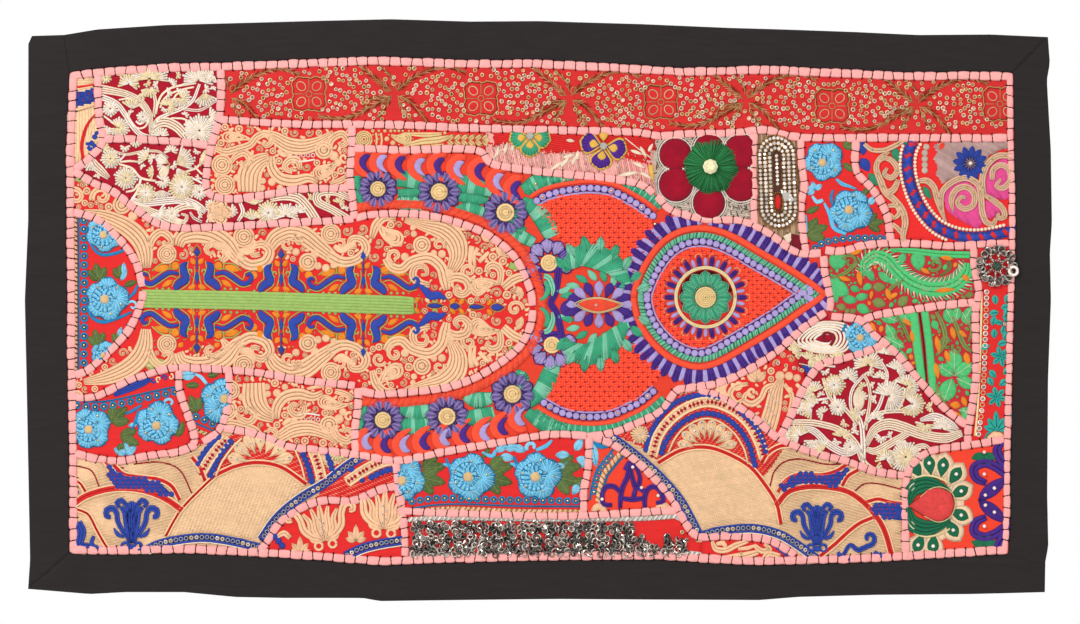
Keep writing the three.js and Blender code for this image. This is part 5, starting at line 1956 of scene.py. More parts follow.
def arch_left(work):
    upper = [(365, 163), (382, 163.5), (400.5, 165), (420, 167), (439.5, 166.5), (459, 169.5), (480, 172),
             (498.5, 182), (516, 190)]
    lower = [(367, 441), (386, 444), (405, 444), (425, 441), (445, 437), (465, 434), (485, 432), (503, 426),
             (520, 417)]
    for row, way, tones in ((upper, 1, (PURPLE, LILAC)), (lower, -1, (LILAC, PURPLE))):
        for k, (u, v) in enumerate(row):
            comma(work, u, v, tones[k % 2], way)
    for points, colours in (
        ([(356, 176, 8), (357, 190, 9), (366, 204, 8)], (EMERALD,)),
        ([(397, 179, 12), (412, 180, 13), (428, 184, 10)], (EMERALD, EMERALD, EMERALD, MINT, MINT)),
        ([(398, 193, 6), (412, 193, 7), (424, 191, 5)], (EMERALD,)),
        ([(398, 204, 8), (408, 202, 12), (422, 206, 8)], (MINT, MINT, MINT, EMERALD)),
        ([(457, 183, 13), (474, 186, 14), (492, 190, 11)], (EMERALD, EMERALD, EMERALD, MINT, MINT)),
        ([(459, 197, 7), (474, 199, 8), (488, 201, 5)], (EMERALD,)),
        ([(455, 210, 4), (468, 208, 9), (486, 213, 8)], (EMERALD, EMERALD, EMERALD, MINT)),
        ([(522, 200, 6), (534, 208, 12), (545, 222, 14), (552, 236, 12)],
         (EMERALD, EMERALD, EMERALD, EMERALD, MINT, MINT, MINT)),
        ([(508, 234, 6), (520, 236, 10), (534, 243, 8)], (MINT, MINT, EMERALD)),
        ([(524, 205, 3), (514, 222, 8), (524, 232, 7)], (EMERALD,)),
        ([(523, 190, 8), (540, 181, 13), (560, 176, 12), (590, 172, 8)], (EMERALD, EMERALD, EMERALD, MINT)),
        ([(356, 431, 7), (360, 420, 9), (368, 408, 7)], (EMERALD,)),
        ([(400, 408, 8), (414, 412, 12), (430, 410, 9)], (EMERALD, EMERALD, MINT, MINT)),
        ([(400, 425, 9), (414, 426, 13), (430, 424, 9)], (EMERALD, EMERALD, EMERALD, MINT)),
        ([(464, 396, 6), (476, 400, 12), (492, 398, 9)], (MINT, MINT, EMERALD)),
        ([(464, 418, 9), (478, 417, 13), (494, 412, 9)], (EMERALD, EMERALD, EMERALD, MINT, MINT)),
        ([(516, 372, 5), (524, 378, 8), (520, 388, 7)], (EMERALD, MINT)),
        ([(528, 404, 8), (542, 390, 13), (551, 372, 13), (556, 362, 8)],
         (EMERALD, EMERALD, EMERALD, EMERALD, MINT, MINT, MINT)),
        ([(527, 412, 8), (545, 424, 12), (566, 430, 9)], (EMERALD, EMERALD, EMERALD, MINT)),
    ):
        fuller = np.array(points, float) * (1, 1, 1.25)
        band(work, fuller, 1, EMERALD * 0.6, 0.35)
        satin(work, fuller, colours, 2, 1.8)
        for way in (-0.5, 0.5):
            line = smooth([(u, v) for u, v, _ in points], 3)
            wide = np.interp(np.linspace(0, 1, len(line)), np.linspace(0, 1, len(points)), fuller[:, 2])
            work.stroke(line + sides_of(line) * (wide * way)[:, None], 0.4, 0.8, EMERALD * 0.45)
    for u, v, r in ((378, 189, 18.5), (439.3, 192, 20.5), (505.5, 212.5, 21.5), (383, 420, 19.5),
                    (447, 416.5, 20.5), (512.5, 394, 21)):
        daisy(work, u, v, r * 1.08, 11, LILAC * 0.4 + PURPLE * 0.5, (LILAC, PURPLE * 0.7, LILAC),
              PURPLE * 0.8, GOLD, r * 0.4, draw.uniform(0, 30), high=1.3)
    for name in ("braid_garden_top", "braid_garden_bottom"):
        outside = offset(smooth(RUNS[name], 4), 9.5)
        rope(work, outside, 8, (ORANGE, ORANGE * 0.86, ORANGE), 2.3)


TEARDROP = [
    (633.5, 298), (638, 280), (648, 260), (662, 242.5), (680, 231.5), (701, 228), (721, 231.5), (740, 240),
    (760, 252), (781, 264),
    (802, 277), (821, 291.5), (821, 297), (802, 310.5), (781, 325.5), (760, 338.5), (739, 351),
    (718, 362.5), (698.5, 367), (679, 362.5), (662, 352), (648, 337.5), (638, 320),
]


def inset_loop(outline, by):
    """A closed line moved towards its inside."""
    line = smooth(outline, 3, closed=True)
    middle = line.mean(0)
    side = sides_of(loop(line))[:-1]
    inward = ((middle - line) * side).sum(1)[:, None]
    return line + side * np.where(inward > 0, by, -by)


def tuft(work, u, v, angle, dark, size):
    """One padded stroke of the purple and lilac fringes, blunt at its root."""
    long, fat, high = (17, 4.4, 1.2) if dark else (14, 3.3, 0.9)
    line = [toward(u, v, angle, long * t * size) for t in (0, 0.3, 0.62, 0.88, 1)]
    work.stroke(np.array(line), np.array([0.75, 0.95, 1, 0.7, 0.15]) * fat * size, high,
                PURPLE if dark else LILAC, section=PADDED)
    if dark:
        for side in (-0.3, 0.35):
            shift = np.array(toward(0, 0, angle + 90, fat * size * side))
            work.stroke(np.array(line)[1:4] + shift, 0.4, 0.4, PURPLE * 0.6, high)


def teardrop(work):
    drop = smooth(TEARDROP, 2, closed=True)
    edge = inset_loop(TEARDROP, -3.2)
    s = lengths_along(loop(edge))
    count = int(s[-1] / 5.2)
    ends = evenly(loop(edge), count + 1)[:-1]
    side = sides_of(loop(ends))[:-1]
    middle = drop.mean(0)
    side *= np.where(((ends - middle) * side).sum(1) > 0, 1, -1)[:, None]
    for i, ((u, v), (du, dv)) in enumerate(zip(ends, side)):
        angle = math.degrees(math.atan2(dv, du))
        dark = i % 2 == 0
        tuft(work, u, v, angle + draw.uniform(-8, 8), dark, 1.0)
    band(work, broad(loop(drop), 5.6), 1, ORANGE, 1.8)
    green = inset_loop(TEARDROP, 7.2)
    satin(work, broad(loop(green), 5.6), (MINT, MINT, EMERALD, MINT, EMERALD * 0.6), 1, 1.4, 0.3, 0.9)
    rings = inset_loop(TEARDROP, 13.4)
    lilac_row(work, loop(rings))
    line = inset_loop(TEARDROP, 18.2)
    work.stroke(loop(line), 1.0, 0.8, LILAC)
    inner = inset_loop(TEARDROP, 19.5)
    hub_u, hub_v = 705.6, 297.3

    def knit(u, v):
        return within(inner, u, v) and math.hypot(u - hub_u, v - hub_v) > 42.5

    basket(work, knit, (650, 245, 800, 350), 4.2, 1.1)
    for i in range(36):
        a = 10 * i
        dark = i % 2 == 0
        tuft(work, *toward(hub_u, hub_v, a, 31), a, dark, 0.62)
        cu, cv = toward(hub_u, hub_v, a, 40.5)
        if dark:
            work.stroke(smooth([toward(cu, cv, a + w, 3.6) for w in (-95, -45, 0, 45, 95)], 1.5), 0.55, 0.9,
                        STRAW)
    work.pad(circle(hub_u, hub_v, 29.5, 28), (hub_u, hub_v), 0.2, RED)
    for r in (30.5, 28.9):
        work.stroke(loop(circle(hub_u, hub_v, r, 40)), 1.05, 1.5, STRAW, 0.2)
    daisy(work, hub_u, hub_v, 26.5, 12, EMERALD, (MINT, EMERALD * 0.6, MINT), MINT, None, 8, 15, long=0.68,
          high=1.1)
    for k in range(5):
        work.stroke(loop(circle(hub_u, hub_v, 9.6 - 2.0 * k, 20)), 1.15, 1.4, STRAW * (1, 0.9, 0.8), 0.6)


CRESCENT_TOP = [(534, 203), (541, 198), (549, 194.5), (563, 191), (576, 189), (589, 188), (602, 189),
                (615, 192), (632, 201), (643, 208), (653, 216)]
CRESCENT_LOW = [(541, 401), (551, 407), (563, 413), (576, 416), (589, 417), (602, 416.5), (615, 414),
                (626, 409), (637, 404), (647, 397), (656, 389)]
BASKET_TOP = [(534, 208), (549, 199), (570, 194), (590, 192), (614, 196), (632, 206), (652, 221),
              (660, 232), (650, 244), (640, 255),
              (630, 272), (624, 288), (612, 268), (598, 256), (580, 250), (566, 247), (556, 236),
              (549, 222)]
BASKET_LOW = [(541, 397), (563, 408), (589, 412), (615, 409), (636, 400), (655, 384), (664, 372),
              (648, 358), (636, 342), (627, 322),
              (616, 338), (600, 351), (580, 357), (566, 361), (557, 374), (552, 388)]


def lilac_row(work, line):
    """Lilac discs side by side, each with a thin dark ring; gives their middles."""
    line = smooth(line, 2)
    r = 3.7
    band(work, broad(line, r * 1.7), 1, PURPLE * 0.7, 0.3)
    middles = spaced(line, 7.0)
    for u, v in middles:
        ball(work, u, v, r, LILAC * 1.15, 1.1, 0.1)
        work.stroke(loop(circle(u, v, r * 0.97, 12)), 0.42, 0.8, PURPLE * 0.6, 0.2)
    return middles


def arch_middle(work):
    for shape in (BASKET_TOP, BASKET_LOW):
        s = np.array(shape)
        basket(work, lambda u, v: within(s, u, v), (530, s[:, 1].min(), 670, s[:, 1].max()), 4.8, 1.0)
    for points, way in ((CRESCENT_TOP, 1), (CRESCENT_LOW, -1)):
        line = smooth(points, 3)
        for k, (u, v) in enumerate(lilac_row(work, line)):
            if k % 5 == 1:
                GOLD_BEADS.add(u, v, 1.6, 3.2, 0.2, GOLD)
        band(work, broad(offset(line, 6.8 * way), 3.6), 1, ORANGE, 1.3)
        band(work, broad(offset(line, -4.6 * way), 1.8), 1, LILAC, 0.7)
        satin(work, broad(offset(line, 13 * way), 8.5), (EMERALD, EMERALD, EMERALD, MINT), 1, 1.6)
    for u, v in ((535.5, 184), (564, 180), (655, 224)):
        GOLD_BEADS.add(u, v, 1.7, 2.8, 0.2, GOLD)
    stem = [(570, 249, 5), (561, 257, 7), (558, 275, 7), (556, 292, 6), (551, 303, 7), (557, 314, 7),
            (561, 332, 7), (564, 347, 7), (575, 356, 4)]
    band(work, stem, 3, PURPLE, 1.1)
    band(work, [(535, 271, 3), (545, 270, 6), (556, 268, 7), (562, 258, 6)], 2, PURPLE, 1.0)
    band(work, [(540, 331, 4), (547, 336, 7), (558, 335, 7), (563, 345, 5)], 2, PURPLE, 1.0)
    band(work, [(540, 274, 3), (541, 284, 4), (549, 296, 3)], 1, PURPLE, 1.0)
    daisy(work, 549, 263, 25, 7, LILAC, (LILAC * 0.85, LILAC * 0.85), PURPLE, GOLD, 8, 138, 252, 0.66)
    daisy(work, 552, 345, 25, 7, LILAC, (LILAC * 0.85, LILAC * 0.85), PURPLE, GOLD, 8, -30, 252, 0.66)
    for way, v0 in ((1, 303), (-1, 305)):
        def at(points):
            p = np.array(points, float)
            p[:, 1] = v0 - p[:, 1] * way
            return p

        band(work, at([(544, 27, 5), (549, 25, 6), (553, 15, 5), (552, 7, 2)]), 2, MINT, 1.2, 0.3)
        band(work, at([(545, 22, 3), (548, 14, 5), (545, 6, 4), (540, 3, 2)]), 1, EMERALD, 1.3, 0.4)
        satin(work, at([(563, 33, 6), (570, 42, 15), (583, 48, 22), (598, 45, 24), (612, 37, 22),
                        (621, 27, 14), (628, 20, 6)]),
              (EMERALD, EMERALD, MINT), 3, 1.9, 0.5, 1.2, 0.5)
        plume = ((566, 46), (575, 57), (587, 63), (600, 62), (612, 55), (622, 45), (630, 33), (636, 24))
        for k, (u, high) in enumerate(plume):
            leaf(work, Place(u, v0 - high * way + 12 * way, (-135 + 16 * k) * way), 17, 9,
                 (EMERALD, MINT * 0.9)[k % 2], EMERALD * 0.6, 2, 1.2, 0.5, 0.8)
        band(work, at([(564, 32, 1), (576, 41, 1.4), (592, 43, 1.4), (608, 36, 1.4), (619, 25, 1)]), 1,
             EMERALD * 0.5, 0.5, 1.0)
        for k in range(7):
            a = (-150 + 20 * k) * way
            leaf(work, Place(*toward(597, 307, a, 26), a - 40 * way), 15, 7, (EMERALD, MINT)[k % 2], None,
                 high=1.2, lift=0.3)
        band(work, at([(557, 12, 2), (564, 12, 6), (571, 17, 3)]), 1, MINT, 1.1)
    for i in range(16):
        a = math.radians(22.5 * i)
        foot = np.array([599 + 15 * math.cos(a), 304.5 + 5 * math.sin(a)])
        tip = np.array([599 + 35 * math.cos(a), 304.5 + 24 * math.sin(a)])
        along = tip - foot
        leaf(work, Place(*foot, math.degrees(math.atan2(along[1], along[0]))), float(np.hypot(*along)), 9.5,
             PURPLE if i % 2 else LILAC, None, high=1.2, full=0.66, lift=0.5)
    band(work, [(578, 302, 3), (568, 306, 11), (566, 312, 9), (573, 314, 3)], 1, PURPLE, 1.2, 0.4)
    almond = smooth([(578, 304), (588, 299.5), (600, 298.5), (611, 301), (620, 304.5), (610, 309.5),
                     (598, 312), (587, 309.5)], 3, True)
    work.pad(almond, (599, 304.5), 1.4, ORANGE, 1.4)
    for share in (1.0, 1.14):
        work.stroke(loop((599, 304.8) + (almond - (599, 304.8)) * share), 0.6, 1.4, STRAW, 1.5)
    CUPS.add(596, 305, 1.3, 5.0)


# Browns and golds of the bullion; the light golds are partly its own colour and partly painted glints of
# the metal
BULLION = [dye(code) for code in ("A86A34", "CFA068", "7A3A1C", "E6C392")]


def satin_strip(work):
    """Gold bullion sprays and flowers on the satin, with scattered sequins."""
    centres = [(228, 96), (394, 94), (569, 98), (745, 101), (916, 105)]
    flowers = [(309, 94), (481, 98.5), (661, 102), (832, 106), (1000, 104)]
    arms = [
        [(-2, -2), (-14, -12), (-24, -20), (-36, -31)],
        [(-2, 2), (-18, 10), (-36, 20), (-54, 25), (-76, 22)],
        [(2, -2), (16, -14), (34, -23), (54, -27), (72, -21)],
        [(3, 2), (14, 6), (24, 16), (34, 29)],
        [(-2, 4), (-8, 12), (-16, 24)], [(4, 4), (8, 14), (18, 27)], [(0, -6), (-2, -16), (-14, -28)],
        [(-4, 2), (-24, 6), (-30, 18)],
    ]
    for u, v in centres:
        for k, arm in enumerate(arms):
            line = smooth(np.array(arm, float) + (u, v), 3.2)
            long = k < 4
            work.stroke(line, 0.5, 0.8, BULLION[1], 0.2, vary=0.15)
            side = sides_of(line)
            for i in range(1, len(line) - 1):
                ahead = np.array([-side[i, 1], side[i, 0]])
                reach = (6.6 if long else 4.6) * (1 - 0.35 * i / len(line))
                for way in (-1, 1):
                    end = line[i] + ahead * reach * 0.86 + side[i] * way * reach * 0.55
                    work.stroke(np.array([line[i] + side[i] * way * 0.6, (line[i] + end) / 2, end]),
                                (0.35, 0.5, 0.3), 0.9, BULLION[draw.randrange(4)], 0.1, vary=0.2)
        for a in (35, 145, 215, 300):
            work.stroke(loop(circle(*toward(u, v, a, 9), 3.4, 10, squash=0.75, turn=a)), 0.55, 0.8,
                        BULLION[1], 0.2)
    for u, v in flowers:
        lobes = [toward(u, v, a, 18.5 + 2.6 * math.cos(4 * math.radians(a - 45))
                        + 0.7 * math.sin(math.radians(a * 14)))
                 for a in range(0, 360, 8)]
        work.stroke(loop(np.array(lobes)), 0.7, 0.8, BULLION[1], vary=0.15)
        work.stroke(loop((np.array(lobes) - (u, v)) * 0.93 + (u, v)), 0.4, 0.6, BULLION[2])
        work.stroke(loop(circle(u, v, 3.0, 10)), 0.6, 0.9, BULLION[1])
        for a in (45, 135, 225, 315):
            work.stroke(loop(circle(*toward(u, v, a, 11), 5.0, 12, squash=0.8, turn=a)), 0.6, 0.9,
                        BULLION[3], vary=0.15)
            work.stroke(smooth([toward(u, v, a - 45, 4), toward(u, v, a - 45, 11),
                                toward(u, v, a - 45, 17)]), 0.5, 0.8, BULLION[1])
    taken = []
    for u, v in centres:
        for arm in arms[:4]:
            taken += [tuple(p) + (3.4,) for p in smooth(np.array(arm, float) + (u, v), 5)]
    taken += [(u, v, 18) for u, v in flowers]
    for _ in range(7000):
        u, v = draw.uniform(222, 1012), draw.uniform(60, 136)
        near = min((u - a) ** 2 for a, _ in centres)
        bare = draw.random() < (0.9 if near < 90 else 0.1)
        if bare or not work.inside(np.array([[u, v]]))[0]:
            continue
        if not (64 + (u - 230) * 0.006 < v < 128):
            continue
        if all((u - a) ** 2 + (v - b) ** 2 > (r + 2.0) ** 2 for a, b, r in taken):
            taken.append((u, v, 2.2))
            CUPS.add(u, v, draw.uniform(1.8, 2.3), 2.3, 0.35,
                     (CREAM, STRAW, GOLD, CREAM)[draw.randrange(4)])


def velvet_ground(work):
    work.fill([(652, 130), (760, 130), (760, 224), (700, 222), (650, 200)], 8, 1.9, 0.45, SILVER_BEIGE, 0,
              0.22, 3.5)
    for _ in range(520):
        u, v = draw.uniform(656, 754), draw.uniform(134, 222)
        a = draw.uniform(0, 180)
        colour = (dye("4A3A38"), OLD_GOLD * 0.4, WHITE, dye("6A5550"))[draw.randrange(4)]
        work.stroke(np.array([(u, v), toward(u, v, a, 2.2), toward(u, v, a, 4.4)]), 0.6, 0.4, colour, 0.4)
    for u, v, r in PETALS:
        for k in range(2 if u > 690 or v < 170 else 3):
            work.stroke(loop(circle(u, v, r + 1.3 + 1.5 * k, 30)), 0.62, 0.9, SILVER * (0.9 + 0.1 * k))


PETALS = [(709, 149, 15), (741, 152, 17.5), (741, 184, 17.5), (709, 203, 16), (676, 184.5, 17),
          (675.5, 154.5, 16)]
PETAL_NODES = ["petal_top", "petal_upper_right", "petal_lower_right", "petal_bottom", "petal_lower_left",
               "petal_upper_left"]


def velvet_flower():
    pile, n, shader = surface("crimson_velvet", 0.9, Sheen_Weight=0.25)
    shader.inputs["Sheen Tint"].default_value = (1.0, 0.35, 0.5, 1)
    fuzz = n.noise(900.0, 4.0)
    # The pile's colour is made lighter and darker in broad patches
    broad_patches = n.math("MULTIPLY_ADD", n.noise(70.0), 0.7, 0.35)
    dyes = n.add("ShaderNodeAttribute", attribute_name="dye")
    shade = n.math("MULTIPLY_ADD", fuzz, 0.5, broad_patches)
    n.link(shaded(n, dyes.outputs["Color"], shade), shader.inputs["Base Color"])
    raised(n, shader, fuzz, 0.0003, 0.7)
    crimson = dye("9A0A26")
    for (u, v, r), node in zip(PETALS, PETAL_NODES):
        work = Work("velvet")
        work.pad(circle(u, v, r, 40), (u, v), 3.0, crimson, 0.4, 0.04)
        finish_piece(work.make(node + "_velvet", pile), "velvet", node)
    cords = Work("velvet")
    for u, v, r in PETALS:
        for k in range(2):
            cords.stroke(loop(circle(u, v, r + 0.8 + 2.2 * k, 32)), 0.7, 1.4, WHITE * (1.1, 0.85)[k], 0.6)
    finish_piece(cords.make("petal_cords", STITCHING), "embroidery")
    rosette = Work()
    green = dye("34894F")
    u, v = 711, 166.8
    for k in range(150):
        a = 2.4 * k + draw.uniform(-0.9, 0.9)
        r = 26.4 + 1.1 * math.sin(math.radians(a * 8)) + draw.uniform(-0.9, 0.9)
        sway = draw.uniform(-3, 3)
        line = smooth([toward(u, v, a, 5), toward(u, v, a + sway, 15), toward(u, v, a + sway * 0.6, r)], 4)
        s = np.linspace(0, 1, len(line))
        rosette.stroke(line, 0.45 + 0.32 * s, 1.0, green * draw.uniform(0.72, 1.25),
                       2.6 + 2.4 * (1 - s) ** 2 + 1.6 * np.sin(math.pi * s))
    rosette.pad(circle(u, v, 25.5, 40), (u, v), 4.2, green * 0.7, 0.6)
    finish_piece(rosette.make("rosette_threads", STITCHING), "wool_thread", "thread_rosette")
    glass, n, shader = surface("pale_stone", 0.12, Base_Color=(0.72, 0.66, 0.36, 1), Coat_Weight=0.6)
    cloud = n.add("ShaderNodeTexVoronoi", feature="F1")
    cloud.inputs["Scale"].default_value = 420.0
    coords = n.add("ShaderNodeTexCoord")
    n.link(coords.outputs["Object"], cloud.inputs["Vector"])
    n.link(shaded(n, (0.85, 0.79, 0.46), n.math("MULTIPLY_ADD", cloud.outputs["Distance"], 0.5, 0.75)),
           shader.inputs["Base Color"])
    gem = Ornaments("stone", True)
    gem.add(u - 1, v, 7.6, 9.2, 0.02, WHITE)
    gem.make("faceted_stone", glass, "stone", "rosette_stone")


def bead_oval():
    seeds, stones = Ornaments("bead", True), Ornaments("stone", True)
    centre_u, centre_v, lean = 777.5, 182.0, -0.04

    def row(half_wide, half_tall, pitch, kind, r, dye_of, middle_v=0.0):
        straight = half_tall - half_wide
        top = [(half_wide * math.cos(a), -straight - half_wide * math.sin(a)) for a in np.linspace(0,
                math.pi, 14)]
        low = [(-half_wide * math.cos(a), straight + half_wide * math.sin(a)) for a in np.linspace(0,
                math.pi, 14)]
        line = loop(np.array(top + low) + (0, middle_v))
        for x, y in evenly(line, int(lengths_along(line)[-1] / pitch))[:-1]:
            u, v = centre_u + x - y * lean, centre_v + y
            kind.add(u, v, r * draw.uniform(0.9, 1.08), 3.2, 0.3,
                     dye_of * draw.choice((0.55, 0.8, 1.0, 1.0)))

    brass = OLD_GOLD * 1.1
    row(19.4, 46.6, 2.35, seeds, 1.12, brass)
    row(16.8, 44.0, 3.9, stones, 1.85, WHITE)
    row(14.3, 41.4, 2.3, seeds, 1.1, brass)
    row(11.8, 38.9, 3.9, stones, 1.85, WHITE)
    row(9.4, 36.4, 2.3, seeds, 1.1, brass)
    row(7.0, 33.9, 3.9, stones, 1.8, WHITE)
    row(4.7, 31.5, 2.3, seeds, 1.0, brass)
    for v in range(-26, 6, 4):
        stones.add(centre_u - v * lean, centre_v + v, 1.7, 3.2, 0.3, WHITE)
    row(4.4, 9.8, 2.2, seeds, 1.0, brass, 20)
    seeds.make("seed_beads", METAL_BEAD, "beads", "bead_oval")
    stones.make("crystal_beads", CRYSTAL, "beads")
    base = Work(base=1.5)
    base.pad([(centre_u + x * 20, centre_v + y * 47.5) for x, y in
              [(math.cos(a) * (1 if abs(math.sin(a)) < 0.5 else 0.98),
                math.copysign(abs(math.sin(a)) ** 0.8, math.sin(a)))
               for a in np.linspace(0, TAU, 40, endpoint=False)]], (centre_u, centre_v), 0.9, dye("5C3A30"))
    base.pad(circle(centre_u + 0.3, centre_v + 20, 8, 14, squash=0.4, turn=90), None, 0.6, RED, 0.7)
    finish_piece(base.make("bead_backing", STITCHING), "beads")
    tab = Work(base=3.4)
    tab.pad([(780, 189), (790, 193), (795, 200), (792, 203), (783, 199)], None, 1.2, SILVER)
    finish_piece(tab.make("glass_tab", CRYSTAL), "stone")


def beaded_ground(work):
    work.fill([(757, 128), (802, 128), (806, 256), (757, 256)], 86, 2.0, 0.4,
              OLD_GOLD * 0.6 + SILVER_BEIGE * 0.3, 0, 0.4, 4)
    work.pad([(786, 232), (801, 236), (803, 254), (793, 252)], None, 0.9, MAROON * 1.4, 0.3)
    work.pad([(783, 236), (791, 232), (792, 240), (787, 246)], None, 0.9, CREAM, 0.5)


def rose_right(work):
    rose(work, 824, 161, 20, 30)
    rose(work, 851, 211, 22, 100)
    rose_beads(824, 161, 14, (-130, -50, 40, 150))
    rose_beads(851, 211, 16, (-80, 10, 110, 170))
    leaf_group(work, 843, 147, -25, 14, 50, 2)
    leaf_group(work, 843, 163, 40, 14, 30, 1)
    leaf_group(work, 806, 213, -25, 15, 30, 1)
    leaf_group(work, 806, 234, -20, 24, 34)
    leaf_group(work, 862, 196, -50, 13, 30, 1)
    leaf_group(work, 868, 224, -10, 17, 42)
    for a in (150, 200, 250, 320):
        leaf(work, Place(815, 190, a), 9, 6, PALE_SKY, SKY, 2)
    band(work, [(812, 196, 2), (817, 202, 4), (823, 200, 3)], 1, PALE_SKY)
    band(work, [(836, 179, 2), (842, 184, 4), (848, 186, 3), (856, 189, 2)], 2, SKY)
    band(work, [(824, 203, 2), (830, 215, 4), (834, 228, 4), (846, 234, 3)], 1, SKY, 1.0)
    band(work, [(833, 190, 2), (831, 198, 3), (833, 206, 2)], 1, SEA)
    leaf(work, Place(868, 205, -50), 12, 7, PALE_SKY, SKY, 2)
    chained_rings(work, [(812, 250), (823, 243), (838, 239.5), (855, 238), (872, 238), (890, 238)], 7.4,
                  3.6)
    band(work, [(806, 215, 1.5), (807, 232, 1.5)], 1, SKY)


def pearl_row(line):
    """Pearls side by side along a line."""
    line = smooth(line, 2)
    for u, v in evenly(line, int(lengths_along(line)[-1] / 3.6)):
        if CELLS.number[CELLS.at(u, v)] > 0:
            PEARLS.add(u, v, 1.9, 2.3, 0.1, CREAM)


SCROLL_CORD = dye("E2B897")


def scroll_blue(work):
    arc = smooth([(915, 138), (908.5, 152), (907.5, 170), (912, 190), (921, 209), (936, 226), (957, 235.5),
                  (982, 237), (1016, 230)], 3)
    satin(work, broad(arc, 9.5), (ROYAL, ROYAL, ROYAL * 0.7), 1, 2.0, 0.8, 1.0)
    satin(work, broad(arc, 5), (ROYAL, RED, ROYAL * 1.2), 1, 4.2, -0.9, 0.8, 0.6)
    for by in (-7.4, 7.4):
        pearl_row([p for p in offset(arc, by) if NUMBER["scroll_blue"] == CELLS.number[CELLS.at(*p)]])
    grey = dye("C3A09A")
    work.fill([(945, 139), (932, 146), (937, 152), (932, 158), (937, 166), (935, 174), (942, 184),
               (952, 180), (976, 176), (985, 168),
               (990, 156), (1002, 150), (1018, 147), (1018, 136)], 30, 1.8, 0.6, grey, 0, 0.18, 3)
    for k in range(12):
        leaf(work, Place(*toward(970, 163.5, 30 * k + 8, 3), 30 * k + 8), 15, 6.6, ROYAL, ROYAL * 0.6, 0,
             1.2, 0.6, 0.6)
    PEARLS.add(970, 163.5, 1.9, 3.6, 0, WHITE)
    for outline in ([(944, 186), (955, 181), (968, 181), (979, 190), (981, 206), (984, 222), (978, 230),
                     (962, 222), (948, 213), (943, 200)],
                    [(985, 196), (985, 176), (991, 163), (1004, 157), (1011, 158), (1011, 200),
                     (1000, 200)],
                    [(984, 200), (994, 202), (1002, 212), (994, 218), (986, 220)]):
        work.fill(outline, 60, 1.8, 0.6, MAGENTA, 0, 0.06, 4)
    for count, points in (
        (3, [(919, 181, 5), (927, 181, 6.5), (934, 188, 6.5), (937, 200, 6), (942, 214, 4), (946, 222, 2)]),
        (3, [(945, 221, 2), (941, 206, 5), (942, 192, 6), (952, 182, 6.5), (966, 178, 6.5), (978, 185, 6.5),
             (981, 199, 6.5), (982, 212, 6.5), (986, 222, 6), (993, 224, 5), (996, 218, 4)]),
        (3, [(953, 212, 2), (951, 200, 6), (956, 190, 6.5), (966, 187, 6.5), (974, 194, 6.5), (973, 205, 6),
             (964, 209, 6), (957, 203, 5), (961, 197, 4), (966, 198, 3)]),
        (3, [(984, 195, 5), (982, 180, 6.5), (987, 165, 6.5), (998, 156, 6.5), (1012, 156, 6)]),
        (3, [(984, 195, 4), (994, 201, 6), (1003, 209, 6), (1004, 217, 6), (997, 218, 4), (999, 213, 3)]),
        (3, [(992, 180, 5), (993, 170, 6), (1001, 165, 6), (1009, 170, 6), (1010, 181, 6), (1003, 188, 6),
             (996, 186, 4), (1001, 179, 3)]),
        (2, [(864, 144, 4), (872, 150, 5), (885, 150, 5), (898, 144, 5), (906, 139, 3)]),
        (3, [(889, 152, 3), (880, 158, 5), (876, 168, 6), (880, 180, 7), (885, 192, 7), (894, 200, 7),
             (902, 210, 7), (905, 222, 7), (903, 234, 6), (903, 242, 5)]),
        (3, [(877, 163, 4), (884, 158, 5), (893, 162, 6), (897, 171, 6), (891, 178, 6), (884, 174, 5),
             (887, 168, 3)]),
        (3, [(898, 180, 5), (893, 190, 7), (884, 194, 6)]),
        (2, [(888, 206, 4), (896, 206, 5), (899, 213, 5), (894, 218, 4), (890, 214, 3)]),
        (2, [(892, 224, 4), (898, 229, 5), (903, 236, 4)]),
    ):
        band(work, points, count, SCROLL_CORD, 1.3, 0.4)
        line = smooth(points, 7)
        for u, v, _ in line[1:-1:2]:
            if work.inside(np.array([[u, v]]))[0]:
                CUPS.add(u, v, 1.3, 3.6, 0.2, STRAW)
    for v in (147, 153, 159, 165, 170.5):
        ball(work, 926 + (v > 150) * -1.5, v, 3.3, SILVER_BEIGE, 1.0)
    for u, v, turn, long, wide, colour in (
        (862, 140, 85, 16, 9, ROYAL), (861, 158, 60, 16, 11, ROYAL), (868, 173, 50, 18, 8, EMERALD * 0.7),
        (893, 147, 70, 16, 9, EMERALD * 0.7),
        (900, 140, 20, 14, 6, EMERALD * 0.7), (884, 140, -10, 14, 5, EMERALD * 0.7),
        (923, 186, 60, 16, 7, EMERALD * 0.7),
        (1010, 142, 60, 12, 8, EMERALD * 0.7), (944, 142, 120, 10, 6, CORAL),
    ):
        leaf(work, Place(u, v, turn), long, wide, colour, None)


FERN = [
    (3, [(864, 276, 5), (864, 264, 9), (874, 256, 11), (886, 259, 12), (896, 270, 13), (908, 281, 14),
         (924, 288, 15), (941, 289, 15), (956, 284, 14), (966, 274, 12), (968, 263, 8)]),
    (2, [(890, 250, 3), (912, 251, 6), (940, 254, 7), (972, 255, 7)]),
]


def fern_fringe(work, points, long):
    """Short slanted stitches on both sides of a fern's plume."""
    line = smooth(points, 3.0)
    side = sides_of(line[:, :2])
    for k in range(1, len(line) - 1):
        ahead = np.array([-side[k, 1], side[k, 0]])
        for way in (-1, 1):
            foot = line[k, :2] + side[k] * way * line[k, 2] * 0.42
            end = foot + side[k] * way * long + ahead * long * 0.7
            colour = (LEAF_GREEN, SILVER_BEIGE * 1.3)[k % 2]
            work.stroke(np.array([foot, (foot + end) / 2, end]), (1.2, 0.9, 0.35), 0.7, colour, 0.1)


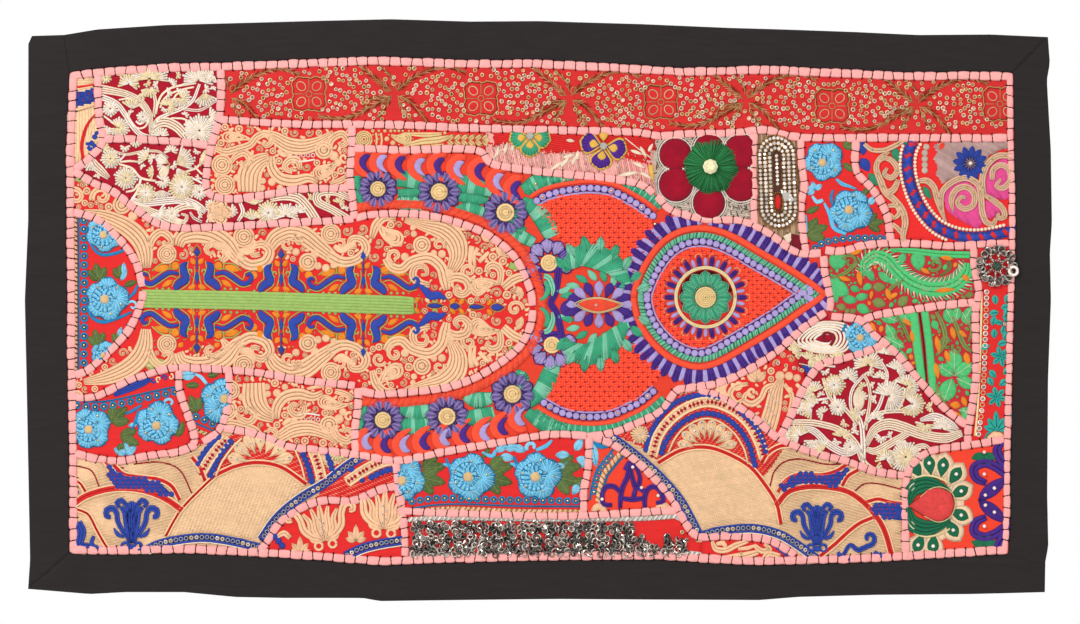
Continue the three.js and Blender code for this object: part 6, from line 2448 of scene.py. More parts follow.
def fern_upper(work):
    for count, points in FERN:
        if count == 3:
            fern_fringe(work, points, 6)
        band(work, points, count, LEAF_GREEN, 0.9)
    leaves(work, (
        (834, 270, -70, 22, 18), (831, 262, -20, 15, 10), (836, 298, -95, 24, 16), (831, 284, 30, 21, 16),
        (842, 298, 12, 16, 9), (916, 250, 80, 22, 15), (905, 253, 120, 14, 8), (930, 255, 40, 15, 7),
        (866, 268, 60, 16, 8), (878, 272, 40, 18, 8), (832, 290, 70, 14, 9), (855, 298, -10, 14, 8),
        (900, 284, 200, 16, 7),
    ), LEAF_GREEN, MINT * 0.8, 2)
    for line in (curl(850, 262, 8, 200, 420, 3.6, 2.4), curl(935, 264, 8, 150, -400, 3.6, 2.4)):
        band(work, line, 2, MOSS * 0.9, 0.9, 0.3)
    for points in ([(832, 278, 2), (845, 273, 4), (858, 262, 3)],
                   [(885, 296, 2), (892, 287, 4), (903, 280, 2)],
                   [(940, 276, 2), (950, 268, 3), (948, 258, 2)]):
        band(work, points, 2, MOSS * 0.9, 0.9, 0.2)
    leaves(work, (
        (850, 254, -20, 14, 6), (838, 277, 15, 14, 5), (858, 270, 80, 17, 6), (886, 288, 70, 14, 6),
        (940, 257, 10, 14, 5), (920, 268, 30, 12, 5), (962, 275, 40, 9, 6), (934, 291, -5, 22, 5),
        (872, 290, 100, 10, 4), (898, 293, 150, 12, 5),
    ), TANGERINE, None, high=1.1, lift=0.5)
    plume = smooth(FERN[0][1], 1.2)
    for _ in range(90):
        u, v, _ = plume[draw.randrange(len(plume))]
        place = Place(u + draw.uniform(-3, 3), v + draw.uniform(-3, 3), draw.uniform(0, 360))
        work.stroke(place([(-1.2, 0), (1.2, 0)]), 0.35, 0.4, SILVER_BEIGE * 1.2, 0.8)
    fill_foliage(work, 1800)


def fill_foliage(work, tries):
    """Small green leaves and orange buds between the larger ones."""
    def bit(u, v, r):
        turn = draw.uniform(0, 360)
        colour = (LEAF_GREEN, TANGERINE, MOSS * 0.9, LEAF_GREEN * 0.85, LEAF_GREEN)[draw.randrange(5)]
        place = Place(u, v, turn)
        leaf(work, Place(*place((-r * 1.25, 0)), turn), r * 2.5, r * 1.7, colour, None, 0, 0.9)
    work.fill_gaps(bit, 1.0, 6.0, tries, None, 0.05)


def fern_lower(work):
    band(work, [(913, 310, 8), (917, 345, 8), (922, 380, 7), (926, 396, 5)], 1, LEAF_GREEN, 1.1)
    band(work, [(924, 308, 7), (929, 345, 7), (932, 380, 7), (933, 396, 5)], 1, LEAF_GREEN, 1.1)
    work.stroke(smooth([(918.5, 308), (923.5, 345), (927, 396)]), 0.7, 0.8, MAROON, 0.6)
    leaves(work, (
        (878, 314, 20, 22, 12), (886, 324, 60, 20, 11), (902, 300, 80, 26, 14), (884, 336, 30, 24, 12),
        (896, 348, 60, 22, 11), (903, 362, 50, 16, 9), (945, 308, 60, 18, 14), (958, 306, 100, 16, 10),
        (962, 312, 60, 15, 10), (972, 306, 120, 16, 9), (954, 372, -90, 24, 17), (954, 376, -35, 23, 15),
        (954, 376, -145, 20, 13), (956, 378, 25, 22, 13), (952, 378, 110, 26, 18), (963, 408, 60, 20, 15),
        (958, 410, 10, 16, 9), (944, 392, 160, 12, 8),
    ), LEAF_GREEN, SILVER_BEIGE * 1.35, 3, 1.0, 0.5)
    for line in (curl(946, 341, 7, 60, 400, 3.4, 2.2), curl(957, 349, 6, 230, -360, 3.2, 2.2),
                 curl(900, 334, 6, 100, 330, 3.2, 2.2)):
        band(work, line, 2, MOSS * 0.9, 0.9, 0.2)
    for points in ([(936, 312, 3), (943, 326, 5), (945, 342, 5), (936, 356, 3)],
                   [(952, 316, 3), (958, 330, 5), (964, 345, 5), (972, 352, 3)],
                   [(893, 312, 2), (903, 326, 4), (910, 342, 3)],
                   [(936, 384, 3), (940, 398, 5), (948, 410, 4), (956, 420, 2)],
                   [(965, 318, 2), (972, 330, 4), (968, 342, 2)]):
        band(work, points, 2, MOSS * 0.9, 0.9, 0.1)
    leaves(work, (
        (936, 335, 80, 20, 6), (951, 326, 75, 15, 6), (945, 350, 70, 14, 6), (965, 352, 75, 14, 7),
        (958, 330, 40, 12, 5), (902, 318, 40, 13, 5), (911, 330, 80, 14, 5), (935, 362, 80, 18, 6),
        (940, 404, 60, 14, 6), (962, 396, 70, 12, 6), (950, 412, 20, 13, 5), (870, 322, 60, 12, 5),
    ), TANGERINE, None, high=1.1, lift=0.3)
    fill_foliage(work, 2000)


def silver_strip(work):
    band(work, [(981.5, 292, 2), (980.5, 340, 2), (978, 400, 2), (975, 436, 2)], 1, STRAW)
    line = evenly(smooth([(986.5, 292), (985, 340), (982.5, 400), (977.5, 440)], 3), 26)
    for (u, v), mark in zip(line, "SSSRSRSSSSRSSSRRSRSRSRSSSS"):
        if mark == "S":
            CUPS.add(u, v, 2.6, 2.4, 0.3, WHITE)
        else:
            work.stroke(loop(circle(u, v, 2.2, 9)), 0.55, 0.9, STRAW)

    def bud(u, v, turn, long=10.6, wide=7):
        place = Place(u, v, turn)
        work.pad(place(leaf_outline(long, wide, 0.55)), place((long * 0.5, 0)), 1.1, TURQUOISE)
        work.stroke(place([(long * 0.2, 0), (long * 0.75, 0)]), 0.5, 0.5, TURQUOISE * 0.35, 1.0)

    for u, v, turn in ((996, 305, -100), (999, 312, 170), (992, 326, -75), (1006, 304, -80),
                       (1012, 297, -60), (1002, 318, -30),
                       (1011, 306, 170), (1005, 318, -75), (994, 339, -90), (990, 345, 160),
                       (997, 345, -20), (1003, 340, -60),
                       (1009, 342, -80), (996, 378, -130), (1003, 375, -50), (993, 386, -120),
                       (999, 386, -40), (1007, 384, -70),
                       (1004, 412, 20), (1010, 408, 90), (1006, 424, -20)):
        bud(u, v, turn)
    for u, v, count in ((1004.5, 324, 4), (1000.5, 356.5, 6), (996.5, 397, 6)):
        for k in range(count):
            bud(u, v, 360 / count * k + 15, 11, 5.4)
    CUPS.add(1004.5, 324, 1.5, 3.4, 0.1, WHITE)
    for turn, long in ((-160, 14), (-125, 16), (-92, 21), (-60, 16), (-25, 13)):
        bud(996.5, 431, turn, long, 6.5)
    fan(work, 996, 441, 2, 9.5, 185, 170, (PEACH,), 12, (0.8, 1.6), 0.9)
    band(work, [(984, 440, 1.5), (988, 433, 2), (996, 430, 2), (1004, 432, 2), (1010, 438, 1.5)], 1,
         TURQUOISE * 0.7)


TREE_BANDS = [
    (3, [(789, 422, 5), (815, 423, 6), (840, 430, 6), (856, 444, 6), (862, 460, 5)]),
    (3, [(786, 428, 3), (812, 430, 6), (828, 444, 7), (846, 453, 7), (860, 448, 5)]),
    (4, [(866, 446, 4), (874, 430, 8), (888, 424, 10), (905, 428, 10), (924, 435, 9), (945, 438, 9),
         (962, 433, 6)]),
    (3, [(866, 449, 4), (876, 451, 7), (891, 443, 7), (908, 433, 6)]),
    (2, [(863, 462, 5), (863, 440, 5), (860, 420, 4), (851, 408, 3), (852, 390, 3), (863, 376, 3)]),
    (2, [(865, 430, 4), (870, 400, 3), (868, 383, 3), (863, 374, 3)]),
    (2, [(858, 425, 4), (846, 410, 4), (830, 398, 3.5), (823, 378, 3)]),
    (2, [(865, 424, 4), (878, 408, 3.6), (884, 390, 3.4), (887, 374, 3.2), (880, 360, 2.6)]),
    (2, [(868, 416, 3), (884, 412, 4), (900, 411, 4), (918, 414, 3)]),
    (1, [(898, 410, 1.8), (903, 400, 2), (905, 388, 2)]),
    (1, [(830, 398, 1.6), (818, 400, 2), (806, 404, 1.6)]),
    (1, [(823, 384, 1.6), (832, 378, 2), (842, 377, 1.6)]),
    (2, [(862, 458, 4), (868, 466, 5), (880, 472, 4)]),
    (1, [(836, 404, 1.6), (834, 394, 2), (836, 388, 1.6)]),
    (2, [(884, 390, 2), (894, 382, 3), (902, 376, 2)]),
    (3, [(908, 460, 3), (914, 449, 5), (924, 446, 5), (932, 452, 4)]),
    (3, [(920, 420, 3), (935, 417, 8), (950, 424, 7), (958, 430, 3)]),
]
TREE_HEADS = [
    (822.7, 366, 10, -190, 200, 10), (834, 385, 9.5, 0, 360, 13), (848, 378, 9, -200, 240, 10),
    (868, 365, 13, -200, 220, 14),
    (884, 354, 9, -170, 180, 9), (896, 370, 9, -160, 220, 10), (907, 386, 10.5, -160, 260, 12),
    (912, 404, 11, -140, 300, 13),
    (889, 396, 14, -170, 280, 16), (813, 392, 10, 60, 280, 12), (812, 408, 10, 90, 220, 11),
    (838, 407, 7.5, 0, 360, 10),
    (799, 406, 7, 0, 360, 9), (799, 436, 10, 100, 240, 10), (814, 440, 9, 0, 180, 8),
    (823, 451, 11, 60, 240, 11),
    (842, 437, 8, -170, 200, 8), (850, 447, 6, 0, 360, 8), (905.6, 457, 14, 0, 360, 18),
    (886, 459, 9, -200, 260, 10),
    (942, 429, 10, -180, 200, 10), (876, 419, 7, -180, 200, 8), (925, 424, 8, 0, 200, 8),
    (800, 388, 8, 0, 360, 10),
    (880, 378, 6, -180, 200, 7), (857, 414, 6, 60, 200, 6), (837, 360, 7, -180, 180, 7),
    (790, 436, 6, 90, 180, 6),
    (874, 470, 8, -60, 200, 8), (926, 462, 9, -200, 240, 9), (902, 440, 6, 20, 160, 6),
]


def tree(work):
    ivory(TREE_BANDS, TREE_HEADS)(work)
    leaf(work, Place(859, 412, -92), 26, 12, CREAM, STRAW, 3, 1.0, 0.45, 0.3)


def eye(work):
    middle = np.array([824, 339.0])
    almond = smooth([(794, 341), (806, 328), (824, 322), (846, 325), (852, 338), (844, 351), (824, 353),
                     (806, 349)], 3, True)
    for k in range(6):
        share = 1 - 0.135 * k
        work.stroke(loop(middle + (almond - middle) * (share, share)), 1.35, 0.9, (CREAM, WHITE)[k % 2])
    band(work, curl(826, 338, 8.5, 60, -380, 3, 2), 1, MAROON * 1.6, 0.8, 0.8)
    for u, v, r, start, sweep, count in ((791, 352, 10, -150, 280, 11), (808, 360, 8, -150, 240, 9),
                                         (812, 369, 6, -90, 180, 6),
                                         (784, 340, 6, -160, 200, 6), (822, 362, 8, -200, 220, 8),
                                         (838, 360, 8, -160, 140, 6)):
        sprig(work, u, v, r, start, sweep, count, (CREAM, STRAW), 0.2)
    rose(work, 862, 337, 18, 60)
    rose_beads(862, 337, 12, (-120, -20, 60, 170))
    band(work, [(846, 324, 4), (842, 332, 3)], 1, SEA)
    band(work, [(764, 357, 10), (780, 364, 10.5), (796, 369, 10.5), (814, 373, 10)], 4, ROYAL, 0.9, 0.2)
    for k in range(6):
        CUPS.add(770 + 8 * k, 360.5 + 2.5 * k, 1.9, 3.2, 0.2, (STRAW, WHITE)[k % 2])
    for by in (-6.2, 6.2):
        work.stroke(smooth([(764, 357 + by), (780, 364 + by), (796, 369 + by), (814, 373 + by)]), 0.7, 1.0,
                    CREAM, 0.3)


def fountain(work):
    bands(work, (
        (5, [(781, 379, 7), (776, 392, 14), (773, 408, 17), (768, 426, 18), (764, 440, 14)]),
        (2, [(776, 384, 4), (766, 388, 6), (761, 398, 6), (752, 404, 7), (744, 400, 6), (747, 393, 4),
             (752, 396, 3)]),
        (2, [(784, 384, 4), (792, 396, 5), (790, 412, 5), (786, 428, 6), (790, 436, 5), (795, 431, 3)]),
        (2, [(748, 384, 4), (736, 386, 6), (730, 394, 6), (736, 403, 6), (744, 399, 3)]),
        (1, [(764, 418, 4), (758, 425, 6), (751, 424, 4)]),
        (1, [(728, 382, 3), (723, 390, 6), (727, 400, 5)]),
        (2, [(708, 372, 3), (716, 380, 6), (722, 392, 7), (734, 406, 6)]),
        (1, [(796, 384, 3), (802, 390, 5), (799, 399, 5)]),
        (1, [(792, 404, 3), (799, 409, 5), (797, 418, 4)]),
    ), PEACH, 1.1)
    leaves(work, (
        (757, 380, -95, 15, 10), (757, 382, -140, 14, 8), (757, 382, -50, 14, 8), (740, 378, -80, 12, 8),
        (716, 386, 60, 14, 8), (744, 412, 30, 14, 7), (752, 432, 0, 12, 7), (700, 376, 0, 14, 6),
    ), PEACH, PEACH * 0.75, 0)
    ball(work, 780, 376, 5, PEACH)
    for u, v, r, start, sweep in ((724, 378, 5.5, 30, 380), (738, 385, 6, 200, -380),
                                  (752, 392, 5.5, 60, 360), (712, 384, 4.5, 120, 360)):
        band(work, curl(u, v, r, start, sweep, 3.4, 2.6), 1, PEACH, 1.1)
    balls(work, (
        (789, 376, 4.5), (797, 378, 4), (790, 390, 3), (734, 376, 3.4), (726, 372, 3.4), (738, 412, 3),
    ), PEACH)
    for k in range(9):
        CUPS.add(773 + (k % 3 - 1) * 4 - k * 0.6, 392 + k * 4.6, 1.3, 3.6, 0.2, WHITE)
    work.fill_gaps(lambda u, v, r: peach_filler(work, u, v, r), 1.6, 5.0, 600)


def blue_dots(work, points, r=3.4, pitch=5.6):
    """A row of royal blue balls."""
    for u, v in spaced(smooth(points, 2), pitch):
        ball(work, u, v, r, ROYAL, 1.2, 0.5)


def zigzag_band(work, points, wide=8.6):
    """A sand band with a row of dark red diamonds."""
    line = smooth(points, 2)
    for by in (-wide / 2, wide / 2):
        band(work, broad(offset(line, by), 2.2), 1, SAND, 1.0, 0.5)
    satin(work, broad(line, wide - 1.5), (SAND,), 1, 1.7, 0, 0.5, 0.3)
    s = lengths_along(line)
    side = sides_of(line)
    for at in np.arange(1.5, s[-1], 4.6):
        k = int(np.searchsorted(s, at)) - 1
        u, v = line[k]
        turn = math.degrees(math.atan2(*side[k][::-1]))
        work.pad(Place(u, v, turn)([(-2.8, 0), (0, -2.0), (2.8, 0), (0, 2.0)]), None, 0.9, DEEP_RED * 1.2,
                 0.6)


def ring_band(work, points, wide=7.5):
    """The blue band of small pale rings that edges the fans."""
    line = smooth(points, 2)
    for by, colour, thick in ((-wide / 2, ROYAL, 1.8), (-wide / 2 - 1.6, CREAM, 1.0),
                              (wide / 2 - 0.6, ROYAL, 1.6)):
        band(work, broad(offset(line, by), thick), 1, colour, 0.9, 0.5)
    satin(work, broad(line, wide - 2.6), (NAVY, ROYAL), 1, 1.6, 0, 0.4, 0.4)
    for i, (u, v) in enumerate(spaced(line, 5.2, 2.5)):
        work.stroke(loop(circle(u, v, 1.9, 8)), 0.5, 0.7, SILVER, 0.9)
        if i % 5 < 2 and work.inside(np.array([[u, v]]))[0]:
            CUPS.add(u, v, 1.7, 3.0, 0.2, (STRAW, WHITE)[i % 2])


def half_daisy(work, u, v, r, start, sweep, petals=7):
    """Sand petals that spread from the foot of a fan, with sequins on them."""
    for k in range(petals):
        a = start + sweep * (k + 0.5) / petals
        place = Place(*toward(u, v, a, r * 0.3), a)
        wide = 2.0 * r * 0.86 * math.tan(math.radians(sweep / petals / 2))
        work.pad(place(leaf_outline(r * 0.74, wide, 0.68)), place((r * 0.45, 0)), 1.2, SAND, 0.4)
        for side in (-0.22, 0.22):
            work.stroke(place([(r * 0.12, side * wide * 0.4), (r * 0.6, side * wide)]), 0.35, 0.4,
                        SAND * 0.78, 1.45)
        for far in (0.4, 0.6):
            CUPS.add(*place((r * far, 0)), 1.5, 3.6, 0.3, WHITE)


def red_line(work, points, wide=3.4):
    """A red line between two thin sand ones."""
    line = smooth(points, 2.5)
    for by in (-wide / 2 - 0.7, wide / 2 + 0.7):
        band(work, broad(offset(line, by), 1.5), 1, SAND, 0.8, 0.5)
    band(work, broad(line, wide), 2, RED * 0.9, 0.9, 0.6)


def fleur(work, u, v, size):
    """A royal blue lily that stands on its foot."""
    place = Place(u, v, -90, size)
    for y, long in ((0, 42), (-6, 36), (6, 36), (-3, 40), (3, 40)):
        band(work, broad(place([(0, y * 0.3), (long * 0.5, y * 0.8), (long * 0.85, y * 1.1),
                                (long, y * 1.8)]), np.array([5, 6, 6, 4]) * size), 2, ROYAL, 1.1, 0.5)
    for way in (-1, 1):
        line = np.vstack([broad(place([(4, 3 * way), (12, 9 * way), (22, 14 * way)]), (3, 4.5, 5)),
                          broad(place([(30, 15 * way), (35, 19 * way), (33, 25 * way), (27, 25 * way),
                                       (26, 21 * way)]), (5, 6, 6, 5.5, 4))])
        line[:, 2] *= size
        band(work, line, 2, ROYAL, 1.2, 0.5)
        line = broad(place([(38, 6 * way), (43, 10 * way), (40, 15 * way), (36, 12 * way)]),
                     np.array([4, 5, 5, 3]) * size)
        band(work, line, 2, ROYAL, 1.2, 0.5)
        line = broad(place([(6, 8 * way), (9, 14 * way), (15, 18 * way)]), np.array([2, 4, 1]) * size)
        band(work, line, 1, ROYAL, 1.1, 0.5)
        work.stroke(loop(circle(*place((-3, 6.5 * way)), 3.6 * size, 12)), 1.5 * size, 1.1, ROYAL, 0.5)
    ball(work, *place((-4, 0)), 3.2 * size, ROYAL, 1.2, 0.6)


def scales(work, outline):
    """Overlapping royal blue scales over a dark blue shape, with red between them."""
    pitch = 5.4
    o = smooth(outline, 3, closed=True)
    work.pad(o, None, 0.9, ROYAL * 0.85, 0.5)
    work.stroke(loop(o), 0.6, 1.1, SAND, 0.5)
    for row, v in enumerate(np.arange(o[:, 1].min(), o[:, 1].max(), pitch * 0.72)):
        for u in np.arange(o[:, 0].min() + (row % 2) * pitch / 2, o[:, 0].max(), pitch):
            if within(o, u, v) and braid_gap(u, v) > 5.5:
                ball(work, u, v, pitch * 0.54, ROYAL, 0.9, 1.0)
                ball(work, u - pitch * 0.5, v, 0.75, RED, 0.8, 1.7)


def lens(work, outline, turn):
    """A shape filled with fine sand rows."""
    work.fill(outline, turn, 1.5, 0.4, SAND, 0, 0.05, 4.2)


def fan_left(work):
    lens(work, [(60, 420), (400, 420), (400, 560), (60, 560)], 8)
    lens(work, [(164, 538), (181, 510), (203, 487), (216, 474), (236, 465), (259, 462), (282, 467),
                (306, 484), (292, 503), (272, 519), (256, 540), (234, 536), (201, 533), (176, 537)], 34)
    work.fill([(197, 465), (214, 440), (240, 432), (300, 432), (330, 470), (306, 486), (282, 466),
               (259, 461), (236, 464), (216, 474), (205, 486)], 20, 2.0, 0.5, RED, 0, 0.04, 4)
    work.fill([(325, 470), (350, 458), (412, 436), (412, 500), (360, 500), (330, 508), (300, 520),
               (318, 494)], 20, 2.0, 0.5, RED, 0, 0.04, 4)
    blue_dots(work, [(197, 466), (203, 455), (214, 441), (222, 436)])
    zigzag_band(work, [(201, 474), (209, 460), (219, 447), (228, 438)])
    blue_dots(work, [(210, 478), (216, 463), (224, 450), (234, 438)])
    work.stroke(smooth([(216, 476), (222, 462), (232, 448), (242, 438)]), 1.2, 1.6, SAND, 0.5)
    for points in ([(302, 452), (308, 466), (312, 482)], [(326, 450), (330, 462), (334, 476)]):
        blue_dots(work, points)
    zigzag_band(work, [(313, 451), (318, 464), (322, 480)])
    work.stroke(smooth([(295, 450), (301, 464), (305, 480)]), 1.1, 1.6, SAND, 0.5)
    half_daisy(work, 260.5, 464, 33, -180, 180)
    sprig(work, 338, 452, 8, 0, 360, 9, (STRAW, STRAW), 0.8)
    ring_band(work, [(412, 444), (385, 447), (364, 456), (345, 468), (325, 484), (306, 495), (288, 508),
                     (274, 522), (262, 540)])
    zigzag_band(work, [(412, 458), (385, 461), (365, 470), (347, 482)], 9)
    blue_dots(work, [(412, 452), (388, 453), (372, 460)])
    blue_dots(work, [(412, 468), (388, 470), (370, 478)])
    for u, v in ((352, 470), (362, 480)):
        ball(work, u, v, 3, ROYAL, 1.2, 0.4)
    red_line(work, [(216, 475), (236, 466), (259, 462.5), (282, 467.5), (306, 484)])
    red_line(work, [(216, 475), (203, 487), (181, 510), (166, 536)], 2.4)
    red_line(work, [(70, 507), (84, 497), (100, 491), (118, 488), (137, 489), (153, 493), (168, 500),
                    (182, 510)], 5.5)
    red_line(work, [(114, 465), (124, 474), (140, 477), (158, 479), (172, 486), (180, 500)], 3.4)
    red_line(work, [(192, 457), (200, 467), (205, 480)], 3.4)
    red_line(work, [(103, 458), (110, 468), (115, 484)], 3.4)
    red_line(work, [(70, 478), (80, 483), (86, 492)], 2.4)
    for points in ([(134, 464), (160, 462), (180, 470), (192, 493)], [(78, 466), (92, 471), (100, 488)],
                   [(108, 456), (116, 466), (124, 468)]):
        work.stroke(smooth(points), 0.75, 0.9, DEEP_RED, 0.3)
    scales(work, [(107, 463), (117, 472), (134, 477), (150, 479), (163, 485), (174, 497), (160, 494),
                  (142, 490), (122, 489), (114, 486)])
    scales(work, [(68, 488), (76, 488), (80, 493), (70, 498)])
    ring_band(work, [(140, 553), (158, 544), (180, 539), (206, 537), (234, 541), (262, 548)])
    red_line(work, [(72, 508), (88, 514), (97, 530), (108, 548), (120, 556)], 2.4)
    fleur(work, 132, 543, 1.0)
    band(work, [(78, 522, 8), (82, 532, 9), (80, 544, 7), (90, 546, 5)], 3, ROYAL, 1.1, 0.5)
    band(work, [(94, 536, 3), (92, 544, 4), (102, 550, 3)], 1, ROYAL, 1.1, 0.5)
    scales(work, [(183, 446), (196, 436), (206, 430), (200, 444), (192, 450)])


def fan_right(work):
    lens(work, [(600, 380), (910, 380), (910, 570), (600, 570)], -8)
    work.fill([(612, 434), (640, 420), (670, 396), (715, 388), (748, 400), (790, 440), (770, 470),
               (760, 480), (749, 464), (721, 450),
               (700, 446), (679, 450), (658, 462), (640, 446)], 12, 2.0, 0.5, RED, 0, 0.04, 4)
    lens(work, [(658, 464), (679, 452), (700, 448), (721, 452), (749, 466), (768, 489), (777, 505),
                (781, 524), (756, 522), (735, 521), (714, 524), (702, 529), (694, 509), (678, 488)], 38)
    blue_dots(work, [(645.6, 452), (649, 438), (655, 425), (665, 411), (682, 399.5), (702, 395),
                     (722, 398)], 3.2, 5.4)
    blue_dots(work, [(738, 410), (750, 421), (760, 434), (766, 452)], 3.2, 5.4)
    zigzag_band(work, [(652, 456), (658, 436), (671, 419), (690, 406), (712, 402), (735, 411), (750, 425),
                       (760, 444), (764, 458)])
    blue_dots(work, [(661, 455), (666, 441), (679, 425), (700, 414), (721, 416), (738, 428), (749, 445),
                     (755, 466)], 3.2, 5.4)
    work.stroke(smooth([(668, 453), (674, 440), (684, 428), (702, 419), (718, 421), (734, 433), (744, 449),
                        (748, 464)]), 1.1, 1.6, SAND, 0.5)
    half_daisy(work, 707, 449, 30, -180, 180, 8)
    sprig(work, 640, 434.5, 8, 0, 360, 10, (SAND, SAND * 0.9), 0.8)
    CUPS.add(640, 434.5, 1.6, 3.4, 0.1, WHITE)
    red_line(work, [(658, 463), (679, 451), (700, 447), (721, 451), (749, 466), (768, 489), (777, 505),
                    (781, 524)])
    ring_band(work, [(608, 434), (622, 444), (640, 458), (661, 477), (680, 499), (691, 518), (699, 534)])
    ring_band(work, [(700, 536), (716, 531), (735, 528.5), (756, 528), (780, 534), (800, 546), (816, 558)])
    red_line(work, [(776, 506), (788, 492), (806, 487), (825, 487), (846, 491), (862, 501), (876, 516),
                    (885, 532), (892, 556)], 5.0)
    red_line(work, [(820, 556), (834, 545), (848, 532), (860, 523), (874, 517)], 3.4)
    red_line(work, [(762, 462), (768, 453), (780, 446), (796, 445)], 3.2)
    red_line(work, [(778, 492), (786, 480), (800, 474), (820, 475), (836, 471), (847, 464)], 3.2)
    red_line(work, [(842, 486), (848, 476), (858, 470)], 3.2)
    red_line(work, [(866, 502), (878, 499), (890, 502), (906, 504)], 3.2)
    for points in ([(770, 486), (774, 472), (784, 462), (800, 459), (824, 464), (844, 464)],
                   [(852, 494), (864, 484), (880, 484), (904, 490)],
                   [(880, 516), (892, 514), (906, 522)]):
        work.stroke(smooth(points), 0.75, 0.9, DEEP_RED, 0.3)
    scales(work, [(779, 491), (788, 478), (803, 473), (820, 475), (836, 473), (849, 466), (842, 480),
                  (834, 487), (818, 484), (800, 484)])
    scales(work, [(868, 508), (880, 502), (892, 502), (906, 504), (906, 520), (890, 519), (877, 514)])
    fleur(work, 817, 545, 0.95)
    band(work, np.vstack([[(843, 556, 4), (850, 545, 4), (858, 550, 5), (868, 546, 5)],
                          curl(869, 538, 7, 60, -300, 5, 4)]), 2, ROYAL, 1.1, 0.5)
    band(work, [(838, 552, 3), (842, 558, 4), (850, 560, 3)], 1, ROYAL, 1.1, 0.5)
    band(work, [(874, 552, 4), (880, 556, 5), (886, 554, 3)], 1, ROYAL, 1.1, 0.5)
    for u, v, r in ((682, 532, 2), (672, 497, 2)):
        CUPS.add(u, v, r, 3.2, 0.2, STRAW)


def lotus_motif(work, u, v, size, turn):
    """A peach lotus with rolled side petals."""
    place = Place(u, v, turn, size)
    for y, long, top in ((0, 38, 7), (-6, 34, 6), (6, 34, 6), (-12, 30, 6), (12, 30, 6)):
        points = place([(0, y * 0.2), (long * 0.35, y * 0.95), (long * 0.7, y * 1.0), (long, y * 1.45)])
        band(work, broad(points, np.array([4, top, top, 3]) * size), 2, PEACH, 1.1)
    for way in (-1, 1):
        points = place([(2, 3 * way), (6, 12 * way), (14, 19 * way), (25, 21 * way), (33, 26 * way),
                        (32, 33 * way), (26, 33 * way), (26, 29 * way)])
        band(work, broad(points, np.array([5, 7, 7.5, 7, 7.5, 7, 6, 4]) * size), 2, PEACH, 1.2, 0.4)
        work.stroke(loop(circle(*place((-4, 7 * way)), 3.8 * size, 12)), 1.5 * size, 1.1, PEACH)
        points = place([(0, 5 * way), (2, 12 * way), (7, 15 * way)])
        band(work, broad(points, np.array([3, 4, 1.5]) * size), 1, PEACH, 1.1)
    for k in range(5):
        CUPS.add(*place((6 + 4 * k, (k % 2 - 0.5) * 3)), 1.3, 3.6, 0.2, WHITE)


def lotus(work):
    lotus_motif(work, 325, 541, 1.0, -100)
    lotus_motif(work, 384, 529, 1.05, -88)
    for u, v in ((356, 541), (300, 553)):
        for turn, long in ((-90, 17), (-130, 13), (-50, 13), (-165, 11), (-15, 11)):
            leaf(work, Place(u, v, turn), long, 6.5, PEACH, PEACH * 0.75, 0)
    band(work, [(277, 537, 4), (284, 533, 6), (290, 538, 5)], 2, PEACH)
    ring_band(work, [(345, 556), (362, 548), (382, 543), (408, 539)], 8)
    blue_dots(work, [(268, 530), (276, 538), (284, 548)], 3.4, 6)


def rose_strip(work):
    rose(work, 403, 478, 23, 10)
    rose(work, 471, 477, 24, 80)
    rose(work, 538, 476, 24, 60)
    rose_beads(403, 478, 15, (-50, 20, 70))
    rose_beads(471, 477, 16, (-160, -90, -10, 80, 160))
    rose_beads(538, 476, 16, (-170, -80, 0, 70, 140))
    for u in (430, 497, 566):
        leaf_group(work, u - 8, 469, -24, 25, 34, 2)
        leaf_group(work, u - 9, 477, 14, 26, 42, 3)
    leaf_group(work, 482, 458, -50, 13, 30, 1)
    leaf_group(work, 574, 480, 20, 16, 30, 2)
    for u, v, turn in ((496, 452, -40), (504, 448, -5), (512, 446, 20), (500, 456, 10), (575, 451, -60),
                       (570, 455, 180), (576, 458, 20),
                       (568, 462, 150), (582, 468, -60), (583, 475, -20), (580, 482, 120), (586, 478, 60)):
        leaf(work, Place(u, v, turn), 15, 9, PALE_SKY, SKY, 3)
    for points in ([(446, 458, 2), (451, 470, 4), (455, 484, 5), (466, 497, 3)],
                   [(514, 456, 2), (518, 468, 4), (523, 484, 5), (534, 496, 3)]):
        band(work, points, 2, SEA, 1.0)
    for points in ([(443, 464, 2), (450, 466, 4), (454, 472, 3)],
                   [(510, 463, 2), (517, 466, 4), (522, 472, 3)],
                   [(482, 452, 2), (492, 456, 4), (496, 450, 3)],
                   [(536, 450, 3), (546, 446, 4), (552, 440, 2)]):
        band(work, points, 1, SKY, 1.0)
    band(work, curl(532, 447, 6.5, 150, 260, 4, 3), 1, PALE_SKY)
    chained_rings(work, [(408, 502), (440, 498), (480, 499), (520, 500), (590, 501)], 8.2, 3.7,
                  [(406, 509), (450, 504), (520, 506), (590, 506.5)])
    rope(work, [(406, 513), (450, 509), (520, 511.5), (592, 512)], 4.6, (PEACH, OLD_GOLD, PEACH), 1.7)


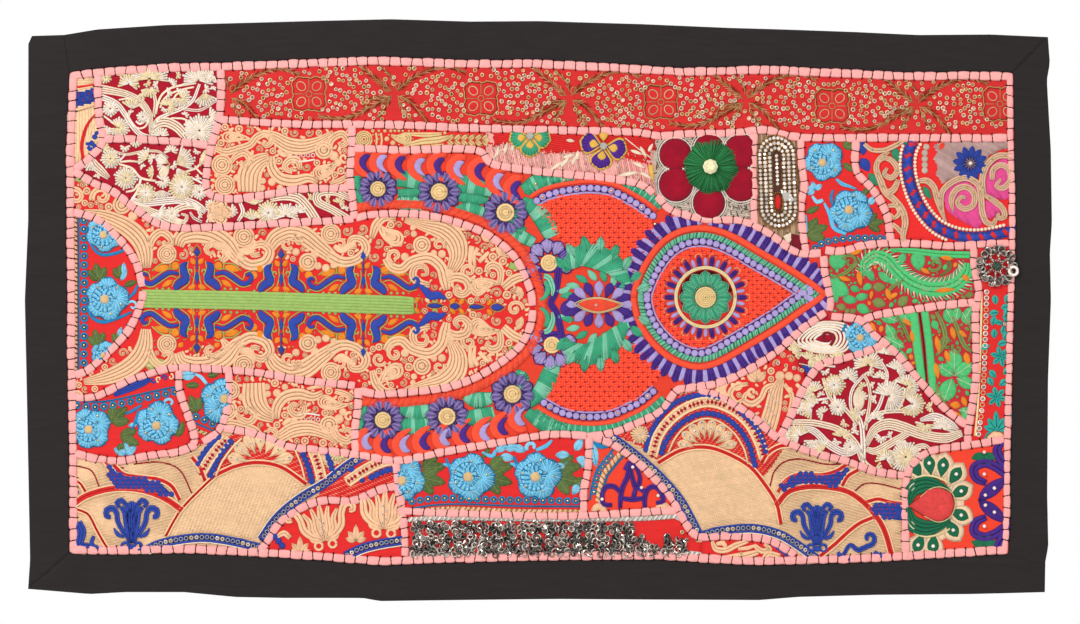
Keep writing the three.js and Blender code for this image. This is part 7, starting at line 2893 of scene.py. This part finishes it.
def purple_scroll(work):
    bands(work, (
        (2, [(629, 461, 3), (627.5, 476, 5), (623, 486, 5), (620.5, 497, 5), (620, 508, 4)]),
        (2, [(629.5, 461, 3), (632, 476, 4.5), (636, 488, 5), (640, 479, 4.5), (637, 469, 4),
             (632, 463, 3)]),
        (2, [(612, 505, 4), (603.5, 504, 5), (602, 494, 5), (606, 487, 5), (614, 486.5, 5), (621, 493, 4)]),
        (2, [(656, 503, 4), (663, 501, 5), (661, 492, 5), (654, 486.5, 5), (647, 490, 5), (644.5, 499, 5),
             (645, 508, 4)]),
        (2, [(620, 498, 4), (632, 499.5, 5), (645, 498, 4)]), (1, [(636, 487, 4), (633.5, 497, 4.5)]),
        (1, [(637, 487, 4), (645, 492, 4)]), (1, [(629, 462, 4), (625, 470, 4.5)]),
    ), PURPLE, 1.2)
    for u, v in ((632.7, 467), (641.4, 487.5), (658, 495.5), (602, 499)):
        PEARLS.add(u, v, 1.8, 3.4, 0, WHITE)
    edge = smooth([(616, 446), (606, 458), (597, 470), (592, 486), (590, 500)], 3)
    for by in (0, 12):
        band(work, broad(offset(edge, by), 2.4), 2, SEA, 0.9)
    chained_rings(work, [(613, 453), (604, 464), (597, 477), (594, 492)], 6.8, 3.1)
    rope(work, offset(edge, 8), 4.4, (PEACH, OLD_GOLD, PEACH), 1.7)
    leaf(work, Place(592, 442, 80), 26, 9, PALE_SKY, SEA, 3)
    band(work, [(592, 440, 3), (600, 446, 5), (608, 446, 3)], 1, SEA)
    for u, v in ((599, 511), (663, 510)):
        fan(work, u, v, 1, 8, 180, 180, (PEACH,), 9, (0.7, 1.5), 0.9)


def sequin_strip(work):
    for points in ([(408, 519.5), (450, 518), (560, 519.5), (640, 518.5), (682, 515.5)],
                   [(410, 555), (480, 555.5), (560, 554), (640, 553.5), (697, 554)]):
        line = smooth(points, 2)
        satin(work, broad(line, 4.2), (SILVER, WHITE, SILVER * 0.7), 1, 1.6, 0.8, 1.1)
    for points in ([(672, 512, 1), (676, 518, 2.4), (684, 521, 1)],
                   [(690, 551, 1), (698, 553, 2.4), (704, 553, 1)]):
        band(work, points, 1, SILVER, 1.1)


def peach_bit(work):
    bands(work, (
        (2, [(712, 541, 3), (716, 549, 6), (726, 550, 6), (736, 545, 6), (748, 541, 4)]),
        (1, [(716, 544, 3), (723, 543, 5), (726, 548, 3)]),
        (2, [(716, 560, 5), (728, 558, 7), (744, 556, 8), (758, 552, 5)]),
        (2, [(754, 545, 4), (762, 551, 6), (770, 549, 5), (764, 544, 3)]),
        (2, [(762, 562, 4), (768, 554, 6), (780, 556, 5)]),
        (1, [(738, 549, 3), (748, 548, 4), (756, 545, 2)]),
    ), PEACH, 1.1)
    band(work, [(773, 544, 4), (782, 549, 7), (792, 558, 5)], 3, ROYAL, 0.9)
    for u, v in ((741, 553), (745, 558), (738, 558), (768, 549)):
        CUPS.add(u, v, 1.4, 3.4, 0.2, STRAW)


def blossom(work):
    hub = (936, 504)
    green = dye("1D6B4A")
    tips = [(915, 467), (929, 463), (943, 465), (956, 474), (961, 491), (961, 515), (953, 530), (933, 546),
            (918, 545)]
    rim = [(904, 478, 5), (918, 472, 10), (936, 470, 11), (948, 477, 11), (956, 490, 11), (958, 503, 11),
           (954, 519, 11), (944, 532, 11), (928, 539, 10), (910, 541, 6)]
    band(work, rim, 1, SAND * (1, 1.04, 1.12), 0.5)
    for u, v in tips:
        a = math.degrees(math.atan2(v - hub[1], u - hub[0]))
        far = math.hypot(u - hub[0], v - hub[1])
        foot = toward(*hub, a, far - 17)
        place = Place(*foot, a)
        shape = leaf_outline(31, 22, 0.6)
        work.pad(place(shape), place((15, 0)), 0.9, SAND * (1, 1.04, 1.12))
        work.pad(place((13, 0) + (shape - (13, 0)) * (0.7, 0.56)), place((14, 0)), 1.0, green, 0.6)
        work.stroke(loop(place((14, 0) + (shape - (14, 0)) * 0.9)), 0.5, 0.5, CREAM * 0.8, 0.6)
        PEARLS.add(u, v, 2.0, 3.4, 0, WHITE)
    for way in (-1, 1):
        points = np.array([(908, -3, 4), (912, -18, 15), (924, -24, 16), (938, -22, 11), (950, -16, 4)],
                          float)
        points[:, 1] = 508 + points[:, 1] if way < 0 else 508 - points[:, 1] - 4
        band(work, points, 4, green, 1.1, 0.7)
        edge = points[:, :2] + np.array([0, 8.5 * way])
        work.stroke(smooth(edge), 1.2, 1.1, STRAW, 0.5)
    work.pad([(908, 506), (918, 498), (927, 489), (939, 487), (951, 492), (955, 504), (951, 516),
              (940, 522), (928, 519), (917, 512)],
             (938, 505), 2.2, dye("E94A48"), 1.4)
    work.stroke(smooth([(920, 497), (930, 489), (941, 487), (952, 493), (955, 505), (950, 517), (938, 522),
                        (924, 516)]), 0.7, 1.2, STRAW, 1.5)
    for u, v in ((912, 480), (912, 532)):
        leaf(work, Place(u, v, 90 if v < 500 else -90), 12, 7, CREAM, None, lift=0.8)
    for way in (-1, 1):
        def at(points):
            p = np.array(points, float)
            p[:, 1] = 500 + way * p[:, 1]
            return p

        band(work, at([(986, -17, 6), (976, -22, 8.5), (974, -32, 9), (984, -37, 9), (996, -33, 9),
                       (1010, -22, 8)]), 2, PURPLE, 1.2)
        band(work, at([(1003, -60, 6), (997, -50, 9), (1002, -39, 10), (1012, -32, 8)]), 2, PURPLE, 1.2)
        leaf(work, Place(978, 500, 38 * way), 38, 14, PURPLE, PURPLE * 0.6, 0, 1.3)
        for u, v in ((985, 5), (994, 12), (1002, 20), (984, 26)):
            PEARLS.add(u, 500 + way * v, 1.9, 3.6, 0, WHITE)
        for turn in (200, 240, 300, 340):
            leaf(work, Place(984, 500 + way * 46, turn * way), 14, 8, green * 1.2, None)
    PEARLS.add(984, 452, 1.9, 3.2, 0, WHITE)


def silver_flower():
    """The wired flower of silver beads, with the ring sewn beside it."""
    discs, balls = Ornaments("cup", True), Ornaments("bead", True)
    u, v = 996.5, 266
    for k in range(8):
        a = 45 * k + 12
        for r, spread, size in ((17, -13, 3.9), (17.5, 4, 4.1), (14.5, 18, 3.6)):
            discs.add(*toward(u, v, a + spread, r), size, 4.2, 0.5, SILVER * draw.uniform(0.6, 1.1))
        for r in (7.5, 10.5, 13):
            balls.add(*toward(u, v, a + draw.uniform(-6, 6), r), 1.7, 5.0, 0,
                      SILVER * draw.uniform(0.6, 1.1))
    for at in circle(u, v, 5.6, 14):
        balls.add(*at, 1.1, 5.6, 0, SILVER)
    discs.make("silver_discs", METAL_BEAD, "silver_beads", "bead_flower")
    balls.make("silver_balls", METAL_BEAD, "silver_beads")
    heart = Ornaments("bead", True)
    heart.add(u, v, 4.6, 5.2, 0, dye("0E4A3A"))
    heart.make("flower_heart", GLASS_BEAD, "silver_beads")
    ring = Work(base=4.6)
    ring.stroke(loop(circle(1013, 271, 4.2, 16)), 1.7, 1.7, WHITE, clip=False)
    finish_piece(ring.make("ring_loop", GLASS_BEAD), "silver_beads", "bead_ring")


def sequin_band():
    """The flowers of overlapping cup sequins sewn over the band at the foot."""
    cups, dots = Ornaments("cup", True), Ornaments("bead", True)
    for row, v in enumerate((528, 540, 550.5)):
        for u in np.arange(417 + (row % 2) * 2, 696, 13.2):
            if (u > 632 and row == 0) or (u > 650 and row == 1 and u < 664) or u > 690:
                continue
            middle = (u + draw.uniform(-1, 1), v + draw.uniform(-0.8, 0.8))
            start = draw.uniform(0, 60)
            for k in range(6):
                if u > 640 and row == 1 and k > 3:
                    continue
                a = start + 60 * k
                # Each cup's silver is made darker or lighter at random: painted reflections and glints of
                # the metal
                shade = SILVER * draw.choice((0.3, 0.55, 0.85, 1.1, 1.3, 1.3))
                cups.add(*toward(*middle, a, 4.4), draw.uniform(2.9, 3.7), 2.6 + 0.5 * (k % 3), 0.7, shade)
            dots.add(*middle, 1.7, 4.0, 0, SILVER * 0.15)
    cups.make("sequin_cups", METAL_BEAD, "sequins", "sequin_band")
    dots.make("sequin_hearts", METAL_BEAD, "sequins")


def arch(work):
    arch_left(work)
    teardrop(work)
    arch_middle(work)


PATCH_WORK = dict(
    garden=garden,
    peach_upper=lambda work: peach_piece(work, lambda p: np.asarray(p, float)),
    peach_lower=lambda work: peach_piece(work, lambda p: np.asarray(p, float) * (1, -1) + (5, 575)),
    corner_strip=corner_strip,
    ivory_upper=ivory(IVORY_UPPER, IVORY_UPPER_HEADS),
    ivory_lower=ivory_lower,
    gold_strip=gold_strip,
    pansy=pansies,
    rose_arc=rose_arc,
    rose_left=rose_left,
    rose_small=rose_small,
    arch=arch,
    satin=satin_strip,
    velvet=velvet_ground,
    beaded=beaded_ground,
    rose_right=rose_right,
    scroll_blue=scroll_blue,
    fern_upper=fern_upper,
    fern_lower=fern_lower,
    silver_strip=silver_strip,
    tree=tree,
    eye=eye,
    fountain=fountain,
    fan_left=fan_left,
    fan_right=fan_right,
    lotus=lotus,
    rose_strip=rose_strip,
    purple_scroll=purple_scroll,
    sequin_strip=sequin_strip,
    peach_bit=peach_bit,
    blossom=blossom,
)


# The room and the camera


def stage():
    world = bpy.data.worlds.new("pale_room")
    bpy.context.scene.world = world
    world.use_nodes = True
    n = Nodes(world.node_tree)
    back = world.node_tree.nodes["Background"]
    back.inputs["Color"].default_value = (1, 1, 1, 1)
    path = n.add("ShaderNodeLightPath")
    n.link(n.math("MULTIPLY_ADD", path.outputs["Is Camera Ray"], 0.4, 0.6), back.inputs["Strength"])
    bpy.ops.mesh.primitive_plane_add(size=3, location=(0, -0.2, -0.85))
    floor = bpy.context.object
    floor.name = "floor"
    pale, _, _ = surface("pale_floor", 0.9, Base_Color=(0.82, 0.81, 0.8, 1))
    floor.data.materials.append(pale)
    for name, place, size, power in (
        ("window_light", (-1.6, -2.4, 1.5), 1.2, 60),
        ("fill_light", (1.8, -2.6, 0.2), 1.6, 14),
        ("back_light", (0.8, 2.6, 1.2), 1.6, 30),
    ):
        data = bpy.data.lights.new(name, "AREA")
        data.energy, data.size = power, size
        light = bpy.data.objects.new(name, data)
        light.location = place
        light.rotation_euler = (Vector((0, 0, -0.29)) - Vector(place)).to_track_quat("-Z", "Y").to_euler()
        bpy.context.collection.objects.link(light)
    bpy.context.scene.view_settings.view_transform = "Standard"


PICTURE_WIDE, PICTURE_TALL = 1080, 624
CAMERA_AWAY = 6.0


def camera():
    """Face on, taking in the same millimetres as the photograph."""
    data = bpy.data.cameras.new("camera")
    data.sensor_width = 36
    data.lens = data.sensor_width * CAMERA_AWAY / (PICTURE_WIDE * MM)
    data.clip_end = 60
    cam = bpy.data.objects.new("camera", data)
    cam.location = (
        (PICTURE_WIDE / 2 + CORNER_X) * MM, -CAMERA_AWAY, (CORNER_Z - PICTURE_TALL / 2) * MM,
    )
    cam.rotation_euler = (math.pi / 2, 0, 0)
    bpy.context.collection.objects.link(cam)
    bpy.context.scene.camera = cam


bpy.ops.object.select_all(action="DESELECT")
stage()
camera()
couched_braid()
border()
foundation()
grounds()
for patch, fill in PATCH_WORK.items():
    embroider(patch, fill)
velvet_flower()
bead_oval()
sequin_band()
silver_flower()
GOLD_BEADS.make("gold_beads", METAL_BEAD, "beads")
CUPS.make("small_sequins", SEQUIN, "sequins")
PEARLS.make("pearl_beads", GLASS_BEAD, "beads")
